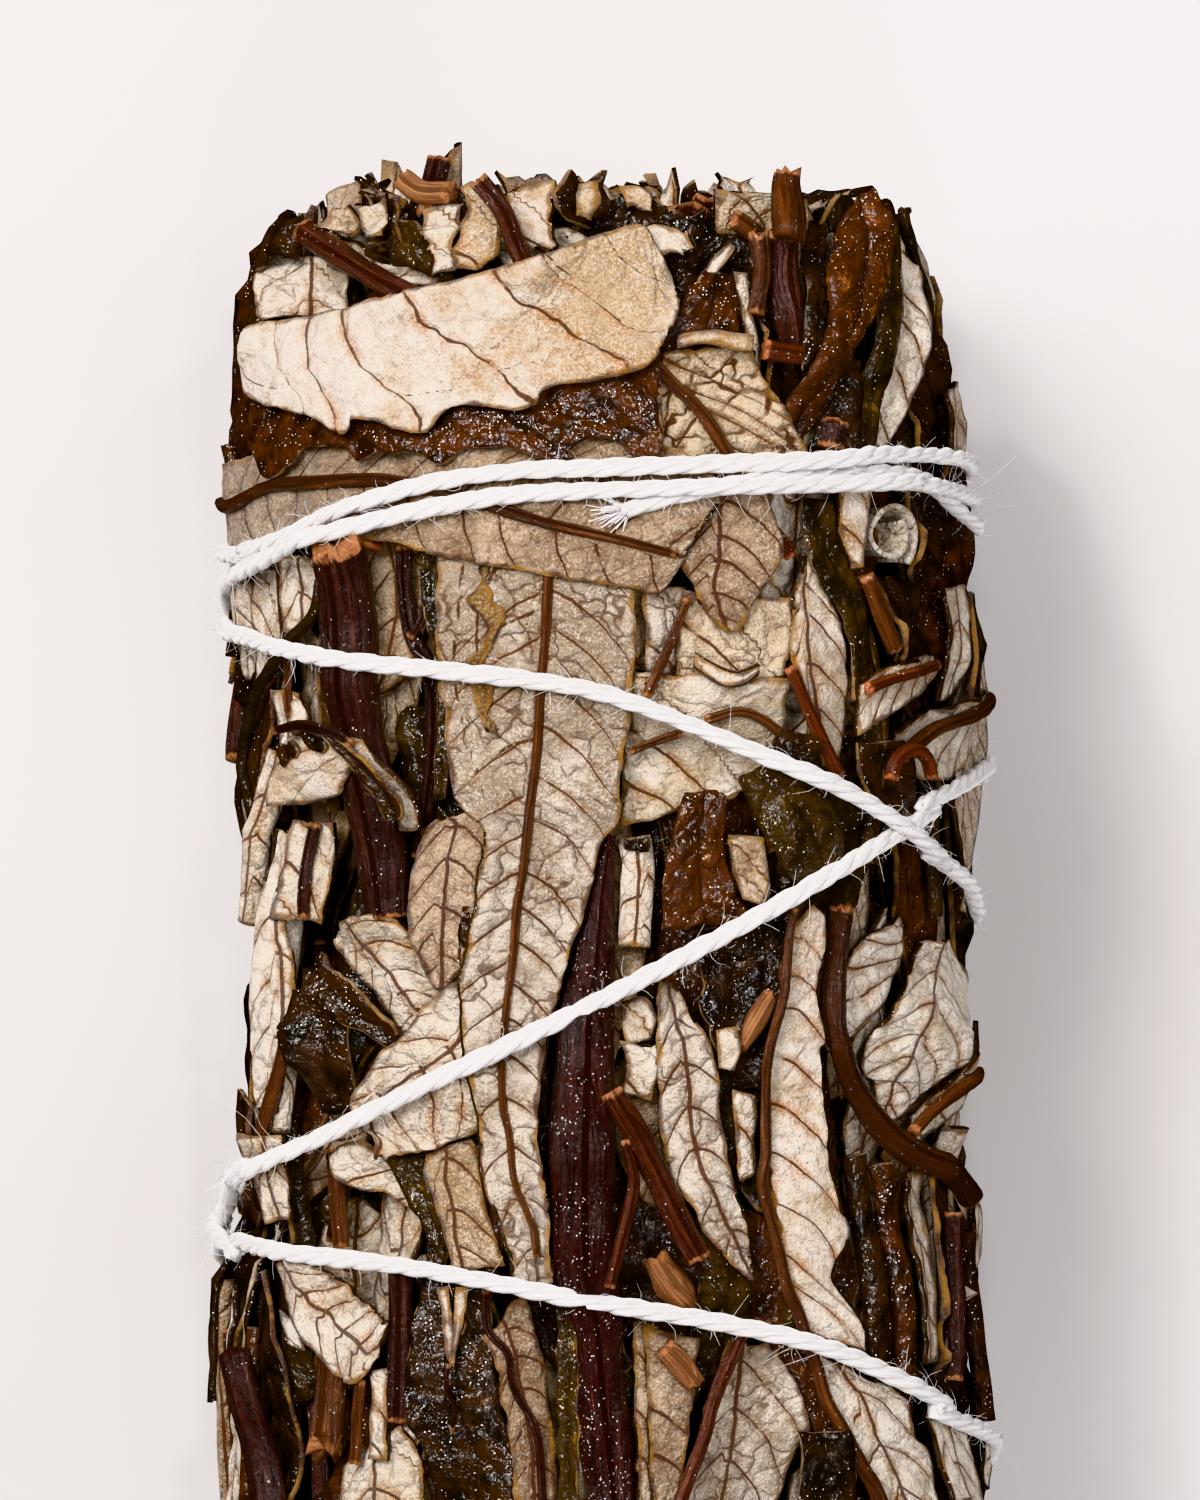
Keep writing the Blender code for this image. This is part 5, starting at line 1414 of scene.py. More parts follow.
def lay_twine():
    """The cotton twine: three plies that turn round each other."""
    rng = np.random.default_rng(3)
    route, rank = twine_route()
    reach = np.array([-0.7, 0, 0.7]) * TWINE_RADIUS
    under = [BED.under(route[:, 0], route[:, 1] + off) for off in reach]
    heights = np.max(under, axis=0) + TWINE_RADIUS * 0.92
    from_knob = np.hypot(beside_top(route[:, 0] - KNOB[0]), route[:, 1] - KNOB[1])
    heights += KNOB_RISE * np.exp(-(from_knob / KNOB_REACH) ** 2)
    for _ in range(4):
        heights = pull_tight(route, heights)
        heights = cross_over(route, rank, heights)
    for width in (2, 1):
        heights = np.maximum(blur(heights, width, 0), heights - 0.05)
    coarse = wrap(route[:, 0], route[:, 1], heights)
    walked = np.concatenate([[0], np.cumsum(np.linalg.norm(np.diff(coarse, axis=0), axis=1))])
    print("twine length", round(walked[-1]), "mm")
    at = np.arange(0, walked[-1], PLY_STEP)
    centres = np.stack([np.interp(at, walked, coarse[:, k]) for k in range(3)], axis=1)
    tangent, side, upward = directions(centres, outward(np.interp(at, walked, route[:, 0])))
    thick = 1 + 0.08 * waves(at, 6.0, rng) + 0.05 * waves(at, 1.7, rng)
    piece = Piece("twine")
    angle = np.linspace(0, 2 * math.pi, PLY_SIDES, endpoint=False)[None]
    for k in range(3):
        turn = 2 * math.pi * (k / 3 + at / TWINE_PITCH) + 0.25 * waves(at, 9.0, rng)
        out = (TWINE_RADIUS - PLY_RADIUS) * thick
        places = centres + out[:, None] * (np.cos(turn)[:, None] * side
                                           + np.sin(turn)[:, None] * upward)
        fluffy = rng.uniform(-1, 1, (len(at), PLY_SIDES))
        across = PLY_RADIUS * thick[:, None] * (1 + 0.05 * fluffy)
        along = pair_up(angle * PLY_RADIUS + k, at[:, None] + angle * 0.5)
        add_rod(piece, places, across, upward, "cotton", along,
                [np.full(PLY_SIDES, 0.3 * k), np.full(PLY_SIDES, 0.25 * k)])
    piece.build("twine", slot="cotton_twine")
    lay_fuzz(centres, tangent, side, upward, rng)


def lay_fuzz(centres, tangent, side, upward, rng):
    """Loose fibres that stand off the twine, and a tuft of them at its cut end."""
    fuzz = Piece("twine_fuzz")
    for _ in range(FIBRES):
        where = rng.integers(4, len(centres) - 4)
        if centres[where, 2] < 6 and rng.uniform() < 0.6:  # there are fewer underneath
            continue
        turn = rng.uniform(0, 2 * math.pi)
        out = np.cos(turn) * side[where] + np.sin(turn) * upward[where]
        length = rng.uniform(0.4, 1.1) if rng.uniform() < 0.9 else rng.uniform(1.1, 2.2)
        lean = unit(tangent[where] * rng.uniform(-1, 1) + out * rng.uniform(0.25, 0.9))
        s = np.linspace(0, 1, 4)[:, None]
        bend = rng.normal(0, 0.45, 3) * length
        path = (centres[where] + out * TWINE_RADIUS * 0.8 + lean * length * s
                + bend * s**2 - lean * length * 0.25 * s**3)
        across = np.repeat(np.linspace(0.014, 0.007, 4)[:, None], 3, axis=1)
        add_rod(fuzz, path, across, np.repeat(upward[where][None], 4, axis=0) + [0, 0, 1e-3],
                "cotton", np.zeros((4, 3, 2)), closed=False)
    end, ahead = centres[0], unit(centres[0] - centres[6])
    for _ in range(TUFT_FIBRES):
        s = np.linspace(0, 1, 6)[:, None]
        spread = rng.normal(0, 0.32, 3)
        length = rng.uniform(0.5, 1.5)
        path = end + spread * 0.7 * TWINE_RADIUS + (ahead * length + spread) * s
        path += rng.normal(0, 0.12, 3) * s**2
        across = np.full((6, 4), 0.026)
        add_rod(fuzz, path, across, np.repeat(upward[:1], 6, axis=0), "cotton",
                np.zeros((6, 4, 2)))
    fuzz.build(slot="cotton_twine")


# ---------------------------------------------------------------- the whole packing

SIDE_LOOKS = {"cream": 3, "grey": 1.2, "beige": 1.5, "tan": 1, "amber": 1.6, "olive": 1.2,
              "dark": 2.2}
HOLLOW_LOOKS = {"dark": 2.5, "amber": 2.5, "olive": 2.5, "cream": 3, "beige": 1.5, "tan": 1}
DEEP_LOOKS = {"dark": 4, "amber": 2, "olive": 1.5, "tan": 1, "beige": 0.7}


def lay_packing():
    """Both ends, and the loose leaves, stems and rolls inside, beside and under the bunch."""
    lay_end("near_end", 95.6, 1, 61)
    lay_end("far_end", 4.4, -1, 62)
    lay_chips("near_chips", 150, 95.2, 1, 63)
    lay_chips("far_chips", 90, 4.4, -1, 64)
    scatter_leaves("packed_leaves", 104, ((0, GIRTH), (4, 96)), DEEP_LOOKS, (18, 34), (5, 8), 2.0, 11,
                   wrinkle=0.15, curls=0.3)
    scatter_stems("packed_stems", 26, ((0, GIRTH), (8, 92)), 12, radii=(0.3, 0.7))
    scatter_leaves("side_leaves_right", 34, ((26, 46), (4, 96)), SIDE_LOOKS, (16, 32), (4, 7.5), 0.8, 13,
                   nodes=("right_side_leaf", "right_flank_leaf"), slot="cream_leaf", wrinkle=0.15,
                   curls=0.6)
    scatter_leaves("under_leaves", 36, ((44, 62), (4, 96)), SIDE_LOOKS, (18, 34), (4.5, 8), 1.0, 14,
                   nodes=("right_under_leaf", "under_leaf", "left_under_leaf"), slot="tan_leaf",
                   wrinkle=0.12, curls=0.35)
    scatter_leaves("side_leaves_left", 34, ((59, 79), (4, 96)), SIDE_LOOKS, (16, 32), (4, 7.5), 0.8, 15,
                   nodes=("left_side_leaf", "left_flank_leaf"), slot="cream_leaf", wrinkle=0.15, curls=0.6)
    scatter_stems("side_stems", 18, ((25, 80), (6, 94)), 17, radii=(0.3, 0.62))
    scatter_rolls("side_rolls", 18, ((25, 80), (6, 94)), 18, SIDE_LOOKS, radii=(0.45, 0.8))
    scatter_leaves("top_side_leaves", 22, ((27, 78), (5, 95)), SIDE_LOOKS, (14, 24), (3.5, 6), 0.66, 21,
                   slot="cream_leaf", wrinkle=0.12, curls=0.5)
    scatter_leaves("low_front_leaves", 34, ((-28, 28), (4, 32)), SIDE_LOOKS, (14, 26), (4, 7), 0.6, 16,
                   slot="cream_leaf", ends=(2.5, 36), wrinkle=0.15, curls=0.6)
    scatter_stems("low_front_stems", 8, ((-25, 25), (6, 28)), 19, radii=(0.4, 0.9), lengths=(10, 24),
                  ends=(3, 34))
    scatter_rolls("low_front_rolls", 8, ((-25, 25), (6, 28)), 20, SIDE_LOOKS, ends=(3, 33),
                  radii=(0.5, 0.9))


# ---------------------------------------------------------------- the top side, piece by piece


def lay_front():
    """The top side, in the order in which its pieces lie on each other."""
    lay_front_hollows()
    lay_front_left()
    lay_front_right()
    lay_front_middle()
    lay_front_low()
    lay_front_top()


def lay_front_hollows():
    """Small dark leaves and strips that fill the hollows between the larger ones."""
    scatter_leaves("deep_front_leaves", 34, ((-27, 27), (32, 94)), DEEP_LOOKS, (12, 24), (4, 6.5), 1.2, 30,
                   curls=0.4, ends=(30, 95), wrinkle=0.2)
    scatter_leaves("hollow_leaves", 46, ((-26, 26), (34, 94)), HOLLOW_LOOKS, (9, 18), (2.5, 5), 0.72, 31,
                   curls=0.6, ends=(30, 95), wrinkle=0.2)
    scatter_rolls("hollow_rolls", 16, ((-24, 24), (36, 90)), 33,
                  {"dark": 3, "amber": 2, "cream": 2, "olive": 1}, lengths=(6, 15), radii=(0.4, 0.8),
                  ends=(32, 94))


def lay_front_left():
    """The left border and the pieces beside it, from the near end to the far one."""
    roll("rolled_leaf_left", "cream", "-17,66.5 -17.3,64 -17.1,61 -16.6,58 -16,55 -16.2,52",
         (1.0, 1.4, 1.3, 0.7), start=2.4, turns=1.1)
    leaf("long_cream_roll_skin", "cream",
         "-16.5,66.5 -17.2,64 -17.8,61 -17.7,58.5 -17.6,56 -17,53.5 -16.4,52.6",
         "-15.3,66 -15.8,63.5 -15.6,61.6 -14.7,59.6 -14.5,58 -14.6,56.5 -15.6,53", rib=0.82, hem=(0.3, 0),
         hem_look="dark", dome=0.5, spacing=2.8)
    stem("rib_stem", "-14.4,57 -15,55 -16.2,52", 0.35, "brown_bark")
    leaf("border_purple_leaf", "dark", "-24.5,73 -25,70 -24.5,66.4",
         "-18.6,74.4 -20.6,71.9 -22,70.1 -22.8,67.6", wrinkle=0.3, tone=0.6)
    leaf("border_cream_edge", "cream", "-24,78.8 -23.8,76.4 -23.2,73.7",
         "-20.2,78.6 -19.7,76.1 -20.6,73.9", spacing=1.8, curl=(0.4, 0.2))
    roll("border_cream_roll", "cream", "-16.7,70.3 -17.1,68.4 -17.5,66.6 -18.2,64.4 -18.9,62",
         (0.8, 0.95, 0.8), turns=1.1, start=2.4)
    leaf("border_olive_leaf", "olive", "-22.4,70 -22.8,66 -22,61.5", "-19.9,70.5 -19.9,66.6 -20.8,62.6",
         spacing=0)
    leaf("border_brown_leaf", "dark", "-19.2,74 -19.6,71 -18.6,68", "-16.9,73 -17.2,71 -17.4,69",
         curl=(0.5, 0.3))
    leaf("border_cream_1", "cream", "-16.6,73.2 -16.4,71.5 -16,69.8", "-15,73 -14.8,71.5 -15.2,70")
    scrap("border_cream_2", "cream", "-19.5,79.2 -19.6,77.2 -18.8,75.4 -18.2,73",
          "-16.7,79.2 -16.3,76.7 -16.3,74.5 -17.1,72.8", hem=(0, 0.25), spacing=2.0)
    stem("border_red_stem", "-16.6,79.3 -16.2,76.7 -15.6,74.5 -15.3,71.9", 0.2, "brown_bark", sides=8)
    leaf("left_neck_leaf", "cream", "-16.2,79.6 -16,77.6 -15.6,75.8", "-13.2,79.6 -13.4,77.8 -14.3,76",
         rib="-14.9,79.5 -14.6,77 -14.5,75.5", hem=(0, 0.3), spacing=1.8)
    stem("border_olive_stem",
         "-13.3,78.4 -13.7,76.7 -15.3,75.4 -16.8,73.7 -18.7,71.4 -19.5,69.3 -19.5,66.6 -20.4,63",
         0.28, "olive_resin")
    stem("dark_stem_end", "-11.4,80.9 -11.5,80", (1.0, 1.25), "orange_bark", ragged=(1.3, 0.3), sides=22,
         step=0.2, stiff=(2, 1))
    stem("dark_stem", "-11.5,79.9 -11.5,77.7 -11.4,74.5 -11.2,71 -10.7,68 -10.3,65 -10,62.3",
         (1.3, 1.32, 1.3, 1.25, 1.2), "dark_bark", step=0.22, sides=26, lift=0.3, ragged=(1.3, 0.4))
    stem("strip_stem", "-9.3,80 -9.2,77.7 -8.8,75.8 -7.9,74 -7.75,71 -8.1,68 -8.6,65.2",
         (0.38, 0.42, 0.36), "dark_bark", tone=-0.6)
    stem("strip_branch", "-8.1,79.8 -8.1,76.8 -8.7,75.6", 0.24, "dark_bark", sides=10)
    leaf("olive_strip", "olive", "-8.3,79.8 -8.1,77 -7.6,74.6 -7.4,71 -7.7,68",
         "-7.5,79.8 -7.4,77 -7,74.6 -6.9,71 -7.1,68", curl=(0.1, 0.0), spacing=0)
    scrap("under_curl_leaf", "cream", "-15.5,67 -15.6,65.1 -16.2,62.3", "-13.2,66.7 -13.1,65.1 -13.7,62",
          hem=(0.2, 0.2), hem_look="dark")
    stem("under_curl_rib", "-14,66.8 -14.3,64.9 -14.4,62.3", 0.3, "dark_bark", sunk=0.3, stiff=(2, 1))
    scrap("curled_leaf", "white", "-15.8,67.6 -15.7,69.3 -15.2,70.4 -14.4,71.2",
          "-11.6,68.2 -11.2,68.8 -10.7,69.7 -10.4,70.4", spacing=2.2, curl=(0.7, 0.2), hem=(0.25, 0.2),
          hem_look="dark", dome=0.9, rough=0.2, wrinkle=0.5, lift=0.3)
    scrap("curled_leaf_tip", "cream", "-14.4,72.6 -14.3,71.9 -14.6,71", "-13.8,72.7 -13.2,71.9 -13.1,71.2",
          spacing=0, rough=0.15)
    leaf("curled_leaf_hole", "dark", "-14.9,70.6 -14.8,70.1 -14.4,69.7",
         "-13.8,70.8 -13.3,70.3 -13.6,69.8", rough=0.2, wrinkle=0.3)
    leaf("curled_leaf_pit", "dark", "-12.9,70.9 -12.7,70.5 -12.4,70.2", "-12,70.9 -11.8,70.5 -11.9,70.1",
         rough=0.2, wrinkle=0.3)
    scrap("curled_leaf_edge", "cream", "-11.5,71 -10.3,69.3 -9.3,67.5 -9,66.6",
          "-10,70.7 -8.9,69.2 -8.15,68.1 -8.1,66.6", spacing=0, curl=(0.2, 0.8), rough=0.12)
    stem("curled_leaf_rim", "-14.3,71.2 -12.8,71.5 -11.2,71.1 -10.4,70.5", (0.22, 0.3, 0.3), "dark_bark",
         sides=10)
    leaf("curled_leaf_inside", "dark", "-11.4,70.9 -10.2,69.3 -9.2,67.5 -8.9,66.7",
         "-10.4,70.6 -9.3,69.2 -8.55,68.1 -8.45,66.9", curl=(0.5, 0.3), rough=0.12)
    leaf("dark_hollow_leaf", "dark", "-14.4,59 -14.6,57 -13.9,53", "-12,59 -11.9,56 -11.8,53", wrinkle=0.4)
    leaf("ribbed_leaf", "cream", "-13.3,61.2 -12.9,60.6 -11.7,59.4 -10.6,58.1 -9.4,56.8",
         "-12.3,62.1 -11.4,62.4 -9.7,62.5 -8.6,61.5 -8,60.4 -7.3,58.9 -8,58 -8.9,57",
         rib="-11.9,62.3 -11,60.8 -9.9,59.5 -9,58.5 -8.2,57.7", spacing=1.9, ridge=0.3)
    leaf("charred_leaf", "dark", "-13.7,59.8 -13.4,58.8 -12.2,57.6 -10.9,56.9 -9.9,56.1",
         "-12.8,60 -11.1,59.3 -10.3,58 -9.5,57 -9.4,56.5", rough=0.16, curl=(0.5, 0.6))
    stem("left_dark_stem", "-14,51.2 -13.6,49 -13.9,46.8", 0.45, "dark_bark")
    stem("left_red_stem", "-12.9,51 -13,49 -12.8,46.6", 0.45, "brown_bark")
    leaf("left_cluster_1", "beige", "-21,54 -21.4,51.5 -20.6,49.5", "-18.6,53.6 -18.8,51.4 -18.4,49.6",
         curl=(0.7, 0.5), rough=0.2)
    leaf("left_cluster_2", "dark", "-18.8,53.6 -19,51 -18.2,48", "-16.4,53 -16.2,51 -16,48",
         curl=(0.6, 0.6), rough=0.2)
    leaf("left_cluster_3", "cream", "-16.6,52 -16.9,50.4 -16.2,47.6", "-14.6,52 -14.7,50.4 -14.6,48",
         rib="-15.6,52 -15.8,50 -15.4,48", curl=(0.4, 0.3))
    scrap("small_cream_leaf", "cream", "-13,51 -12.8,50.3 -12,49.4 -10.8,49.2 -9.3,48.6",
          "-12.6,51.4 -11.4,51.7 -10.6,51.1 -9.9,50 -9.2,48.9", rough=0.16)
    leaf("olive_leaf", "olive", "-10.4,50.9 -9.9,49.9 -9.2,48.6 -8.2,47.1 -7.5,45.9",
         "-8.4,51.2 -8.5,50.2 -8.1,49.2 -7.6,48 -7.1,46.8", spacing=1.6, wrinkle=0.05)
    leaf("stained_leaf", "beige", "-8.4,51.2 -8.3,49.9 -7.6,48.2 -7,46.5 -6.9,45.6",
         "-6.2,51.8 -5.7,51.5 -5.5,50.3 -5,48.5 -4.6,47 -4.2,46",
         rib="-7.2,50.8 -7.2,49.8 -6.8,48.2 -6.5,46.2", spacing=2.0, tone=0.6)


def lay_front_right():
    """Between the main stem and the right border."""
    scrap("grey_neck_leaf", "grey", "2,78.2 2.1,75.5 2.2,73", "3.9,78 4.1,76 4,73")
    scrap("crumpled_tan_leaf", "beige", "3.7,77.6 3.5,75.6 3.7,73.6", "8.7,77.4 8.8,75.6 8.5,73.6",
          wrinkle=0.4, curl=(0.5, 0.4), rough=0.2)
    scrap("arch_leaf", "cream", "1.4,74 1.3,71.5 1.1,69 1,66.6", "8.6,73.5 8.6,71 7.6,69 6.6,68.2",
          spacing=2.2, rough=0.16)
    stem("thin_dark_stem", "3.9,77.4 3.1,75.2 2.1,72.8", 0.24, "brown_bark")
    stem("arch_stem", "4.8,71.7 5.4,71.9 6.4,72.1 7.5,71.7 8.6,70.8", 0.24, "brown_bark")
    stem("short_thin_stem", "1.4,70.2 2.6,70.7 3.8,71.1", 0.2, "brown_bark")
    scrap("crescent_leaf", "cream", "4.2,74.9 5.2,74.2 6.2,74 7,74.4", "4.2,74.2 5.2,73.5 6.3,73.4 7.2,74",
          spacing=0, curl=(0.3, 0.3))
    leaf("pale_leaf", "white", "9.6,79.4 9,78.1 8.8,76.8 8.6,75.2 8.8,73.5 9.7,71.8 10.4,70.3 11.2,69",
         "9.9,79.4 10.6,78.1 11.4,76.3 12,74.8 12.1,73.1 12.2,71.4 11.8,69", rib=0.25, spacing=2.0,
         hem=(0.15, 0), step=0.22, dome=0.3)
    leaf("pale_leaf_hem", "olive", "9.6,82.2 9.5,80 10,78.5 11,77.2 11.7,75.7 12,74.2 12.1,72.6",
         "11.2,82.2 11.5,80 12,79 12.5,77.2 12.9,75.7 12.9,74.2 12.7,72.8", spacing=0, dome=0.4,
         curl=(0.1, 0.2))
    stem("hem_stem", "12.4,78.6 13.4,76.6 14.3,75.1", 0.4, "brown_bark")
    scrap("spotted_leaf", "white", "11.3,82.9 11.2,80.7 11.7,78.9", "13.2,82.9 12.9,80.9 12.3,79")
    stem("lower_rib_stem", "6.9,82.8 7.8,80.8 8.8,79.5", 0.4, "orange_bark", tone=-0.6)
    stem("orange_stem", "8.4,74.2 9.1,72.7 10.1,70.9 11.1,69.1", 0.34, "orange_bark", lift=0.15,
         ragged=(0.8, 0.3))
    make_piece("scroll_leaf", "cream_leaf", lay_scroll, "cream", (14.8, 80.6), 1.8)
    leaf("right_dark_leaf", "dark", "14,78.6 14.3,76.6 14.6,74.6", "20,78.4 19.7,76.7 18.8,74.4",
         curl=(0.4, 0.3), wrinkle=0.45, step=0.25)
    leaf("right_upper_dark_leaf", "dark", "16.6,83 16.8,81 16.4,78.6", "20.6,83 20.8,81 20.2,78.6",
         wrinkle=0.4, curl=(0.3, 0.3))
    scrap("ribbed_right_leaf", "cream", "12.2,70.9 14,72 16.4,73.1 18.4,74.1",
          "12.2,73.4 14,74.3 16,74.8 17.7,74.9", spacing=1.6, curl=(0.2, 0.3))
    stem("ribbed_right_stem", "12.4,73.2 14.6,73.9 17.7,74.4", 0.28, "orange_bark", sunk=0.3, stiff=(2, 1))
    leaf("right_cream_strip", "cream", "20.7,78.2 20.4,75.4 19.4,72.6", "23.6,78.4 22.8,75.8 21.6,72.9",
         curl=(0.3, 0.5))
    leaf("right_olive_strip", "olive", "23.6,78 23,75.6 22,73", "25.6,78 25,75.6 24,73", spacing=0)
    scrap("right_shelf_leaf", "cream", "15.4,70 18,68.8 21,69 24.4,70.6",
          "15.3,71 17.7,72.1 21.2,72.6 24.6,73.2", curl=(0.3, 0.3), spacing=1.9)
    stem("shelf_stem", "15.1,70 17.7,71.3 21.4,72 24.8,72.8", 0.36, "brown_bark", tone=-0.6, sunk=0.3)
    leaf("shelf_gap", "dark", "12.6,70.6 12.8,69.2 13.4,67.4", "15,70.8 16,69.4 16.6,67.6", wrinkle=0.4)
    leaf("black_lump", "dark", "8.2,71 8.3,70.2 8.6,69.4", "9.9,71 10,70.2 9.7,69.4", dome=0.7, rough=0.2)
    roll("tube_leaf", "cream", "1.7,66.2 1.9,64.9 1.85,63.6 1.7,61", (0.85, 0.9, 0.8), turns=1.2,
         start=2.6)
    leaf("tube_mouth", "dark", "1.1,66.3 1.2,65.9 1.3,65.5", "2.4,66.3 2.4,65.9 2.3,65.5", rough=0.15)
    leaf("amber_leaf", "amber", "3.9,68.3 3.4,66.2 3,63.8 2.9,61.8", "5.9,68.3 5.9,66.2 6.3,63.8 6.9,62.2",
         wrinkle=0.35, curl=(0.2, 0.3), step=0.2, dome=0.5)
    scrap("between_leaf", "beige", "6,66.4 6.1,64.9 6.5,63.2", "7.6,66.2 7.9,64.9 7.7,63", wrinkle=0.3)
    leaf("blob_leaf", "olive", "6.6,69 7.3,67 8.1,65.5 9.2,63.7",
         "7.8,69.6 10.4,68.5 11.7,66.8 11.8,64.8 10.3,63.5", dome=1.0, step=0.2, wrinkle=0.3)
    stem("hook_stem", "14,68.9 14.3,69.8 15.3,70.3 16.4,69.9 16.9,69", 0.34, "orange_bark", lift=0.1)
    # right of the main stem, middle part
    scrap("curved_vein_leaf", "cream", "12.3,56.4 12.5,58.7 13.1,60.4 14.1,61.4 16.5,62.3",
          "12.6,56.2 13.8,57 14.9,57.7 16.2,58.7 17.4,60.1 17.5,61.8", spacing=1.7)
    leaf("right_leaf", "cream", "23,61 25,59 24,57 22.5,55.5 20,54.7 17.5,53.3 15.6,52.3",
         "19.5,61 17,59 15.7,57.6 14.5,57 13.7,55.9 13.8,54.9 14.7,54.3 14.7,53.2 15.3,52.6",
         rib="21.5,61 19.5,58.5 17.3,56.2 15.6,54.2", spacing=2.2)
    scrap("right_under_twig_leaf", "cream", "25,54 21,52.6 17.5,51", "24,57 21,55 17.2,52.6")
    stem("thin_brown_stem", "24,54.5 20.5,54 17.6,52.9 16.2,52", 0.35, "brown_bark")
    roll("rolled_leaf_small", "dark", "13,51 13.2,48 13.3,45 13.2,41", (0.6, 0.7, 0.55))
    roll("right_tube", "amber", "14.4,50.5 14.9,46 15.2,42 15.2,40", (0.6, 0.65, 0.6))
    leaf("right_white_strip", "cream", "15.4,50 15.8,46 15.8,41", "17.2,50 17.4,46 17.2,41",
         curl=(0.6, 0.4), spacing=2.8)
    leaf("right_dark_strip", "dark", "17.4,50 17.7,46 17.5,40", "19.4,50 19.6,46 19,40", curl=(0.5, 0.3))
    roll("rolled_leaf_right", "cream", "20.5,52 20.8,46 20.3,41", (0.8, 1.0, 0.8), turns=1.2, start=2.0)
    stem("right_low_stem", "18.6,48 18.4,44 18,40", 0.45, "dark_bark")
    scrap("chip_upper", "cream", "0.8,58.6 0.9,57.4 1,56.4", "2.4,58.5 2.5,57.4 2.3,56.5", rough=0.2)
    scrap("chip_lower", "cream", "0.9,56.7 1,55.3 1,53.9", "2.8,56.6 2.9,55.3 2.6,53.9", rough=0.2)
    leaf("grey_leaf", "grey",
         "2.8,59.4 2.6,57.6 2.5,56.6 2.7,54.4 2.8,51.9 3.3,50 4.2,48.7 4.9,47.3 5.7,46.3 7.1,45.2",
         "3.3,59.5 4.1,58.3 4.9,56.8 5.4,55 5.6,53.2 5.9,51.3 6.3,49.6 6.9,47.7 7.2,45.5", rib=0.5,
         spacing=2.2, step=0.2, hem=(0, 0.15), tone=-0.3)
    leaf("charred_bit", "dark", "4.6,60.4 4.8,58.4 5.2,56.4", "7.6,60.2 7.6,58.4 7,56.2", rough=0.25,
         wrinkle=0.4)
    stem("orange_sliver", "7.9,58.8 7.2,57.6 6.5,56.3", (0.45, 0.5, 0.25), "pale_wood", ragged=(1.2, 1.2))
    scrap("small_chip", "cream", "5.2,57.2 5.3,56.2 5.4,55.2", "6.2,57.3 6.3,56.2 6.1,55.2")
    scrap("under_cream_leaf", "cream", "6.2,54.2 6.3,52 6.4,50", "7.3,54 7.4,52 7.3,50")
    leaf("lower_cream_leaf", "cream", "9.6,42 10.5,39.9 11.5,37.9 12.3,36.3 13.2,34.8 15,31",
         "13.2,40.2 15.4,39.2 15.8,37.5 16.9,36.6 17.3,34.8 18,31", rib=0.4, spacing=2.6, step=0.25)
    leaf("cream_leaf", "white",
         "8.6,61.5 8,58.5 7.6,56 7.5,54 7.5,52 7.6,49.5 7.9,47.5 8.3,45.7 8.8,44 9.4,42.8",
         "10.1,63 10.8,62.4 10.7,60.7 10.2,59.4 10.1,58.2 10.7,56.7 10.3,56.2 10.5,55.1 10.4,53 10.5,50.6 "
         "10.8,49.3 11.4,47.4 10.6,45.2 12.2,43.2 12.7,41.6",
         rib=0.03, step=0.18, lean=1.0, dome=0.35, hem=(0, 0.18),
         stiff=(10, 9, 8, 7, 6, 5, 4, 3, 2, 1))
    stem("crossing_rib_stem",
         "8.9,62.8 8.6,61.4 8.3,59.4 8,58 7.5,55.8 7.4,53.2 7.4,51.3 7.2,50 7.5,48.4 8,46.4 8.3,45 "
         "8.9,43.6 9.3,42.4 9.8,41.2 10.3,39.6 11.3,37.9 12.2,36.3 13.1,34.8 14.5,31",
         (0.2, 0.24, 0.26, 0.3, 0.34, 0.36), "brown_bark", tone=-0.3)
    stem("forked_stem", "12.1,62.8 11.7,59.5 11.5,57 12.2,55 13.8,52.8 15.7,51.1 18.7,49.8 22,48.6",
         (0.62, 0.6, 0.6, 0.66, 0.6), "brown_bark", lift=0.3, step=0.22, sides=18, ragged=(1.1, 0.5),
         tone=-1.2)


# The ribs of the two longest leaves, each drawn on the leaf and laid over it as a stem.
LONG_RIB = ("-2.5,75.4 -2.7,73 -2.9,70 -3.2,67.4 -3.4,65 -3.7,63 -3.9,60.7 -4.2,58.2 -4.4,55.6 "
            "-4.4,53.6 -4.1,52.1 -3.8,49.8 -2.9,47.7 -2.8,46.5")
TAN_RIB = ("-22,82.2 -18,83 -13.3,83.1 -10.3,83.1 -8.7,82.9 -6.5,82.3 -4.3,81.6 -2.5,81 0,80.4 "
           "2,79.9")


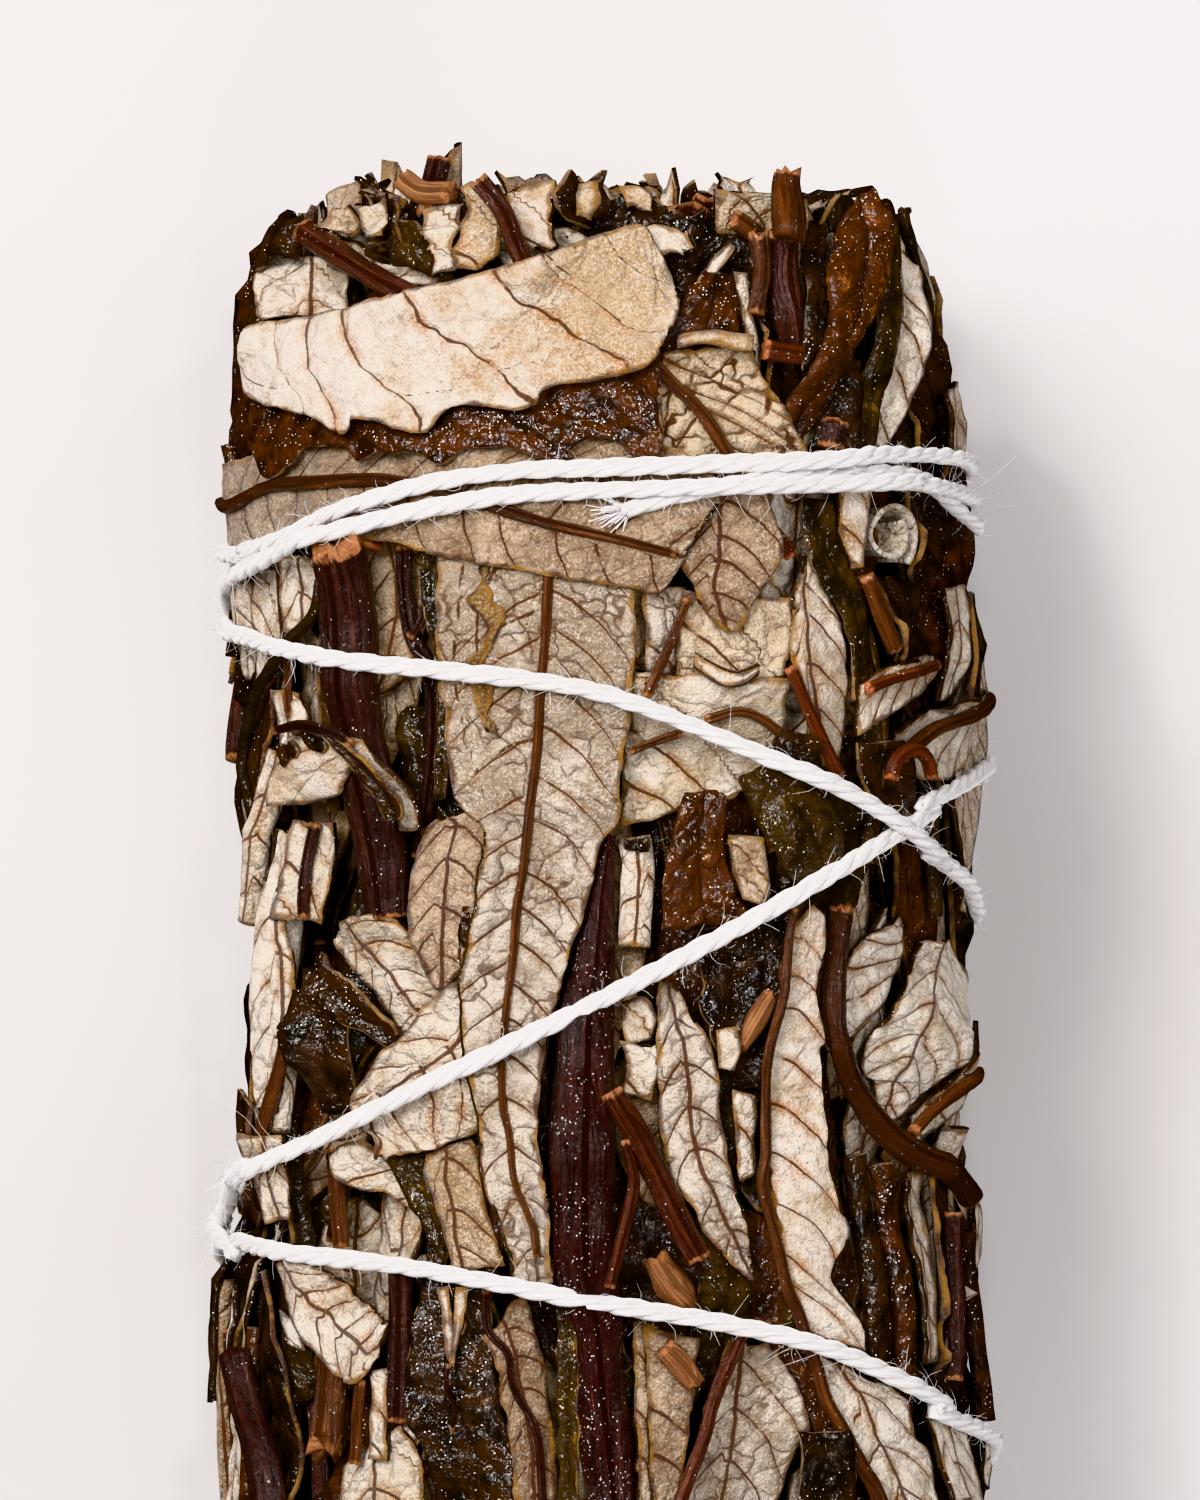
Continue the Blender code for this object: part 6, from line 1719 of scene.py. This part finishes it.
def lay_front_middle():
    """The main stem and the long grey leaf beside it."""
    leaf("tan_piece", "tan", "-7.3,67 -8.1,66 -8.4,65 -8.6,63.5 -8.6,62 -8.2,60.5 -7.2,58.9",
         "-6.3,67.2 -5,67.3 -5,65 -5.3,62.5 -5.8,61 -6.1,60.2 -6.8,58.9", spacing=2.0, tone=-0.6)
    leaf("wide_leaf", "cream",
         "-6.2,59.4 -7.3,58.8 -8.1,58 -9.1,56.8 -10,56.1 -11.1,54.9 -11.9,53.6 -11.6,52.4 -10.7,51.8 "
         "-10.6,51",
         "-5.6,57.6 -5.5,56.4 -5.4,55 -5.4,54 -5.4,53 -5.6,52.4 -6.7,51.9 -7.9,51.4 -9,51.2 -10,51",
         rib="-6.2,56.6 -7.7,55.4 -9.9,54.2", spacing=2.0, tone=0.1, rough=0.12)
    stem("main_stem",
         "0.5,66.3 0.1,64 -0.1,62 -0.3,60 -0.6,58 -0.7,55 -0.8,52 -0.8,49 -0.75,46 -0.3,43.5 0,40 0.5,35 "
         "0.7,30",
         (0.25, 0.55, 0.8, 1.0, 1.2, 1.4, 1.5, 1.48, 1.4, 1.3, 1.25, 1.15, 1.1), "maroon_bark", step=0.2,
         sides=28, knobby=0.06, lift=0.1, cut=(False, False))
    leaf("long_leaf", "grey",
         "-7.4,79.8 -7.3,75 -7,71 -6.6,68 -5.2,66.5 -5.3,64.5 -5.7,62 -6.1,60 -6.2,58 -6,55.5 -5.6,53 "
         "-5.3,50 -4.7,48 -4.1,46.2 -3.9,44.8",
         "1.5,79 1.6,75 1.5,73 1.3,71 1,69 0.8,67 0,65.8 -0.5,63.5 -0.9,61.8 -1.4,60.8 -1.9,59 -2.7,55 "
         "-2.8,52 -2.4,50 -2.2,47 -2,45.2",
         rib="-2.3,79.8 " + LONG_RIB,
         spacing=2.3, step=0.2, lean=0.9, tone=(1.0, 0.7, 0.0, -0.1, 0.1), hem=(0.12, 0.0),
         stiff=(14, 12, 10, 9, 8, 7, 6, 5, 4, 3, 2, 1),
         twigs=("-6.2,60.2 -6.3,58 -6.2,56.2 -5.9,55 -5.7,53.7 -5.5,52.3 -5.4,50.6 -5,49 -4.5,47.2 "
                "-4,46.3",
                "-6.2,79 -6.4,76.6 -6.6,74 -6.2,71.4 -5.6,69.3 -5.2,68",
                "-4.7,79 -5.3,77.5 -5.6,76 -5.5,74.5 -5.2,72.7 -4.5,71", "-3,76.8 -4.3,76.2 -5.4,75.5",
                "-3,70.8 -4.3,70.4 -5.4,69.3"), twig_half=0.09)
    scrap("ochre_crust", "crust", "-5.7,79.6 -5.5,76.8 -5.7,74 -5.3,71",
          "-4.9,79.6 -4.6,76.8 -5,74 -4.6,71", spacing=0, rough=0.42, wrinkle=0.3, stiff=(1,), step=0.16,
          thick=0.1)
    stem("long_leaf_rib",
         "-2.3,79.4 " + LONG_RIB,
         (0.24, 0.24, 0.2, 0.18, 0.14), "brown_bark", step=0.25, sides=8, sunk=0.9, stiff=(2, 1))
    stem("side_stem", "0.5,54.3 1.5,52.5 2.6,50.2 3.6,48 4.5,46.3", (0.5, 0.62, 0.65, 0.6), "red_bark",
         lift=0.2, ragged=(0.3, 0.5), step=0.22, sides=18)
    stem("thin_side_stem", "1.1,52 1.5,50 1,47.5 0.4,45.1", (0.2, 0.32, 0.3), "red_bark")


def lay_front_low():
    """Where the top side goes on towards the far end."""
    leaf("left_black_border", "dark", "-26,45 -26,40 -25,33", "-23,45 -22.6,40 -22,33", curl=(0.4, 0.4))
    leaf("left_cream_border", "cream", "-25,44 -25.4,38 -24.6,32", "-22.6,43 -22.8,38 -22.6,32",
         hem=(0.4, 0), hem_look="dark")
    stem("left_glossy_stem", "-20.2,41 -18.7,38.5 -17.3,36.5 -16.2,34 -15.6,31", 0.85, "dark_bark",
         lift=0.1, cut=(False, False))
    stem("broken_stem", "-13.8,41.6 -13.7,39.5 -13.5,37", (0.8, 0.75, 0.8), "brown_bark",
         ragged=(1.2, 1.5), lift=0.1)
    scrap("left_chip", "cream", "-16.3,43.4 -16.2,42.4 -16,41.5", "-15,43.3 -15,42.4 -14.8,41.6",
          rough=0.2)
    stem("deep_red_stem", "-9.3,45.8 -9.2,42 -9.1,38.5", 0.62, "dark_bark")
    leaf("dark_leaf", "dark", "-8.1,45.4 -8.6,42 -8.7,39 -8,37 -7.8,35 -7.5,30",
         "-5.2,45.4 -5,43 -4.7,40 -4.1,38 -3.8,36 -3.6,30", wrinkle=0.35, step=0.2)
    leaf("fuzzy_leaf", "tan", "-5.3,42.6 -4.8,41.2 -4.4,39.3 -4,37.4 -3.8,35 -3.6,30",
         "-3.5,44.8 -3,43 -2.5,41 -2.2,38.7 -2,36 -1.9,30", rib=0.45, spacing=1.7, tone=0.4, step=0.2,
         rough=0.14)
    stem("fuzzy_leaf_rib", "-5.2,44.9 -5.1,43 -4.2,41.9 -3.9,40.2 -3,38.5 -2.7,36.7 -2.6,34 -2.6,31", 0.2,
         "dark_bark", sunk=0.4, stiff=(2, 1))
    leaf("striped_strip", "olive", "-1.9,44 -1.9,39 -1.8,33", "-1,44 -1,39 -1,33", spacing=0)
    scrap("strip_right_of_stem", "beige", "1.5,43.4 1.6,38 1.8,32", "2.7,43 2.7,38 2.8,32", hem=(0, 0.3))
    scrap("v_tip_left", "cream", "-7.4,45 -7.1,43 -6.7,41.2", "-6.7,45 -6.6,43 -6.4,41.2", spacing=0)
    scrap("v_tip_right", "cream", "-6.5,45 -6.5,43 -6.6,41.2", "-5.9,45 -6.2,43 -6.4,41.2", spacing=0)
    stem("tendril", "-6.6,41.4 -6.8,40.2 -6.4,39.2 -6.6,38.2", 0.1, "dark_bark", sides=8)
    leaf("corner_leaf", "cream", "-12,36.4 -12.2,36 -12.3,34 -12.5,30",
         "-8.6,38.5 -8,36.8 -7.9,35 -7.8,30", rib=0.5, spacing=2.2, curl=(0.1, 0.3), step=0.25, dome=0.3)
    scrap("left_thin_strip", "cream", "-10.3,41 -10.3,38.6 -10.3,36.8", "-9.4,41 -9.4,38.6 -9.4,36.8")
    stem("corner_stem", "-10.7,40.5 -10.9,38.5 -11.1,36.5", 0.3, "brown_bark")
    leaf("broken_leaf", "cream",
         "-16.6,45.8 -15.9,43.9 -14.8,42.7 -14,41.9 -13.2,41.1 -11.9,40.6 -11.1,40.4 -10.4,40.8 -9.8,41.9",
         "-14.4,46 -13,45.2 -11.5,44.3 -10.4,43.8 -9.5,43.3",
         rib="-15.6,45.5 -14.4,44.2 -12.9,43.2 -11.7,42.5 -10.2,41.7", spacing=1.6, lift=0.2, rough=0.18,
         hem=(0, 0.2), ridge=0.35)
    # right of the main stem
    scrap("olive_grey_leaf", "tan", "2,43 2.2,38 2.4,31", "4.6,42.5 4,38 3.2,33", tone=0.2)
    stem("pith_end", "2.9,42.2 3.6,41.4 4.3,40.4", (0.5, 0.55, 0.45), "pale_wood", ragged=(0.8, 0.8))
    stem("pith_lump", "2.6,46.3 3.2,45.2 4.1,44.2", (0.7, 0.9, 0.7), "pale_wood", ragged=(0.9, 0.9),
         knobby=0.25)
    leaf("veined_leaf", "grey", "6.2,42.5 5.5,40.5 4.7,38.5 4,36.5 3.6,35 3.2,31",
         "8.4,42 9.3,40 9.9,38.2 9.5,37 9,35.5 8.4,34 8,31", rib="6.9,42.5 6.3,38.5 5.6,35 5.2,31",
         step=0.2, tone=0.3)
    stem("crossing_stem", "6.5,42.8 5.2,40 4.6,38 3.5,35.2 3,33 2.6,30", 0.34, "red_bark", tone=0.4,
         lift=0.1)
    leaf("low_dark_gap", "dark", "9.2,38 9.4,35 9.4,32", "11.4,38 12,35 12.6,32")
    leaf("far_right_cream", "cream", "16.4,38.4 17,36 17.8,32", "20,38 20.6,36 21.4,32", curl=(0.5, 0.4))


def lay_front_top():
    """The ragged near end, and the leaves under and round the pair of turns."""
    roll("brown_lump_left", "dark", "-19.2,92.9 -19.5,91.5 -19.4,90", (0.7, 0.85, 0.7))
    scrap("pale_bits_left", "beige", "-18.3,97.2 -16.4,97.4 -14.5,97.3",
          "-17.7,95.9 -16.2,95.5 -14.9,95.6", wrinkle=0.5, rough=0.3, spacing=0)
    leaf("left_top_leaf", "cream", "-18.6,94.4 -19,93 -18.6,91", "-14.6,94 -14.3,92.8 -14.5,91.2",
         curl=(0.3, 0.2), rough=0.2)
    leaf("purple_lump", "dark", "-18.6,96 -19,94.8 -18.6,93.6", "-16.2,96 -16.2,94.8 -16.6,93.8", dome=1.0,
         rough=0.2)
    scrap("upper_cream_leaf", "cream", "-15.4,93.6 -13,92.9 -11,92.5 -8,92.2",
          "-15,95.3 -13,94.5 -11,93.8 -8,93.3 -7.2,92.7", hem=(0, 0.3), hem_look="dark", curl=(0, 0.5))
    stem("red_stem_top", "-15,95.1 -12.2,93.6 -9.3,92 -7.5,91.2", (0.62, 0.62, 0.6), "red_bark", tone=0.1,
         lift=0.6, ragged=(0.3, 0.4))
    leaf("olive_top_bit", "olive", "-10.2,94 -8.6,93.2 -7,92.4", "-9.7,95.3 -8,94.9 -6.7,94.3", rough=0.25,
         curl=(0, 0.4))
    leaf("dark_top_hollow", "dark", "-12.4,96.4 -12.4,95.2 -11.8,94.2", "-9.6,96.4 -9.8,95.2 -9.4,94.2",
         wrinkle=0.5, rough=0.3)
    scrap("pale_top_bit_1", "beige", "-13.9,96.3 -14,95.4 -14.2,94.9", "-12.6,96.4 -12.4,95.4 -12.7,94.8",
          wrinkle=0.5, rough=0.3, spacing=0)
    scrap("pale_top_bit_2", "cream", "-11.7,96.4 -11.6,95.3 -11,94.6", "-10.2,96.6 -10,95.4 -9.9,94.6",
          wrinkle=0.5, rough=0.3, spacing=0, hem=(0.2, 0.2), hem_look="dark")
    scrap("crumpled_top_1", "cream", "-8,95.8 -7.8,94.4 -7.7,92.8", "-6.3,96.3 -6.5,94.9 -6.7,92.8",
          wrinkle=0.5, rough=0.25, hem=(0.2, 0.15), hem_look="dark")
    scrap("crumpled_top_2", "white", "-4.4,96.9 -4.1,95.6 -3.6,93.8", "-2.2,97.2 -2.1,95.6 -2.3,93.8",
          wrinkle=0.6, rough=0.25, curl=(0.3, 0.6), tone=0.4)
    scrap("frosted_leaf", "white", "-6.6,97 -6.4,95.4 -6.7,93", "-4.9,96.9 -4.7,95.6 -4.6,93.4",
          wrinkle=0.6, rough=0.3, tone=0.9)
    leaf("top_dark_bit", "dark", "-2,97.4 -1.9,96.4 -1.8,95.4", "0.2,97.4 0.1,96.2 0,95.2", wrinkle=0.5,
         rough=0.3)
    scrap("top_pale_bits", "beige", "-1.2,97.3 -0.8,96.2 -1.1,95.2", "-0.2,97.4 0,96.2 -0.3,95.2",
          wrinkle=0.6, rough=0.3, spacing=0)
    stem("thin_stem_top", "-5.4,97.1 -4.3,95.6 -3.8,94.1 -3.1,92.5", 0.5, "red_bark", lift=0.7,
         ragged=(0.6, 0.3))
    leaf("frosted_dark_leaf", "dark", "1.2,96.2 1.9,94.9 2.4,94.2 1.8,93.5",
         "3.2,96.2 4.5,95.2 4.7,94.1 4.4,93.4", wrinkle=0.5, rough=0.25, curl=(0.4, 0.3))
    scrap("window_leaf", "white", "0.9,97.2 1.7,97.2 2.6,96.7", "1.1,96.2 1.8,96.1 2.7,95.6", rough=0.25,
          spacing=0, tone=0.8, wrinkle=0.4)
    scrap("window_leaf_lip", "cream", "1.2,94.7 2.7,95.2 4.4,94.6", "1.3,93.7 3,93.8 4.6,94", rough=0.25,
          hem=(0.15, 0.25), hem_look="dark", curl=(0.2, 0.5), spacing=0)
    scrap("white_edge_curl", "white", "6.2,94.4 5.1,93.2 3.8,91.2", "7,94.2 5.9,92.8 4.4,90.9", spacing=0,
          hem=(0.15, 0.2), hem_look="dark", curl=(0.2, 0.4), rough=0.14)
    leaf("top_right_leaf", "amber", "4.8,92.9 3.9,91.5 3.2,90.2 2.8,88.8",
         "6.3,92.8 6.6,91.1 6.6,90 6.2,88.8", curl=(0.2, 0.3), wrinkle=0.35, step=0.2, dome=0.4)
    scrap("cream_strip_top", "cream", "6.1,93 6.5,90.8 7,88.3", "6.8,92.9 7.1,90.9 7.7,87.9", spacing=0)
    leaf("dark_beside_stem", "dark", "7.6,91 7.8,89 8,86.6", "10,91 9.8,89 9.6,86.6", wrinkle=0.4)
    stem("near_dark_stem", "8.85,94.6 8.6,92.6 8.8,90.9 9,89.2", (0.75, 0.85, 0.8, 0.6), "red_bark",
         ragged=(1.0, 0.4), tone=-0.3, sides=18, step=0.25)
    stem("reddish_bit", "6.9,95.6 7.6,95.2 8.1,94.9", 0.5, "brown_bark", ragged=(1, 1), lift=-0.2)
    stem("red_stub", "7.3,94.6 7.4,92.8 7.1,90.9", (0.5, 0.45, 0.4), "brown_bark", tone=-0.5,
         ragged=(1, 0.5))
    stem("cut_stem_top", "9.25,97.7 8.9,96 8.55,94.5", (0.7, 0.72, 0.76), "brown_bark", tone=-0.4,
         lift=0.2, ragged=(1.2, 0.6), knobby=0.12, sides=18, step=0.25, cut=(True, False))
    stem("small_cut_stem", "7.3,89.2 8.4,89 9.7,88.8", 0.5, "orange_bark", tone=-0.3, ragged=(0.5, 1.3),
         lift=0.3)
    leaf("rolled_leaf_edge", "dark", "17.7,93 17.2,90.3 17.2,87.5 17.7,84.6",
         "19.8,93.2 22,91.4 23.6,88.7 24.4,85", wrinkle=0.4, curl=(0.6, 0.2), dome=0.3, tone=0.3,
         step=0.25)
    leaf("far_right_top_cream", "cream", "19.6,87.6 20.2,86 20.2,84.4", "22.6,88.2 23.2,86 23,84",
         curl=(0.6, 0.3))
    scrap("edge_leaf", "cream", "15.3,95.6 15.6,93.3 14.9,90.7 14,87.8 13.1,84.7",
          "16.1,95.5 17.6,93.2 17.6,91 17,88.7 16,86.5 14.9,84.7", spacing=2.2, curl=(0.2, 0.3), step=0.2,
          hem=(0, 0.15), lift=0.6)
    leaf("edge_leaf_rim", "olive", "14.7,95.8 14.4,93.3 13.8,90.6 13,88.2 12.2,84.7",
         "15.5,95.7 15.8,93.3 15.1,90.7 14.2,87.8 13.3,84.7", spacing=0, dome=0.3, lift=0.1)
    leaf("brown_strip_low", "dark", "11.4,88.6 10.5,86.4 9.9,84.4", "12.7,89.6 12.6,86.9 12.2,84.5",
         wrinkle=0.3, dome=0.3)
    leaf("brown_strip_top", "dark", "10.6,95.4 9.8,93.3 9.4,91.1 8.8,88.1",
         "11.9,95.4 10.9,93.3 10.5,91.1 9.8,89.2", dome=0.3, wrinkle=0.25)
    # Its raised tone lightens the amber resin: painted highlight streaks.
    leaf("rolled_leaf_top", "amber", "12.7,96 11.4,94.6 10.6,93.1 10.3,91.1 9.6,89.4 8.9,87.7 8.2,85.7",
         "14.2,97.2 14.6,94.8 14.1,92.8 13.2,91 12.1,89.5 10.8,87.5 9.4,85", rib=0.55, ridge=0.5,
         spacing=2.6, dome=0.9, wrinkle=0.3, step=0.2, tone=0.6, lift=0.2, tips=(0.4, 0))
    leaf("net_leaf", "net", "2.8,89 2.6,87.1 2.5,83.6", "6.5,89.5 7.5,87.9 8.4,86.3 10,83.8",
         rib="2.4,88.4 3.4,87.4 4.5,86.3 5.9,84", spacing=1.6, step=0.2, tone=-0.2, puff=0.16,
         hem=(0, 0.1))
    scrap("net_leaf_fold", "white", "3.4,89.7 4.8,90 6.6,89.8", "3.4,89.2 4.8,89.4 6.6,89.1", spacing=0,
          dome=0.2)
    stem("net_leaf_rib", "2.4,88.5 3.4,87.4 4.5,86.3 5.8,84.2 6.3,82.6", 0.32, "brown_bark", sunk=0.3)
    stem("twig_by_net_leaf", "10.9,85.9 10.6,84.6", 0.7, "dark_bark")
    leaf("triangle_leaf", "tan", "3.7,83 3.7,79.3 4.2,78 4.4,77.2 5.3,76.2 5.8,75.9",
         "6.9,84.2 8.1,80.4 8,79.1 6.9,77.4 6.4,76.3 5.9,75.9", rib="5.5,83.2 5.4,79.5 5.1,78 5.5,76.2",
         spacing=1.5, step=0.2, dome=0.4, puff=0.12)
    leaf("tan_leaf", "tan",
         "-26,80 -22,79.7 -16,79.8 -12.7,80.2 -9.7,80.1 -8,79.6 -6,79.2 -4,78.8 -2,78.4 0,78.1 1.5,77.8 "
         "2.7,77.7 3.3,78.7",
         "-26,84.2 -22,84.4 -16,84.8 -10,84.8 -6,85 -2,85.2 0,85 2,84.8 3,84.6 4.3,84 5.5,82.8 5,81.5",
         rib="-25,82.6 " + TAN_RIB + " 3.6,79.4",
         spacing=2.6, step=0.22, stiff=(16, 14, 12, 10, 8, 6, 5, 4, 3, 2), tone=0.0, lean=0.8)
    stem("tan_leaf_rib",
         "-24,82.4 " + TAN_RIB + " 3.4,79.5",
         (0.34, 0.34, 0.3, 0.28, 0.2), "brown_bark", sunk=0.8, stiff=(3, 2, 1), sides=10, tone=-0.5)
    lay_folded_leaf()
    stem("dark_stub", "-8.2,98.4 -8.3,97.1 -8.1,95.7", 0.62, "dark_bark", lift=-1.5)
    stem("pale_stub", "-9.2,97.3 -8.3,96.7 -6.9,96.6", 0.6, "pale_wood", ragged=(0.8, 0.8), lift=-0.4)


FOLD_LINE = ("-21.4,89.4 -20.9,90.2 -20,90.7 -16,91 -14,91.2 -12,91.4 -10,91.8 -8,92.1 -6,92.6 -4,93.1 "
             "-3,93.4 -1.6,94 0,94.6 1.9,95.1 2.6,94.2 3.4,92.6")
FLAP_MARGIN = ("-21.5,89 -21.1,88.4 -20.3,87.8 -18,87 -16.3,86.7 -14,86.2 -12,85.3 -11.5,86 -10.3,85.9 "
               "-9.3,85.5 -7.9,85.3 -7.4,85.9 -7,86.3 -6,86.6 -4,86.3 -3,86.5 -2.7,87.1 "
               "-1.8,87.5 0,87.7 0.8,87.9 2,88.3 2.8,89.4 3.4,90.7 3.6,91.4")
INNER_MARGIN = ("-20,85.8 -17.3,83.4 -14.9,84.6 -13.3,84.7 -12,84.6 -11.2,84 -10,84.4 -8.3,84.3 "
                "-7.2,83.8 -6,84.5 -4,84.4 -1.8,83.7 -1.3,84.5 -0.5,84.8 0.3,84.9 1.1,84.5 "
                "1.9,84 2.5,84.1 2.8,84.7 2.7,86 2.6,87.4")


def lay_folded_leaf():
    """The leaf folded over across the bunch: its dark inner flap, then the pale outer one."""
    piece = Piece("folded_leaf")
    lay_leaf(piece, "amber", "-20.6,90 -16,90.4 -12,90.8 -8,91.4 -4,92 0,92.6 2.6,92", INNER_MARGIN,
             rib=False, spacing=2.6, step=0.2, seed=5, wrinkle=0.35, curl=(0.0, 0.5), rough=0.1, tone=0.0)
    lay_leaf(piece, "white", FOLD_LINE, FLAP_MARGIN, rib=False, step=0.18, seed=6, wrinkle=0.22,
             curl=(-0.5, 0.15), rough=0.05, puff=0.2, dome=0.5, lift=0.25,
             tone=(-0.5, -0.5, -0.4, -0.3, 0.1, 1.5, 0.3),
             veins=("-15.3,91 -15,89.9 -14,88.2 -12.9,86.9 -12.3,85.6",
                    "-13,91.1 -12.3,89.9 -11.1,88.6 -10,87.6 -9.1,87 -8.1,85.9",
                    "-9,92 -8.4,91 -7.7,90.2 -6,89.1 -4.6,88.1 -3.3,86.5",
                    "-4.9,92.9 -4.3,91.9 -2.9,90.9 -1.7,90.2 -1,89.5 0,89.1 1,88.5"),
             twigs=("-9.1,87 -7.5,87.2 -6,87.3", "-4.6,88.1 -3.4,88.5 -2.4,88.5",
                    "-21,89 -18,87.9 -15,87.5", "-2.4,93.5 -1.8,92.9 -0.5,92.2",
                    "0.3,94.5 1,93.4 2.2,92.6 3.2,92.2"))
    piece.build("folded_leaf", slot="cream_leaf")


# ---------------------------------------------------------------- camera and light

SCENE = bpy.context.scene


def set_camera():
    data = bpy.data.cameras.new("camera")
    camera = bpy.data.objects.new("camera", data)
    SCENE.collection.objects.link(camera)
    camera.location = (0.0, 0.0203, 0.3873)  # straight above the bunch
    camera.rotation_euler = (0.0, 0.0, 0.0)
    data.lens = 180.0
    data.sensor_width = 36.0
    data.clip_start = 0.01
    SCENE.camera = camera


def add_light(name, place, aim, size, power, colour=(1.0, 1.0, 1.0), mirrored=True):
    """A soft square light that looks at a point, seen in glossy pieces or not."""
    data = bpy.data.lights.new(name, "AREA")
    data.energy, data.size, data.color = power, size, colour
    light = bpy.data.objects.new(name, data)
    SCENE.collection.objects.link(light)
    light.location = place
    light.rotation_euler = (Vector(aim) - Vector(place)).to_track_quat("-Z", "Y").to_euler()
    light.visible_glossy = mirrored


def set_light():
    world = bpy.data.worlds.new("studio")
    SCENE.world = world
    world.use_nodes = True
    background = world.node_tree.nodes["Background"]
    background.inputs["Color"].default_value = tint(236, 234, 240)
    background.inputs["Strength"].default_value = 0.24
    world.cycles_visibility.glossy = False
    add_light("key", (-0.18, 0.16, 0.32), (0, 0, 0.01), 0.28, 1.8, (1.0, 0.99, 0.985), False)
    add_light("key_core", (-0.13, 0.14, 0.34), (0, 0, 0.01), 0.10, 0.95, (1.0, 0.99, 0.985))
    add_light("fill", (0.22, 0.02, 0.40), (0, 0, 0.01), 0.34, 1.35, (0.98, 0.985, 1.0), False)
    add_light("end_fill", (0.05, -0.42, 0.14), (0, 0, 0.02), 0.3, 0.45, (1.0, 0.99, 0.985), False)
    add_light("sparkle_left", (-0.12, 0.24, 0.24), (0, 0.02, 0.03), 0.02, 0.32)
    add_light("sparkle_right", (0.14, 0.18, 0.30), (0, 0.02, 0.03), 0.02, 0.28)
    add_light("sparkle_low", (0.02, -0.14, 0.34), (0, 0.02, 0.03), 0.02, 0.28)
    SCENE.view_settings.view_transform = "Khronos PBR Neutral"


def lay_surface():
    bpy.ops.mesh.primitive_plane_add(size=3.0, location=(0, 0, -0.0002))
    floor = bpy.context.object
    floor.name = "pale_surface"
    floor.data.materials.append(bpy.data.materials["pale_surface"])
    floor.visible_glossy = False


# ---------------------------------------------------------------- all of it


def main():
    make_finishes()
    lay_core()
    lay_packing()
    lay_front()
    for k, (name, x, v) in enumerate(UNDER_LEAVES):
        lay_rest_leaf(name, x, v, 41 + k)
    lay_twine()
    set_camera()
    set_light()
    lay_surface()


main()
